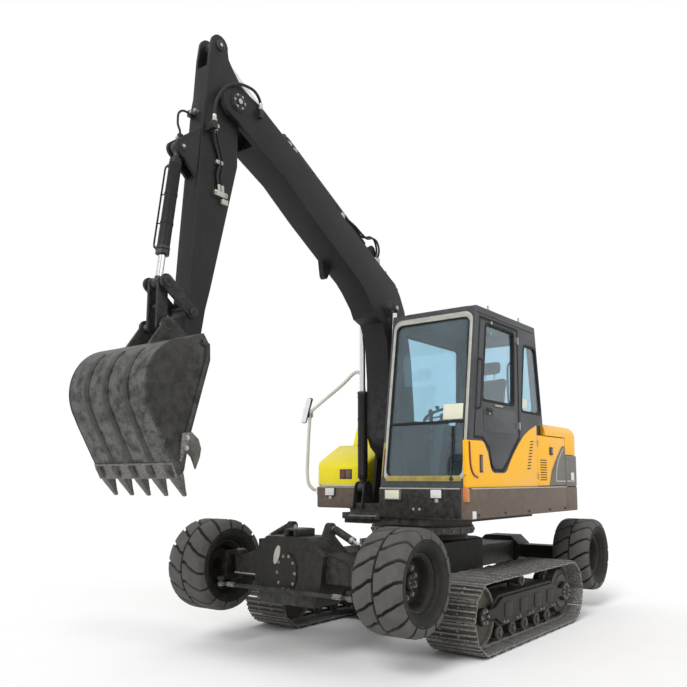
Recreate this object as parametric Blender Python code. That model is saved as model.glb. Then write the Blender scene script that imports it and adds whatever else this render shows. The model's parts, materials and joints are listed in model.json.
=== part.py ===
"""Wheel crawler excavator: a tracked excavator that also carries four road wheels.

Units are metres, +Z is up, the machine faces -Y and +X is its left side.
Every shape is laid out from the slew axis (x = 0, y = 0, ground at z = 0) and the whole machine
is then moved by ORIGIN_TO_SLEW_Y, so that the origin lies on the ground under the centre of its box.
Each sub-part is one closed body with its origin on the joint that it turns or slides on.
"""
from math import atan2, cos, degrees, hypot, pi, radians, sin

import bmesh
import bpy
from mathutils import Matrix, Vector

# ---------------------------------------------------------------- driving dimensions
ORIGIN_TO_SLEW_Y = 0.68327       # slew axis behind the origin
GAP = 0.0003                    # between pieces that rest on each other
CLEAR = 0.005                   # between pieces that move past each other

# tracks
TRACK_INNER, TRACK_OUTER = 0.735, 1.205
IDLER_Y, SPROCKET_Y = -0.920, 0.775
TRACK_RADIUS = 0.297            # to the grouser tips
SHOE_RADIUS = 0.276             # to the shoe plates
BELT_INNER_RADIUS = 0.245
SHOE_COUNT = 30
FRAME_INNER, FRAME_OUTER = 0.800, 1.140

# road wheels
TYRE_RADIUS, TYRE_HALF_WIDTH = 0.378, 0.200
BEAD_RADIUS = 0.205
FRONT_AXLE_Y, FRONT_AXLE_Z, FRONT_WHEEL_X = -1.807, 0.655, 0.960
REAR_AXLE_Y, REAR_AXLE_Z, REAR_WHEEL_X = 1.790, 0.562, 0.928
KINGPIN_X = 0.660
STEERING_ARM = 0.213            # kingpin to tie rod, forwards

# upper structure
UPPER_HALF_WIDTH = 1.014
UPPER_FRONT, DECK_REAR, TAIL_REAR = -0.935, 1.215, 1.660
PLATE_BOTTOM, DECK_BOTTOM, DECK_TOP = 0.980, 1.043, 1.300
RIGHT_SKIRT_BOTTOM = 1.090
HOOD_TOP = 1.930
WELL_RIGHT, WELL_LEFT = -0.345, 0.140   # the slot that the boom stands in
GIRDER_RIGHT = -0.270           # right face of the girder in front of that slot
RIGHT_FRONT = -0.500            # front of the right deck, which starts behind the left one
DECK_CORNER = ((-UPPER_HALF_WIDTH, -0.400), (-0.930, RIGHT_FRONT))     # its slanted corner

# cab
CAB_RIGHT, CAB_LEFT = 0.150, 1.005
CAB_WALL = 0.050
ROOF_TOP = 2.853

# boom, stick and bucket: pins as (y, z)
ARM_X = -0.100                  # centre plane of the boom
BOOM_HALF, STICK_HALF = 0.130, 0.073
BOOM_FOOT = (-0.300, 1.600)
BOOM_TIP = (-2.600, 4.170)
TIP_RADIUS = 0.135
FORK_DEPTH = 0.330              # how far the slot for the stick reaches back from the tip's pin
BOOM_CYLINDER_X = 0.185         # each side of the centre plane
BOOM_CYLINDER_FOOT = (-0.605, 1.290)
BOOM_CYLINDER_EYE = (-0.610, 2.970)
STICK_CYLINDER_FOOT = (-0.800, 3.500)
STICK_CYLINDER_EYE = (-2.740, 4.575)
BUCKET_PIN = (-2.945, 2.215)
ROCKER_PIN = (-2.945, 2.509)
LINK_LEVER = (-0.223, 0.170)    # bucket pin to link pin, and rocker pin to rod eye
BUCKET_CYLINDER_FOOT = (-3.040, 3.680)
BUCKET_HALF = 0.400
FOOT_NECK = 0.085               # a cylinder's foot pin to the start of its barrel
FOOT_EYE_RADIUS = 0.045
ROD_CLEARANCE = 0.004           # between a rod and its bore
ROCKER_PIN_RADIUS = 0.022

# plates side by side across the arm: distance of their inner and outer faces from its centre plane
WIDE_LUG = (0.050, 0.070)       # at the stick cylinder's foot
NARROW_LUG = (0.036, 0.058)     # at the bucket cylinder's foot, and the plates of the link
ROCKER_PLATE = (0.080, 0.100)
BUCKET_EAR = (0.104, 0.126)
PIN_END = 0.132

# hoses: radius, and their distance from the arm's centre plane
HOSE_RADIUS = 0.011
THIN_HOSE_RADIUS = 0.008
BOOM_HOSE_X, STICK_HOSE_X = 0.152, -0.047

ROUND = 24                      # sides of a large round
SMALL_ROUND = 16                # sides of a small round
FEW = 10                        # sides of a round that is mostly hidden

# finish: colour, roughness, metallic
FINISHES = {
    "charcoal_paint": ((0.035, 0.036, 0.040), 0.45, 0.0),
    "bucket_paint": ((0.045, 0.044, 0.043), 0.60, 0.0),
    "cab_paint": ((0.085, 0.088, 0.095), 0.45, 0.0),
    "yellow_paint": ((0.90, 0.48, 0.03), 0.35, 0.0),
    "lemon_paint": ((0.90, 0.70, 0.02), 0.35, 0.0),
    "skirt_paint": ((0.17, 0.145, 0.125), 0.55, 0.0),
    "chassis_paint": ((0.040, 0.040, 0.042), 0.60, 0.0),
    "track_steel": ((0.075, 0.075, 0.070), 0.70, 0.6),
    "tyre_rubber": ((0.030, 0.030, 0.032), 0.85, 0.0),
    "chrome": ((0.75, 0.76, 0.78), 0.15, 1.0),
    "glass": ((0.10, 0.33, 0.38), 0.05, 0.0),
    "white_paint": ((0.80, 0.80, 0.76), 0.40, 0.0),
    "seat_fabric": ((0.055, 0.060, 0.065), 0.90, 0.0),
    "black_plastic": ((0.020, 0.020, 0.022), 0.50, 0.0),
    "engine_iron": ((0.14, 0.14, 0.14), 0.60, 0.4),
    "hose_rubber": ((0.020, 0.020, 0.020), 0.70, 0.0),
}


# ---------------------------------------------------------------- outlines
def arc(centre, radius, start, end, steps=6):
    """Points on an arc, from the start angle to the end angle in degrees."""
    angles = [radians(start + (end - start) * i / steps) for i in range(steps + 1)]
    return [(centre[0] + radius * cos(a), centre[1] + radius * sin(a)) for a in angles]


def circle(centre, radius, steps=SMALL_ROUND):
    """Points round a full circle."""
    return arc(centre, radius, 0, 360 * (steps - 1) / steps, steps - 1)


def rectangle(low, high):
    """The four corners of a rectangle."""
    return [low, (high[0], low[1]), high, (low[0], high[1])]


def lug(pin, radius, base_from, base_to):
    """A lug's outline: round about its pin, and straight to the two ends of its base."""
    start = degrees(atan2(base_to[1] - pin[1], base_to[0] - pin[0])) + 80
    end = degrees(atan2(base_from[1] - pin[1], base_from[0] - pin[0])) - 80
    while end < start:
        end += 360
    return [base_from, base_to] + arc(pin, radius, start, end, 8)


def between(start, end, share):
    """The point at this share of the way from start to end."""
    return tuple(a + (b - a) * share for a, b in zip(start, end))


def plus(point, offset):
    """A point moved by an offset."""
    return (point[0] + offset[0], point[1] + offset[1])


# ---------------------------------------------------------------- solids
PLANES = {                      # extrusion axis: outline point and depth to x, y, z
    "X": lambda point, depth: (depth, point[0], point[1]),
    "Y": lambda point, depth: (point[0], depth, point[1]),
    "Z": lambda point, depth: (point[0], point[1], depth),
}


def solid_from(mesh_builder, name):
    """Make an object from a bmesh, with its faces pointing out."""
    bmesh.ops.remove_doubles(mesh_builder, verts=mesh_builder.verts, dist=1e-6)
    bmesh.ops.recalc_face_normals(mesh_builder, faces=mesh_builder.faces)
    mesh = bpy.data.meshes.new(name)
    mesh_builder.to_mesh(mesh)
    mesh_builder.free()
    solid = bpy.data.objects.new(name, mesh)
    bpy.context.scene.collection.objects.link(solid)
    return solid


def prism(outline, low, high, axis="X", name="piece"):
    """An outline extruded from low to high along an axis."""
    builder = bmesh.new()
    place = PLANES[axis]
    near = [builder.verts.new(place(point, low)) for point in outline]
    far = [builder.verts.new(place(point, high)) for point in outline]
    builder.faces.new(near)
    builder.faces.new(reversed(far))
    count = len(outline)
    for i in range(count):
        j = (i + 1) % count
        builder.faces.new((near[i], far[i], far[j], near[j]))
    return solid_from(builder, name)


def box(x, y, z, name="piece"):
    """A box from three (low, high) pairs."""
    return prism(rectangle((y[0], z[0]), (y[1], z[1])), x[0], x[1], "X", name)


def cylinder(centre, radius, low, high, axis="X", steps=SMALL_ROUND, name="piece"):
    """A cylinder along an axis; the centre is given in the plane across it."""
    return prism(circle(centre, radius, steps), low, high, axis, name)


def turned(profile, centre, axis="X", steps=ROUND, name="piece"):
    """A closed profile of (radius, along) points, turned about an axis through the centre."""
    builder = bmesh.new()
    place = PLANES[axis]
    rings = []
    for radius, along in profile:
        if radius < 1e-6:
            rings.append([builder.verts.new(place(centre, along))] * steps)
            continue
        rings.append([builder.verts.new(place(point, along)) for point in circle(centre, radius, steps)])
    for i, ring in enumerate(rings):
        following = rings[(i + 1) % len(rings)]
        for k in range(steps):
            m = (k + 1) % steps
            corners = []
            for vertex in (ring[k], ring[m], following[m], following[k]):
                if vertex not in corners:
                    corners.append(vertex)
            if len(corners) > 2:
                builder.faces.new(corners)
    return solid_from(builder, name)


def rod_between(start, end, radius, depth, steps=SMALL_ROUND, name="piece"):
    """A cylinder between two (y, z) points, centred at x = depth."""
    length = hypot(end[0] - start[0], end[1] - start[1])
    builder = bmesh.new()
    bmesh.ops.create_cone(builder, cap_ends=True, segments=steps, radius1=radius, radius2=radius,
                          depth=length)
    direction = Vector((0, end[0] - start[0], end[1] - start[1]))
    turn = direction.to_track_quat("Z", "Y").to_matrix().to_4x4()
    middle = Vector((depth, (start[0] + end[0]) / 2, (start[1] + end[1]) / 2))
    bmesh.ops.transform(builder, matrix=Matrix.Translation(middle) @ turn, verts=builder.verts)
    return solid_from(builder, name)


def tube(points, radius, name, resolution=3):
    """A round tube through (x, y, z) points, as a curve with filled caps turned into a mesh."""
    curve = bpy.data.curves.new(name, "CURVE")
    curve.dimensions = "3D"
    curve.bevel_depth = radius
    curve.bevel_resolution = resolution
    curve.use_fill_caps = True
    spline = curve.splines.new("POLY")
    spline.points.add(len(points) - 1)
    for spline_point, point in zip(spline.points, points):
        spline_point.co = (*point, 1)
    carrier = bpy.data.objects.new(name, curve)
    bpy.context.scene.collection.objects.link(carrier)
    builder = bmesh.new()
    builder.from_mesh(evaluated_mesh(carrier))
    bpy.data.objects.remove(carrier)
    return solid_from(builder, name)


def evaluated_mesh(carrier):
    """The mesh of an object with its modifiers applied."""
    graph = bpy.context.evaluated_depsgraph_get()
    return bpy.data.meshes.new_from_object(carrier.evaluated_get(graph))


def boolean(target, tools, operation):
    """Apply one exact boolean for each tool, and remove the tools."""
    for tool in tools:
        modifier = target.modifiers.new(operation.lower(), "BOOLEAN")
        modifier.operation = operation
        modifier.object = tool
        modifier.solver = "EXACT"
    target.data = evaluated_mesh(target)
    target.modifiers.clear()
    for tool in tools:
        bpy.data.objects.remove(tool)
    return target


def fuse(target, *tools):
    """Join overlapping solids into one closed body."""
    return boolean(target, tools, "UNION")


def cut(target, *tools):
    """Take solids away from a body."""
    return boolean(target, tools, "DIFFERENCE")


def rounded(target, width, segments=2, angle=40):
    """Round the sharp edges of a body."""
    modifier = target.modifiers.new("rounded_edges", "BEVEL")
    modifier.width = width
    modifier.segments = segments
    modifier.limit_method = "ANGLE"
    modifier.angle_limit = radians(angle)
    return target


def finish(solid, name, finish_name, pivot=(0.0, 0.0, 0.0), smooth=False):
    """Name a body, colour it, and put its origin on its pivot."""
    colour, roughness, metallic = FINISHES[finish_name]
    material = bpy.data.materials.new(name + "_material")
    material.use_nodes = True
    shader = material.node_tree.nodes["Principled BSDF"]
    shader.inputs["Base Color"].default_value = (*colour, 1)
    shader.inputs["Roughness"].default_value = roughness
    shader.inputs["Metallic"].default_value = metallic
    if finish_name == "glass":
        shader.inputs["Alpha"].default_value = 0.35
    material.diffuse_color = (*colour, 1)
    solid.name = name
    solid.data.name = name
    solid.data.materials.clear()
    solid.data.materials.append(material)
    solid.data.transform(Matrix.Translation(-Vector(pivot)))
    solid.location = pivot
    solid.parent = MACHINE
    if smooth:
        solid.data.shade_smooth()
        solid.data.set_sharp_from_angle(angle=radians(35))
    return solid


# ---------------------------------------------------------------- undercarriage
def belt_point(along, offset):
    """A point of the track's loop: distance along its pitch line, and offset from its middle line."""
    straight = SPROCKET_Y - IDLER_Y
    turn = pi * SHOE_RADIUS
    along %= 2 * (straight + turn)
    if along < straight:
        return (IDLER_Y + along, TRACK_RADIUS - offset)
    along -= straight
    if along < turn:
        angle = along / SHOE_RADIUS
        return (SPROCKET_Y + offset * sin(angle), TRACK_RADIUS - offset * cos(angle))
    along -= turn
    if along < straight:
        return (SPROCKET_Y - along, TRACK_RADIUS + offset)
    angle = (along - straight) / SHOE_RADIUS
    return (IDLER_Y - offset * sin(angle), TRACK_RADIUS + offset * cos(angle))


def build_track(side, name):
    """One fixed loop whose outline has the shoes and their grousers."""
    pitch = 2 * (SPROCKET_Y - IDLER_Y + pi * SHOE_RADIUS) / SHOE_COUNT
    shoe = (                    # share of the pitch, offset from the loop's middle line
        (-0.50, SHOE_RADIUS - 0.008),
        (-0.09, SHOE_RADIUS),
        (-0.05, TRACK_RADIUS),
        (0.05, TRACK_RADIUS),
        (0.09, SHOE_RADIUS),
    )
    outer = [belt_point((i + share) * pitch, offset) for i in range(SHOE_COUNT) for share, offset in shoe]
    inner = (arc((SPROCKET_Y, TRACK_RADIUS), BELT_INNER_RADIUS, -90, 90, 10)
             + arc((IDLER_Y, TRACK_RADIUS), BELT_INNER_RADIUS, 90, 270, 10))
    low, high = sorted((side * TRACK_INNER, side * TRACK_OUTER))
    loop = prism(outer, low, high)
    cut(loop, prism(inner, low - 0.1, high + 0.1))
    return finish(loop, name, "track_steel")


def build_track_frame(side, name):
    """The beam inside a track, with the idler, the sprocket and the rollers that it carries."""
    def across(a, b):
        return sorted((side * a, side * b))

    low, high = across(FRAME_INNER, FRAME_OUTER)
    beam = prism([(-0.74, 0.26), (-0.62, 0.172), (0.46, 0.172), (0.60, 0.24), (0.60, 0.36),
                  (0.48, 0.43), (-0.62, 0.43), (-0.74, 0.36)], low, high)
    wheel = (                   # radius, distance from the middle plane
        (0.0, 0.150), (0.090, 0.150), (0.095, 0.110), (0.200, 0.110), (0.215, 0.130), (0.240, 0.130),
        (0.240, -0.130), (0.0, -0.130),
    )
    middle = side * (FRAME_INNER + FRAME_OUTER) / 2
    parts = []
    for centre_y in (IDLER_Y, SPROCKET_Y):
        profile = [(radius, middle + side * along) for radius, along in wheel]
        parts.append(turned(profile, (centre_y, TRACK_RADIUS), steps=ROUND))
        inward = 0.62 if centre_y > 0 else -0.70
        span = sorted((centre_y, inward - 0.16 * (1 if centre_y > 0 else -1)))
        for start, end in ((FRAME_INNER, FRAME_INNER + 0.035), (FRAME_OUTER - 0.035, FRAME_OUTER)):
            parts.append(box(across(start, end), span, (0.262, 0.332)))
            parts.append(cylinder((centre_y, TRACK_RADIUS), 0.075, *across(start, end), steps=FEW))
    for i in range(5):
        roller_y = -0.56 + 0.25 * i
        parts.append(cylinder((roller_y, 0.117), 0.060, *across(0.84, 1.10), steps=FEW))
    parts.append(cylinder((-0.10, 0.488), 0.045, *across(0.84, 1.10), steps=FEW))
    parts.append(box(across(0.90, 1.04), (-0.14, -0.06), (0.42, 0.49)))
    fuse(beam, *parts)
    return finish(beam, name, "chassis_paint")


def build_chassis():
    """The middle of the undercarriage: hub, legs to the tracks, and beams to the two axles."""
    hub = prism([(-0.30, -0.60), (0.30, -0.60), (0.46, -0.42), (0.46, 0.38), (0.30, 0.56),
                         (-0.30, 0.56), (-0.46, 0.38), (-0.46, -0.42)], 0.36, 0.80, "Z")
    reach = FRAME_INNER - GAP
    parts = [
        box((-reach, reach), (-0.50, -0.22), (0.20, 0.42)),
        box((-reach, reach), (0.10, 0.38), (0.20, 0.42)),
        box((-0.20, 0.20), (-1.650 + GAP, -0.50), (0.50, 0.78)),
        box((-0.20, 0.20), (0.45, 1.640 - GAP), (0.46, 0.68)),
        cylinder((0, 0), 0.44, 0.78, 0.860 - GAP, "Z", ROUND),
    ]
    fuse(hub, *parts)
    finish(hub, "chassis_frame", "chassis_paint")
    ring = turned([(0.30, 0.860), (0.50, 0.860), (0.50, 0.930), (0.485, 0.930), (0.485, 0.975),
                   (0.30, 0.975)], (0, 0), "Z", ROUND)
    finish(ring, "slew_ring", "track_steel")


def build_front_axle():
    """The steering axle: beam, central housing with two lugs, and a kingpin boss at each end."""
    housing = prism([(-0.27, 0.42), (0.27, 0.42), (0.33, 0.58), (0.36, 0.80), (0.22, 0.93),
                     (-0.22, 0.93), (-0.36, 0.80), (-0.33, 0.58)], -1.960, -1.650, "Y")
    beam = prism([(-0.60, 0.600), (0.60, 0.600), (0.60, 0.745), (0.34, 0.82), (-0.34, 0.82),
                  (-0.60, 0.745)], -1.905, -1.710, "Y")
    web = box((-KINGPIN_X, KINGPIN_X), (FRONT_AXLE_Y - 0.042, FRONT_AXLE_Y + 0.042), (0.602, 0.743))
    parts = [beam, web]
    for side in (-1, 1):
        parts.append(cylinder((side * KINGPIN_X, FRONT_AXLE_Y), 0.050, 0.600, 0.745, "Z"))
        low, high = sorted((side * 0.175, side * 0.225))
        parts.append(prism(lug((-1.685, 0.985), 0.046, (-1.780, 0.90), (-1.655, 0.90)), low, high))
    fuse(housing, *parts)
    finish(housing, "front_axle", "chassis_paint")


def build_lift_cylinder(side, name):
    """A short cylinder from a lug of the front axle down to the end of its beam."""
    upper, lower = (side * 0.262, 0.975), (side * 0.520, 0.852)
    run = (lower[0] - upper[0], lower[1] - upper[1])
    length = hypot(*run)
    across = (-run[1] / length, run[0] / length)

    def band(start, end, half):
        a, b = between(upper, lower, start), between(upper, lower, end)
        offset = (across[0] * half, across[1] * half)
        back = (-offset[0], -offset[1])
        return prism([plus(a, offset), plus(b, offset), plus(b, back), plus(a, back)],
                     -1.685 - half, -1.685 + half, "Y")

    barrel = band(-0.05, 0.66, 0.030)
    foot = box(sorted((side * 0.490, side * 0.545)), (-1.715, -1.655), (0.790, 0.862))
    fuse(barrel, band(0.60, 1.0, 0.016), foot)
    return finish(barrel, name, "track_steel")


def build_rear_axle():
    """The rigid rear axle, with a hub carrier at each end."""
    housing = prism([(-0.18, 0.40), (0.18, 0.40), (0.26, 0.50), (0.26, 0.64), (0.16, 0.73),
                     (-0.16, 0.73), (-0.26, 0.64), (-0.26, 0.50)], 1.640, 1.930, "Y")
    beam = box((-0.66, 0.66), (1.700, 1.880), (0.490, 0.634))
    hub = REAR_WHEEL_X - 0.035
    parts = [beam]
    for side in (-1, 1):
        parts.append(cylinder((REAR_AXLE_Y, REAR_AXLE_Z), 0.105, *sorted((side * 0.64, side * 0.74))))
        parts.append(cylinder((REAR_AXLE_Y, REAR_AXLE_Z), 0.055, *sorted((side * 0.64, side * hub))))
    fuse(housing, *parts)
    finish(housing, "rear_axle", "chassis_paint")


def build_knuckle(side, name):
    """A steering knuckle: two plates round the kingpin boss, the spindle and the steering arm."""
    pin = (side * KINGPIN_X, FRONT_AXLE_Y)

    def plate(low, high):
        disc = cylinder(pin, 0.052, low, high, "Z")
        return fuse(disc, box(sorted((side * KINGPIN_X, side * 0.745)),
                              (FRONT_AXLE_Y - 0.052, FRONT_AXLE_Y + 0.052), (low, high)))

    back = box(sorted((side * 0.718, side * 0.745)), (FRONT_AXLE_Y - 0.10, FRONT_AXLE_Y + 0.10),
               (0.560, 0.785))
    arm_end = (side * KINGPIN_X, FRONT_AXLE_Y - STEERING_ARM)
    parts = [
        plate(0.750, 0.785),
        plate(0.560, 0.595),
        cylinder((FRONT_AXLE_Y, FRONT_AXLE_Z), 0.105, *sorted((side * 0.74, side * 0.790))),
        cylinder((FRONT_AXLE_Y, FRONT_AXLE_Z), 0.055,
                 *sorted((side * 0.74, side * (FRONT_WHEEL_X - 0.035)))),
        box(sorted((side * (KINGPIN_X - 0.028), side * (KINGPIN_X + 0.028))),
            (arm_end[1], FRONT_AXLE_Y), (0.565, 0.590)),
        cylinder(arm_end, 0.032, 0.565, 0.590, "Z"),
    ]
    fuse(back, *parts)
    finish(back, name, "chassis_paint", (side * KINGPIN_X, FRONT_AXLE_Y, FRONT_AXLE_Z))


def build_tie_rod():
    """The rod that joins the two steering arms, with a joint at each end."""
    rod_y = FRONT_AXLE_Y - STEERING_ARM
    rod = cylinder((rod_y, 0.535), 0.016, -KINGPIN_X, KINGPIN_X, "X", 16)
    ends = [cylinder((side * KINGPIN_X, rod_y), 0.026, 0.512, 0.559, "Z") for side in (-1, 1)]
    fuse(rod, *ends)
    finish(rod, "tie_rod", "track_steel", (0, rod_y, 0.535))


def build_wheel(side, centre, prefix):
    """A tyre and its steel wheel; the wheel's dish faces out."""
    x, y, z = centre
    tyre_profile = (            # radius, distance from the middle plane
        (BEAD_RADIUS, -0.130), (0.235, -0.178), (0.285, -TYRE_HALF_WIDTH), (0.350, -0.188),
        (TYRE_RADIUS, -0.130), (TYRE_RADIUS, 0.130), (0.350, 0.188), (0.285, TYRE_HALF_WIDTH),
        (0.235, 0.178), (BEAD_RADIUS, 0.130),
    )
    wheel_profile = (           # radius, distance outwards from the middle plane
        (0.0, 0.085), (0.060, 0.085), (0.066, 0.028), (0.150, 0.028), (0.180, 0.125),
        (BEAD_RADIUS - GAP, 0.128), (BEAD_RADIUS - GAP, -0.128), (0.180, -0.125), (0.150, -0.030),
        (0.0, -0.030),
    )
    tyre = turned([(r, x + t) for r, t in tyre_profile], (y, z))
    finish(tyre, prefix + "_tyre", "tyre_rubber", centre, smooth=True)
    wheel = turned([(r, x + side * t) for r, t in wheel_profile], (y, z))
    finish(wheel, prefix + "_wheel", "chassis_paint", centre, smooth=True)


def build_undercarriage():
    """Everything that stays still when the machine slews, with its wheels."""
    build_chassis()
    build_front_axle()
    build_rear_axle()
    build_tie_rod()
    for side, word in ((1, "left"), (-1, "right")):
        build_track_frame(side, word + "_track_frame")
        build_track(side, word + "_track")
        build_lift_cylinder(side, word + "_lift_cylinder")
        build_knuckle(side, word + "_knuckle")
        build_wheel(side, (side * FRONT_WHEEL_X, FRONT_AXLE_Y, FRONT_AXLE_Z), "front_" + word)
        build_wheel(side, (side * REAR_WHEEL_X, REAR_AXLE_Y, REAR_AXLE_Z), "rear_" + word)


# ---------------------------------------------------------------- upper structure
def build_upper_frame():
    """The turntable plate, the girders of the boom well, the boom's ears and the cylinder lugs."""
    plan = [(GIRDER_RIGHT, -0.90), (0.62, -0.90), (0.62, DECK_REAR - GAP), (-0.62, DECK_REAR - GAP),
            (-0.62, -0.42), (GIRDER_RIGHT, -0.48)]
    plate = prism(plan, PLATE_BOTTOM, DECK_BOTTOM - GAP, "Z")
    parts = [
        box((GIRDER_RIGHT, WELL_LEFT - GAP), (UPPER_FRONT, 0.0), (1.02, 1.075)),
        box((WELL_RIGHT + GAP, WELL_LEFT - GAP), (-0.66, 0.0), (1.02, 1.150)),
        box((WELL_RIGHT + GAP, WELL_LEFT - GAP), (-0.04, DECK_REAR - GAP), (1.02, DECK_TOP - GAP)),
    ]
    ear_inner = BOOM_HALF + 0.006
    for side in (-1, 1):
        low, high = sorted((ARM_X + side * ear_inner, ARM_X + side * (ear_inner + 0.032)))
        parts.append(prism(lug(BOOM_FOOT, 0.125, (-0.50, 1.12), (0.02, 1.12)), low, high))
        for inner, outer in ((0.122, 0.140), (0.226, 0.239)):
            low, high = sorted((ARM_X + side * inner, ARM_X + side * outer))
            parts.append(prism(lug(BOOM_CYLINDER_FOOT, 0.060, (-0.70, 1.10), (-0.51, 1.10)), low, high))
    fuse(plate, *parts)
    finish(plate, "upper_frame", "chassis_paint")


def build_decks():
    """The two side decks, whose outer faces are the machine's skirts."""
    left = prism([(WELL_LEFT, UPPER_FRONT)] + arc((UPPER_HALF_WIDTH - 0.06, UPPER_FRONT + 0.06), 0.06, -90, 0)
                 + [(UPPER_HALF_WIDTH, DECK_REAR - GAP), (WELL_LEFT, DECK_REAR - GAP)],
                 DECK_BOTTOM, DECK_TOP, "Z")
    finish(left, "left_deck", "skirt_paint")
    right = prism([(WELL_RIGHT, DECK_REAR - GAP), (-UPPER_HALF_WIDTH, DECK_REAR - GAP)]
                  + [*DECK_CORNER, (WELL_RIGHT, RIGHT_FRONT)], RIGHT_SKIRT_BOTTOM, DECK_TOP, "Z")
    fuse(right, box((-0.60, WELL_RIGHT), (-0.40, 1.10), (DECK_BOTTOM, RIGHT_SKIRT_BOTTOM + 0.01)))
    finish(right, "right_deck", "skirt_paint")


def tail_outline(half_width, front, rear, radius):
    """A plan outline, straight in front and round at its two rear corners."""
    return ([(-half_width, front), (half_width, front)]
            + arc((half_width - radius, rear - radius), radius, 0, 80, 7)
            + [(0, rear + 0.055)]
            + arc((-half_width + radius, rear - radius), radius, 100, 180, 7))


def build_tail():
    """The counterweight, the engine and the panels round it."""
    weight = prism(tail_outline(UPPER_HALF_WIDTH, DECK_REAR, TAIL_REAR, 0.19), DECK_BOTTOM, 1.620, "Z")
    finish(weight, "counterweight", "cab_paint")

    engine = box((-0.55, 0.52), (0.80, 1.16), (DECK_TOP + GAP, 1.720))
    finish(engine, "engine", "engine_iron")

    bottom = DECK_TOP + GAP
    bulkhead = box((-0.960, 0.960), (0.655, 0.690), (bottom, 1.900))
    fuse(bulkhead, box((-0.960, CAB_RIGHT - 0.012), (0.4603, 0.670), (bottom, 1.880)),
         box((WELL_RIGHT + GAP, CAB_RIGHT - 0.012), (0.20, 0.670), (bottom, 1.880)))
    finish(bulkhead, "engine_bulkhead", "chassis_paint")

    hood = prism(tail_outline(1.005, 0.700, TAIL_REAR - 0.006, 0.19), 1.625, HOOD_TOP, "Z")
    hollow = prism(tail_outline(0.965, 0.730, TAIL_REAR - 0.046, 0.16), 1.500, HOOD_TOP - 0.035, "Z")
    doorway = box((-1.2, 1.2), (0.5, DECK_REAR + CLEAR), (1.5, 1.800))
    cut(hood, hollow, doorway)
    finish(hood, "engine_hood", "yellow_paint", (0, 0.700, HOOD_TOP))

    door_height = (DECK_TOP + GAP + CLEAR, 1.800 - CLEAR)
    for side, word, front in ((1, "left", 0.500), (-1, "right", 0.465)):
        low, high = sorted((side * 0.970, side * 1.005))
        panel = box((low, high), (front, DECK_REAR - CLEAR), door_height)
        finish(panel, word + "_side_door", "yellow_paint", (side * 1.005, front, DECK_TOP))


def side_panel_outline(front, rear, bottom):
    """The yellow panel under the cab door: front lobe, dip for the door, and rise to the hood."""
    return ([(front, bottom), (rear, bottom), (rear, 1.888)]
            + [(0.480, 1.888), (0.330, 1.840), (0.190, 1.775), (0.070, 1.690), (-0.050, 1.590), (-0.130, 1.510)]
            + arc((-0.250, 1.540), 0.115, -35, -90, 3) + arc((-0.420, 1.510), 0.085, -90, -160, 3)
            + [(-0.545, 1.600)] + arc((-0.660, 1.610), 0.085, 20, 90, 3) + [(front, 1.690)])


def build_side_panels():
    """The yellow fixed panels: under the cab door, and the box and tank on the right side."""
    left = prism(side_panel_outline(UPPER_FRONT + 0.010, 0.494, DECK_TOP + GAP), 0.965 + GAP, 1.005)
    finish(left, "left_side_panel", "yellow_paint")

    plan = [(-0.350, -0.490), (-0.900, -0.490), (-0.955, -0.455), (-1.000, -0.390), (-1.000, 0.155),
            (-0.350, 0.155)]
    toolbox = prism(plan, DECK_TOP + GAP, 1.760, "Z")
    slope = prism([(-1.0, 1.230), (-0.080, 1.722), (0.200, 1.732), (0.200, 1.9), (-1.0, 1.9)], -1.2, 0.0)
    cut(toolbox, slope)
    rounded(toolbox, 0.02)
    finish(toolbox, "right_toolbox", "lemon_paint")

    tank = prism([(0.160, DECK_TOP + GAP), (0.460, DECK_TOP + GAP), (0.460, 1.950), (0.245, 1.950), (0.164, 1.730)],
                 -1.003, WELL_RIGHT - GAP)
    rounded(tank, 0.02)
    finish(tank, "fuel_tank", "yellow_paint")


# ---------------------------------------------------------------- cab
CAB_FRONT = (-0.930, -0.715)    # y of the front at the deck and at the roof
CAB_REAR = (0.640, 0.500)       # y of the back at the hood's height and at the roof
DOOR_HINGE = (CAB_LEFT + 0.004, 0.105)


def front_y(z, inset=0.0):
    """The leaning front face of the cab at this height."""
    share = (z - DECK_TOP) / (ROOF_TOP - DECK_TOP)
    return CAB_FRONT[0] + (CAB_FRONT[1] - CAB_FRONT[0]) * share + inset


def rear_y(z, inset=0.0):
    """The back of the cab: upright below the hood's top, leaning above it."""
    share = max(0.0, (z - HOOD_TOP) / (ROOF_TOP - HOOD_TOP))
    return CAB_REAR[0] + (CAB_REAR[1] - CAB_REAR[0]) * share - inset


def cab_outline(inset, bottom, top):
    """The cab's side outline, moved in by an inset."""
    return [(front_y(bottom, inset), bottom), (rear_y(bottom, inset), bottom),
            (rear_y(HOOD_TOP, inset), HOOD_TOP), (rear_y(top, inset), top), (front_y(top, inset), top)]


def door_outline(inset):
    """The cab door's side outline, moved in by an inset."""
    top = 2.765 - inset
    rear = 0.100 - inset
    lift = inset * 1.15
    lean = 0.065 + inset
    return ([(front_y(1.715 + lift, lean), 1.715 + lift), (-0.655 + inset, 1.715 + lift)]
            + [(-0.530 + inset, 1.625 + lift), (-0.490 + inset, 1.480 + lift), (-0.430 + inset, 1.442 + lift)]
            + [(-0.250 - inset, 1.442 + lift), (-0.140 - inset, 1.525 + lift), (-0.045 - inset, 1.620 + lift)]
            + [(rear, 1.740 + lift), (rear, top), (front_y(top, lean), top)])


def window(y_low, y_high, z_low, z_high):
    """A side window's outline, with its front edge leaning like the windscreen."""
    lean = (CAB_FRONT[1] - CAB_FRONT[0]) / (ROOF_TOP - DECK_TOP)
    return [(y_low, z_low), (y_high, z_low), (y_high + 0.3 * lean * (z_high - z_low), z_high),
            (y_low + lean * (z_high - z_low), z_high)]


def pane(outline, low, high, name):
    """A window pane, between two x positions."""
    return finish(prism(outline, low, high), name, "glass")


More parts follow.
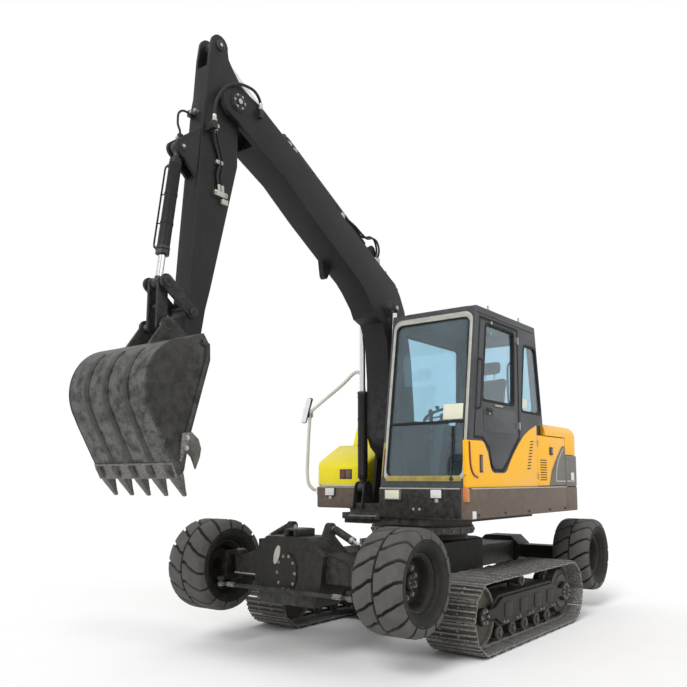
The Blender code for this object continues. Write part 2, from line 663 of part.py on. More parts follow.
def shrink(outline, amount):
    """An outline drawn in towards its middle."""
    centre = tuple(sum(point[i] for point in outline) / len(outline) for i in (0, 1))
    result = []
    for point in outline:
        step = [amount if point[i] < centre[i] else -amount for i in (0, 1)]
        result.append((point[0] + step[0], point[1] + step[1]))
    return result


QUARTER_WINDOW = [(0.150, 2.000), (0.608, 2.000), (0.508, 2.645), (0.235, 2.645)]
RIGHT_WINDOW = window(-0.700, 0.430, 1.900, 2.700)
DOOR_WINDOW = window(-0.640, -0.005, 2.040, 2.725)
WINDSCREEN_Z = (1.385, 2.765)
REAR_WINDOW_Z = (2.020, 2.720)
FRONT_GLASS_X = (CAB_RIGHT + 0.045, CAB_LEFT - 0.045)


def build_cab():
    """The cab: a hollow shell with its windows and doorway cut, and the glass in them."""
    shell = prism(cab_outline(0.0, DECK_TOP + GAP, ROOF_TOP), CAB_RIGHT, CAB_LEFT)
    inside = prism(cab_outline(CAB_WALL, 1.345, ROOF_TOP - CAB_WALL), CAB_RIGHT + CAB_WALL, 0.940)
    doorway = prism(door_outline(-CLEAR), 0.900, 1.100)
    panel_seat = prism(side_panel_outline(-1.1, 0.8, 1.2), 0.965, 1.100)
    bottom, top = WINDSCREEN_Z
    windscreen = box(FRONT_GLASS_X, (-1.1, -0.60), (bottom, top))
    back = box((0.240, 0.915), (0.35, 0.80), REAR_WINDOW_Z)
    cut(shell, inside, doorway, panel_seat, windscreen, back,
        prism(RIGHT_WINDOW, 0.0, 0.300), prism(QUARTER_WINDOW, 0.938, 1.100))
    finish(shell, "cab_shell", "cab_paint")

    x_low, x_high = FRONT_GLASS_X[0] + GAP, FRONT_GLASS_X[1] - GAP
    bottom, top = bottom + GAP, top - GAP
    leaning = [(front_y(bottom, 0.012), bottom), (front_y(bottom, 0.024), bottom),
               (front_y(top, 0.024), top), (front_y(top, 0.012), top)]
    pane(leaning, x_low, x_high, "windscreen")
    bottom, top = REAR_WINDOW_Z[0] + GAP, REAR_WINDOW_Z[1] - GAP
    leaning = [(rear_y(bottom, 0.024), bottom), (rear_y(bottom, 0.012), bottom),
               (rear_y(top, 0.012), top), (rear_y(top, 0.024), top)]
    pane(leaning, 0.240 + GAP, 0.915 - GAP, "rear_window")
    pane(shrink(RIGHT_WINDOW, GAP), CAB_RIGHT + 0.012, CAB_RIGHT + 0.024, "right_window")
    pane(shrink(QUARTER_WINDOW, GAP), CAB_LEFT - 0.024, CAB_LEFT - 0.012, "quarter_window")

    door = prism(door_outline(0.0), 0.955, CAB_LEFT)
    cut(door, prism(DOOR_WINDOW, 0.900, 1.100))
    hinge = (*DOOR_HINGE, DECK_TOP)
    finish(door, "cab_door", "cab_paint", hinge)
    glass = pane(shrink(DOOR_WINDOW, GAP), CAB_LEFT - 0.030, CAB_LEFT - 0.018, "door_window")
    glass.data.transform(Matrix.Translation(-Vector(hinge)))
    glass.location = hinge


def build_interior():
    """The seat with a console and a lever at each side, and the steering column."""
    middle = (CAB_RIGHT + CAB_LEFT) / 2 - 0.01
    floor = 1.345 + GAP
    base = box((middle - 0.16, middle + 0.16), (-0.18, 0.20), (floor, 1.640))
    cushion = rounded_box((middle - 0.25, middle + 0.25), (-0.27, 0.24), (1.600, 1.760), 0.04)
    backrest = rounded_slab(middle, 0.23, [(0.17, 1.70), (0.31, 1.72), (0.42, 2.38), (0.31, 2.40)])
    headrest = rounded_slab(middle, 0.13, [(0.315, 2.36), (0.42, 2.35), (0.44, 2.54), (0.345, 2.55)])
    parts = [cushion, backrest, headrest]
    for side in (-1, 1):
        inner, outer = sorted((middle + side * 0.240, middle + side * 0.355))
        parts.append(box((inner, outer), (-0.30, 0.16), (floor, 1.800)))
        lever_x = middle + side * 0.300
        parts.append(box((lever_x - 0.012, lever_x + 0.012), (-0.262, -0.238), (1.78, 1.94)))
        parts.append(cylinder((lever_x, -0.25), 0.026, 1.90, 2.03, "Z", 14))
    fuse(base, *parts)
    finish(base, "seat", "seat_fabric")

    column = prism([(-0.74, floor), (-0.62, floor), (-0.50, 1.90), (-0.53, 1.92), (-0.60, 1.90)],
                   middle - 0.05, middle + 0.05)
    rim = turned([(0.185 + 0.014 * cos(a), 0.014 * sin(a)) for a in
                  [2 * pi * k / 6 for k in range(6)]], (0, 0), "Z", 20)
    spokes = [box((-0.185, 0.185), (-0.014, 0.014), (-0.008, 0.008)),
              box((-0.014, 0.014), (-0.185, 0.0), (-0.008, 0.008)),
              cylinder((0, 0), 0.045, -0.05, 0.016, "Z", 16)]
    fuse(rim, *spokes)
    rim.data.transform(Matrix.Translation((middle, -0.520, 1.935)) @ Matrix.Rotation(radians(28), 4, "X"))
    fuse(column, rim)
    finish(column, "steering_column", "black_plastic")


def rounded_box(x, y, z, width):
    """A box with round edges, ready to be joined."""
    piece = rounded(box(x, y, z), width)
    piece.data = evaluated_mesh(piece)
    piece.modifiers.clear()
    return piece


def rounded_slab(middle, half, outline):
    """An outline of the side view, made as wide as twice half, with round edges."""
    piece = rounded(prism(outline, middle - half, middle + half), 0.03)
    piece.data = evaluated_mesh(piece)
    piece.modifiers.clear()
    return piece


def smooth_route(points, steps=5):
    """A smooth curve through the points, sampled at equal shares of each stretch."""
    route = []
    padded = [points[0]] + list(points) + [points[-1]]
    for i in range(1, len(padded) - 2):
        before, start, end, after = (Vector(padded[i + k]) for k in (-1, 0, 1, 2))
        for k in range(steps):
            t = k / steps
            route.append(0.5 * (2 * start + (end - before) * t
                                + (2 * before - 5 * start + 4 * end - after) * t ** 2
                                + (3 * start - before - 3 * end + after) * t ** 3))
    route.append(Vector(points[-1]))
    return route


DECK_SLANT = (-0.766, -0.643)       # outward direction of the right deck's slanted corner
RAIL_FOOT = ((-0.986, -0.4333), (-0.954, -0.4715))      # the ends of the rail's foot on that face
RAIL_FOOT_DEPTH = 0.030
RAIL_Y = -0.500
MIRROR_FACES = (-0.5500, -0.5180)   # y of the mirror's front and back


def build_handrail():
    """The white grab rail on the right front corner, with a foot at each end, and its mirror."""
    inner = [plus(point, (DECK_SLANT[0] * GAP, DECK_SLANT[1] * GAP)) for point in RAIL_FOOT]
    outer = [plus(point, (DECK_SLANT[0] * RAIL_FOOT_DEPTH, DECK_SLANT[1] * RAIL_FOOT_DEPTH))
             for point in RAIL_FOOT]
    front_foot = prism(inner + outer[::-1], 1.235, 1.285, "Z")
    rear_foot = prism([(-0.060, 1.72271 + GAP), (-0.020, 1.72414 + GAP), (-0.020, 1.760), (-0.060, 1.760)],
                      -0.410, -0.370)
    route = smooth_route([(-0.980, -0.460, 1.260), (-1.008, -0.484, 1.275), (-1.045, -0.505, 1.330),
                          (-1.062, -0.506, 1.420), (-1.066, RAIL_Y, 1.550), (-1.048, RAIL_Y, 1.900),
                          (-1.024, RAIL_Y, 2.040), (-0.965, RAIL_Y, 2.100), (-0.633, RAIL_Y, 2.297),
                          (-0.495, RAIL_Y, 2.397), (-0.427, RAIL_Y, 2.419), (-0.389, -0.490, 2.392),
                          (-0.372, -0.478, 2.329), (-0.376, -0.440, 2.200), (-0.384, -0.250, 1.980),
                          (-0.390, -0.040, 1.745)], 3)
    rail = tube(route, 0.017, "rail", 1)
    mirror_arm = box((-1.050, -1.010), (MIRROR_FACES[1] + GAP, RAIL_Y + 0.005), (2.005, 2.045))
    fuse(rail, front_foot, rear_foot, mirror_arm)
    finish(rail, "handrail", "white_paint", smooth=True)
    mirror = prism([(-1.125, 1.945), (-1.065, 1.940), (-0.975, 2.195), (-1.035, 2.200)], *MIRROR_FACES, "Y")
    rounded(mirror, 0.010)
    finish(mirror, "mirror", "black_plastic")


# ---------------------------------------------------------------- working arm
def arm_slab(outline, half):
    """An outline of the side view, centred on the arm's plane."""
    return prism(outline, ARM_X - half, ARM_X + half)


def arm_boss(pin, radius, inner, outer):
    """A pair of round bosses on a pin, one each side of the arm's plane."""
    return [cylinder(pin, radius, *sorted((ARM_X + side * inner, ARM_X + side * outer)))
            for side in (-1, 1)]


def across_arm(side, faces):
    """The low and high x of a plate on one side of the arm, from its two distances."""
    return sorted((ARM_X + side * faces[0], ARM_X + side * faces[1]))


def build_boom():
    """The bent box boom: fork at its tip, brackets for the stick cylinder, bosses for its own."""
    outline = (arc(BOOM_TIP, TIP_RADIUS, 62, 262, 10)
               + [(-2.337, 3.888), (-2.058, 3.757), (-1.725, 3.532), (-1.237, 3.234), (-1.092, 3.150)]
               + [(-1.002, 3.074), (-0.880, 2.945), (-0.833, 2.862), (-0.723, 2.820)]
               + [(-0.645, 2.650), (-0.614, 2.300), (-0.610, 1.770), (-0.560, 1.670)]
               + arc(BOOM_FOOT, 0.120, 200, 370, 10)
               + [(-0.190, 2.000), (-0.235, 2.500), (-0.340, 2.985), (-0.423, 3.136), (-0.505, 3.235)]
               + [(-0.640, 3.305), (-1.280, 3.645), (-1.900, 4.008), (-2.360, 4.243)])
    body = arm_slab(outline, BOOM_HALF)
    cut(body, arm_slab(circle(BOOM_TIP, FORK_DEPTH, ROUND), STICK_HALF + CLEAR))
    foot_lug = lug(STICK_CYLINDER_FOOT, 0.052, (-0.900, 3.35), (-0.640, 3.22))
    parts = [prism(foot_lug, *across_arm(side, WIDE_LUG)) for side in (-1, 1)]
    parts += arm_boss(BOOM_CYLINDER_EYE, 0.075, BOOM_HALF - 0.01, BOOM_CYLINDER_X - 0.046)
    parts += arm_boss(BOOM_TIP, 0.075, BOOM_HALF - 0.02, BOOM_HALF + 0.010)
    parts.append(box((ARM_X + BOOM_HALF - 0.01, ARM_X + BOOM_HOSE_X + 0.018), (-2.403, -2.367), (4.130, 4.195)))
    parts.append(prism(lug((-1.300, 3.175), 0.032, (-1.220, 3.26), (-1.360, 3.34)),
                       ARM_X - BOOM_HALF, ARM_X - BOOM_HALF + 0.05))
    fuse(body, *parts)
    finish(body, "boom", "charcoal_paint", (ARM_X, *BOOM_FOOT))


def build_stick():
    """The box stick: ears for its cylinder, bracket for the bucket cylinder, nose at the bucket pin."""
    outline = (arc(STICK_CYLINDER_EYE, 0.080, -10, 170, 8)
               + [(-2.838, 4.450), (-2.858, 4.141), (-2.874, 4.057), (-2.951, 2.978), (-2.962, 2.795)]
               + [(-2.985, 2.450)]
               + arc(BUCKET_PIN, 0.062, 170, 340, 8)
               + [(-2.853, 2.331), (-2.815, 2.551), (-2.774, 2.704), (-2.699, 3.016), (-2.540, 3.700)]
               + arc(BOOM_TIP, 0.165, 290, 380, 5)
               + [(-2.551, 4.391), (-2.604, 4.446), (-2.650, 4.506)])
    body = arm_slab(outline, STICK_HALF)
    ear_gap = [(-2.95, 4.400), (-2.78, 4.370), (-2.60, 4.385), (-2.35, 4.385), (-2.35, 4.9), (-2.95, 4.9)]
    cut(body, arm_slab(ear_gap, 0.051))
    bracket = lug(BUCKET_CYLINDER_FOOT, 0.056, (-2.890, 3.480), (-2.860, 3.900))
    parts = [prism(bracket, *across_arm(side, NARROW_LUG)) for side in (-1, 1)]
    parts += arm_boss(ROCKER_PIN, 0.050, STICK_HALF - 0.01, STICK_HALF + 0.002)
    parts.append(arm_slab(circle(ROCKER_PIN, 0.050), STICK_HALF))
    hose_x = ARM_X + STICK_HOSE_X
    parts.append(box((hose_x - 0.018, hose_x + 0.018), (-2.915, -2.860), (3.985, 4.030)))
    parts.append(box((hose_x - 0.014, hose_x + 0.014), (-3.001, -2.969), (3.740, 3.820)))
    parts.append(box((ARM_X + STICK_HALF - 0.01, ARM_X + BOOM_HOSE_X + 0.018), (-2.863, -2.827), (3.860, 3.915)))
    fuse(body, *parts)
    cut(body, cylinder(ROCKER_PIN, ROCKER_PIN_RADIUS + CLEAR, ARM_X - 0.2, ARM_X + 0.2))
    finish(body, "stick", "charcoal_paint", (ARM_X, *BOOM_TIP))


BUCKET_CENTRE = (-3.220, 1.933)  # of its round back


def build_bucket():
    """The bucket: curved shell and two side plates as one hollow body, with ears, lip and teeth."""
    outside = ([(-3.270, 1.380), (-3.462, 1.715)] + arc(BUCKET_CENTRE, 0.315, 212, 95, 10)
               + [(-3.105, 2.300), (-3.055, 2.235), (-3.050, 2.130), (-3.190, 1.660), (-3.230, 1.420)])
    inside = ([(-3.200, 1.305), (-3.443, 1.726)] + arc(BUCKET_CENTRE, 0.293, 210, 95, 10)
              + [(-3.112, 2.270), (-2.800, 2.210), (-2.900, 1.400)])
    low, high = ARM_X - BUCKET_HALF, ARM_X + BUCKET_HALF
    body = prism(outside, low, high)
    cut(body, prism(inside, low + 0.020, high - 0.020))
    link_pin = plus(BUCKET_PIN, LINK_LEVER)
    parts = []
    ear = (arc(BUCKET_PIN, 0.070, -60, 60, 5) + arc(link_pin, 0.050, 50, 190, 5)
           + [(-3.330, 2.215), (-3.180, 2.150)])
    for side in (-1, 1):
        parts.append(prism(ear, *across_arm(side, BUCKET_EAR)))
        for pin in (BUCKET_PIN, link_pin):
            parts.append(cylinder(pin, 0.030, *across_arm(side, (BUCKET_EAR[0] + 0.01, PIN_END))))
        plate = [(-3.240, 1.640), (-3.130, 1.610), (-3.110, 1.560), (-3.150, 1.430), (-3.175, 1.500),
                 (-3.215, 1.530), (-3.255, 1.480)]
        edge = ARM_X + side * (BUCKET_HALF + 0.012)
        parts.append(prism(plate, *sorted((edge, edge - side * 0.026))))
    tooth = [(-3.325, 1.440), (-3.275, 1.490), (-3.222, 1.400), (-3.168, 1.275), (-3.188, 1.264),
             (-3.292, 1.375)]
    for i in range(5):
        middle = ARM_X + (i - 2) * 0.175
        parts.append(prism(tooth, middle - 0.032, middle + 0.032))
    fuse(body, *parts)
    finish(body, "bucket", "bucket_paint", (ARM_X, *BUCKET_PIN))


def build_cylinder(prefix, foot, eye, x, barrel_radius, barrel_share, rod_radius, eye_half, retraction):
    """A hydraulic cylinder: a barrel that turns on its foot, and a rod that slides in it."""
    length = hypot(eye[0] - foot[0], eye[1] - foot[1])

    def at(distance):
        return between(foot, eye, distance / length)

    gland = barrel_share * length
    barrel = rod_between(at(FOOT_NECK), at(gland), barrel_radius, x)
    fuse(barrel,
         rod_between(at(0.0), at(FOOT_NECK + 0.02), eye_half * 0.85, x, FEW),
         cylinder(foot, FOOT_EYE_RADIUS, x - eye_half, x + eye_half),
         rod_between(at(gland - 0.055), at(gland), barrel_radius + 0.004, x))
    cut(barrel, rod_between(at(FOOT_NECK + 0.03), at(gland + 0.02), rod_radius + ROD_CLEARANCE, x, FEW))
    finish(barrel, prefix + "_cylinder", "charcoal_paint", (x, *foot), smooth=True)
    rod = rod_between(at(FOOT_NECK + 0.04 + retraction), at(length), rod_radius, x, FEW)
    fuse(rod, cylinder(eye, rod_radius * 1.45, x - eye_half, x + eye_half))
    finish(rod, prefix + "_rod", "chrome", (x, *eye), smooth=True)


def build_linkage():
    """The rocker on the stick and the link from it to the bucket."""
    rod_eye = plus(ROCKER_PIN, LINK_LEVER)
    link_pin = plus(BUCKET_PIN, LINK_LEVER)

    rocker, *others = [prism(two_rounds(ROCKER_PIN, 0.045, rod_eye, 0.052), *across_arm(side, ROCKER_PLATE))
                       for side in (-1, 1)]
    knobs = [cylinder(rod_eye, 0.034, *across_arm(side, (ROCKER_PLATE[0] + 0.01, PIN_END)))
             for side in (-1, 1)]
    pin = cylinder(ROCKER_PIN, ROCKER_PIN_RADIUS, ARM_X - ROCKER_PLATE[1], ARM_X + ROCKER_PLATE[1])
    fuse(rocker, *others, *knobs, pin)
    finish(rocker, "rocker", "charcoal_paint", (ARM_X, *ROCKER_PIN))

    link, *others = [prism(two_rounds(rod_eye, 0.042, link_pin, 0.044), *across_arm(side, NARROW_LUG))
                     for side in (-1, 1)]
    web = cylinder(between(rod_eye, link_pin, 0.55), 0.018, ARM_X - 0.05, ARM_X + 0.05)
    fuse(link, *others, web)
    finish(link, "bucket_link", "charcoal_paint", (ARM_X, *rod_eye))


def two_rounds(a, radius_a, b, radius_b):
    """The outline round two circles and the straight sides between them."""
    angle = degrees(atan2(b[1] - a[1], b[0] - a[0]))
    return arc(a, radius_a, angle + 90, angle + 270, 6) + arc(b, radius_b, angle - 90, angle + 90, 6)


def build_hoses():
    """The hose that crosses from the boom to the stick, and the one to the bucket cylinder."""
    across = ARM_X + BOOM_HOSE_X
    boom_hose = ([(-2.385, 4.195 + GAP)] + arc((-2.485, 4.222), 0.100, 0, 90, 6)
                 + arc((-2.500, 3.977), 0.345, 90, 180, 12) + [(-2.845, 3.915 + GAP)])
    hose = tube([(across, y, z) for y, z in boom_hose], HOSE_RADIUS, "hose")
    finish(hose, "boom_hose", "hose_rubber", smooth=True)

    across = ARM_X + STICK_HOSE_X
    stick_hose = ([(-2.915 - GAP, 4.008)] + arc((-2.943, 3.941), 0.067, 90, 180, 8)
                  + arc((-2.943, 3.901), 0.067, 180, 215, 4)
                  + arc((-3.0528, 3.8241), 0.067, 35, 0, 4)[1:] + [(-2.9858, 3.820 + GAP)])
    hose = tube([(across, y, z) for y, z in stick_hose], THIN_HOSE_RADIUS, "hose")
    finish(hose, "stick_hose", "hose_rubber", smooth=True)


def build_arm():
    """The boom, the stick, the bucket and everything that moves them."""
    build_boom()
    build_stick()
    build_bucket()
    build_linkage()
    rod_eye = plus(ROCKER_PIN, LINK_LEVER)
    cylinders = (       # prefix, foot, eye, x, barrel radius, barrel share, rod radius, half eye, retraction
        ("left_boom", BOOM_CYLINDER_FOOT, BOOM_CYLINDER_EYE, ARM_X + BOOM_CYLINDER_X,
         0.046, 0.545, 0.028, 0.040, 0.515),
        ("right_boom", BOOM_CYLINDER_FOOT, BOOM_CYLINDER_EYE, ARM_X - BOOM_CYLINDER_X,
         0.046, 0.545, 0.028, 0.040, 0.515),
        ("stick", STICK_CYLINDER_FOOT, STICK_CYLINDER_EYE, ARM_X, 0.048, 0.620, 0.030, 0.044, 0.485),
        ("bucket", BUCKET_CYLINDER_FOOT, rod_eye, ARM_X, 0.043, 0.800, 0.025, 0.031, 0.125),
    )
    for row in cylinders:
        build_cylinder(*row)


def clear_scene():
    """Remove whatever the scene holds."""
    for leftover in list(bpy.data.objects):
        bpy.data.objects.remove(leftover)


clear_scene()
MACHINE = bpy.data.objects.new("machine", None)
MACHINE.location = (0, ORIGIN_TO_SLEW_Y, 0)
bpy.context.scene.collection.objects.link(MACHINE)
build_undercarriage()
build_upper_frame()
build_decks()
build_tail()
build_side_panels()
build_cab()
build_interior()
build_handrail()
build_arm()
build_hoses()
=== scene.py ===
"""Looks of a wheel crawler excavator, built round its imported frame.

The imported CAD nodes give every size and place. This script softens their edges, replaces the plain
ones with modelled pieces, and gives every surface a finish made of nodes. Units are metres, +Z is up,
the machine faces -Y, and +X is its left side.
"""

import json
import logging
from collections.abc import Callable, Iterable, Sequence
from dataclasses import dataclass, field
from enum import Enum
from math import atan2, cos, hypot, pi, radians, sin

import bmesh
import bpy
from mathutils import Matrix, Vector, noise
from mathutils.bvhtree import BVHTree

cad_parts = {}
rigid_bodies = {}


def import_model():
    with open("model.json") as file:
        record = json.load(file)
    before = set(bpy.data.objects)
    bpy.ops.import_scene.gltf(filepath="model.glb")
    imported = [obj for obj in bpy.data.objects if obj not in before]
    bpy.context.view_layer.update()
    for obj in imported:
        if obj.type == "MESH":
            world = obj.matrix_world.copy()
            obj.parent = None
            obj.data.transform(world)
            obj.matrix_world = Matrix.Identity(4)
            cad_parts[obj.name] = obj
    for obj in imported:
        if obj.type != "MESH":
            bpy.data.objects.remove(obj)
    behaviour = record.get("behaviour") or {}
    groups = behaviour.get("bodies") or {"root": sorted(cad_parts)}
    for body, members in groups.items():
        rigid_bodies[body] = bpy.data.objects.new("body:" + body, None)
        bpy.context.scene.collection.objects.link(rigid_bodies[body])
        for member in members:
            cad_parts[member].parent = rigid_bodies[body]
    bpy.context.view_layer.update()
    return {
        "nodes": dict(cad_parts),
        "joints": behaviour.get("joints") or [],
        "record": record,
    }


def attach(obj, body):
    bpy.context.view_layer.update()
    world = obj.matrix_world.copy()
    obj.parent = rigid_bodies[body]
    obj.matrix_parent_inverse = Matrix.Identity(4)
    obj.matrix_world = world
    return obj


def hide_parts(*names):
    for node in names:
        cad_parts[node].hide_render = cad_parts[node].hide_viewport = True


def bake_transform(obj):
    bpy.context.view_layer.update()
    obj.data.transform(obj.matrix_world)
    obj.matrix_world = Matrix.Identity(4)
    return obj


LOG = logging.getLogger("excavator_looks")
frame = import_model()
JOINTS = {joint["name"]: joint for joint in frame["joints"]}
BODY_OF = {node: body for body, nodes in frame["record"]["behaviour"]["bodies"].items() for node in nodes}
SLEW_Y = JOINTS["slew"]["pos_m"][1]     # the slew axis, behind the origin
ARM_X = JOINTS["boom_lift"]["pos_m"][0]     # the centre plane of the boom, stick and bucket
POLE = 0.0008           # radius at which a turned shape closes on its axis
PIN_RADIUS = 0.0202     # pins of the hydraulic cylinders
PIN_BORE = 0.0205       # the eyes that those pins pass through

Point = Sequence[float]
Pair = tuple[float, float]
Outline = Sequence[Pair]


class Axis(Enum):
    """The axis that an outline is pushed along, or turned about."""

    X = "X"
    Y = "Y"
    Z = "Z"

    def place(self, point: Pair, depth: float) -> Vector:
        """Puts an outline's point, measured from the slew axis, into the frame."""
        if self is Axis.X:
            return Vector((depth, point[0] + SLEW_Y, point[1]))
        if self is Axis.Y:
            return Vector((point[0], depth + SLEW_Y, point[1]))
        return Vector((point[0], point[1] + SLEW_Y, depth))


class Side(Enum):
    """The machine's left and right, with the sign of x on that side."""

    LEFT = 1
    RIGHT = -1

    @property
    def word(self) -> str:
        """The side's name, as node names spell it."""
        return self.name.lower()

    def span(self, inner: float, outer: float, centre: float = 0.0) -> Pair:
        """The low and high x between two distances from a centre plane."""
        a, b = centre + self.value * inner, centre + self.value * outer
        return (min(a, b), max(a, b))


def pin(joint: str) -> Pair:
    """The (y, z) of a hinge's pin, with y measured from the slew axis."""
    place = JOINTS[joint]["pos_m"]
    return (place[1] - SLEW_Y, place[2])


# ---------------------------------------------------------------- outlines
def arc(centre: Pair, radius: float, start: float, end: float, steps: int = 8) -> list[Pair]:
    """Points on an arc.

    Args:
        centre: The arc's centre.
        radius: Its radius.
        start: First angle, in degrees.
        end: Last angle, in degrees.
        steps: Number of stretches.

    Returns:
        The points, one more than the steps.
    """
    angles = [radians(start + (end - start) * i / steps) for i in range(steps + 1)]
    return [(centre[0] + radius * cos(a), centre[1] + radius * sin(a)) for a in angles]


def circle(centre: Pair, radius: float, steps: int = 32) -> list[Pair]:
    """Points round a full circle."""
    return arc(centre, radius, 0, 360 * (steps - 1) / steps, steps - 1)


def rounded_rectangle(low: Pair, high: Pair, radius: float, steps: int = 5) -> list[Pair]:
    """A rectangle's outline with round corners.

    Args:
        low: Its lowest corner.
        high: Its highest corner.
        radius: Radius of the corners.
        steps: Stretches in each corner.

    Returns:
        The points, anticlockwise.
    """
    corners = (             # centre of the corner, first angle
        ((high[0] - radius, low[1] + radius), -90),
        ((high[0] - radius, high[1] - radius), 0),
        ((low[0] + radius, high[1] - radius), 90),
        ((low[0] + radius, low[1] + radius), 180),
    )
    return [point for centre, first in corners for point in arc(centre, radius, first, first + 90, steps)]


def smooth_route(points: Sequence[Point], steps: int = 6) -> list[Vector]:
    """A smooth curve through points.

    Args:
        points: The points it passes through.
        steps: Stretches between two of them.

    Returns:
        The curve's points.
    """
    route: list[Vector] = []
    padded = [points[0], *points, points[-1]]
    for i in range(1, len(padded) - 2):
        before, start, end, after = (Vector(padded[i + k]) for k in (-1, 0, 1, 2))
        for k in range(steps):
            t = k / steps
            route.append(0.5 * (2 * start + (end - before) * t + (2 * before - 5 * start + 4 * end - after)
                * t ** 2 + (3 * start - before - 3 * end + after) * t ** 3))
    route.append(Vector(points[-1]))
    return route


def length_of(route: Sequence[Vector]) -> float:
    """The length of a route along its points."""
    return sum((b - a).length for a, b in zip(route, route[1:]))


def from_slew(points: Iterable[Point]) -> list[Vector]:
    """Points measured from the slew axis, put into the frame."""
    return [Vector((x, y + SLEW_Y, z)) for x, y, z in points]


# ---------------------------------------------------------------- finishes
class Kind(Enum):
    """How a finish's nodes are laid out."""

    PAINT = "paint"
    METAL = "metal"
    RUBBER = "rubber"
    PLASTIC = "plastic"
    CLOTH = "cloth"
    GLASS = "glass"
    LAMP = "lamp"


Colour = tuple[float, float, float]


class Nodes:
    """A short way to add and link the nodes of one material or node group."""

    def __init__(self, tree: bpy.types.NodeTree) -> None:
        """Keeps the tree."""
        self.tree = tree

    def add(self, kind: str, **settings: object) -> bpy.types.Node:
        """Adds a node.

        Args:
            kind: The node's type.
            **settings: Its properties by name, and its inputs by name with spaces as underscores.

        Returns:
            The node.
        """
        node = self.tree.nodes.new(kind)
        for name, value in settings.items():
            if hasattr(node, name):
                setattr(node, name, value)
                continue
            socket = node.inputs[name.replace("_", " ")]
            if isinstance(value, bpy.types.NodeSocket):
                self.tree.links.new(value, socket)
            else:
                socket.default_value = value
        return node

    def link(self, output: bpy.types.NodeSocket, socket: bpy.types.NodeSocket) -> None:
        """Links an output to an input."""
        self.tree.links.new(output, socket)

    def mix(self, factor: object, first: object, second: object) -> bpy.types.NodeSocket:
        """Mixes two colours, each a socket or a colour.

        Args:
            factor: The second one's share, a socket or a number.
            first: The colour at 0.
            second: The colour at 1.

        Returns:
            The mixed colour's socket.
        """
        node = self.tree.nodes.new("ShaderNodeMix")
        node.data_type = "RGBA"
        for index, value in ((0, factor), (6, first), (7, second)):
            if isinstance(value, bpy.types.NodeSocket):
                self.tree.links.new(value, node.inputs[index])
            elif index == 0:
                node.inputs[index].default_value = value
            else:
                node.inputs[index].default_value = (*value, 1.0)
        return node.outputs[2]

    def ramp(self, value: bpy.types.NodeSocket, low: float, high: float, to_low: float = 0.0,
            to_high: float = 1.0) -> bpy.types.NodeSocket:
        """Maps a range of a value to another, and clamps it.

        Args:
            value: The socket to map.
            low: Start of its range.
            high: End of its range.
            to_low: Result at the start.
            to_high: Result at the end.

        Returns:
            The result's socket.
        """
        node = self.add("ShaderNodeMapRange", From_Min=low, From_Max=high, To_Min=to_low, To_Max=to_high)
        self.link(value, node.inputs["Value"])
        return node.outputs["Result"]

    def noise(self, vector: bpy.types.NodeSocket, scale: float, detail: float = 3.0,
            roughness: float = 0.55) -> bpy.types.NodeSocket:
        """A noise texture's value.

        Args:
            vector: The coordinates.
            scale: Its scale, in patches a metre.
            detail: Number of finer octaves.
            roughness: Strength of those octaves.

        Returns:
            The value's socket.
        """
        node = self.add("ShaderNodeTexNoise", Scale=scale, Detail=detail, Roughness=roughness)
        self.link(vector, node.inputs["Vector"])
        return node.outputs["Fac"]

    def product(self, first: bpy.types.NodeSocket, second: object) -> bpy.types.NodeSocket:
        """The product of a socket and a socket or number."""
        node = self.add("ShaderNodeMath", operation="MULTIPLY")
        self.link(first, node.inputs[0])
        if isinstance(second, bpy.types.NodeSocket):
            self.link(second, node.inputs[1])
        else:
            node.inputs[1].default_value = second
        return node.outputs[0]


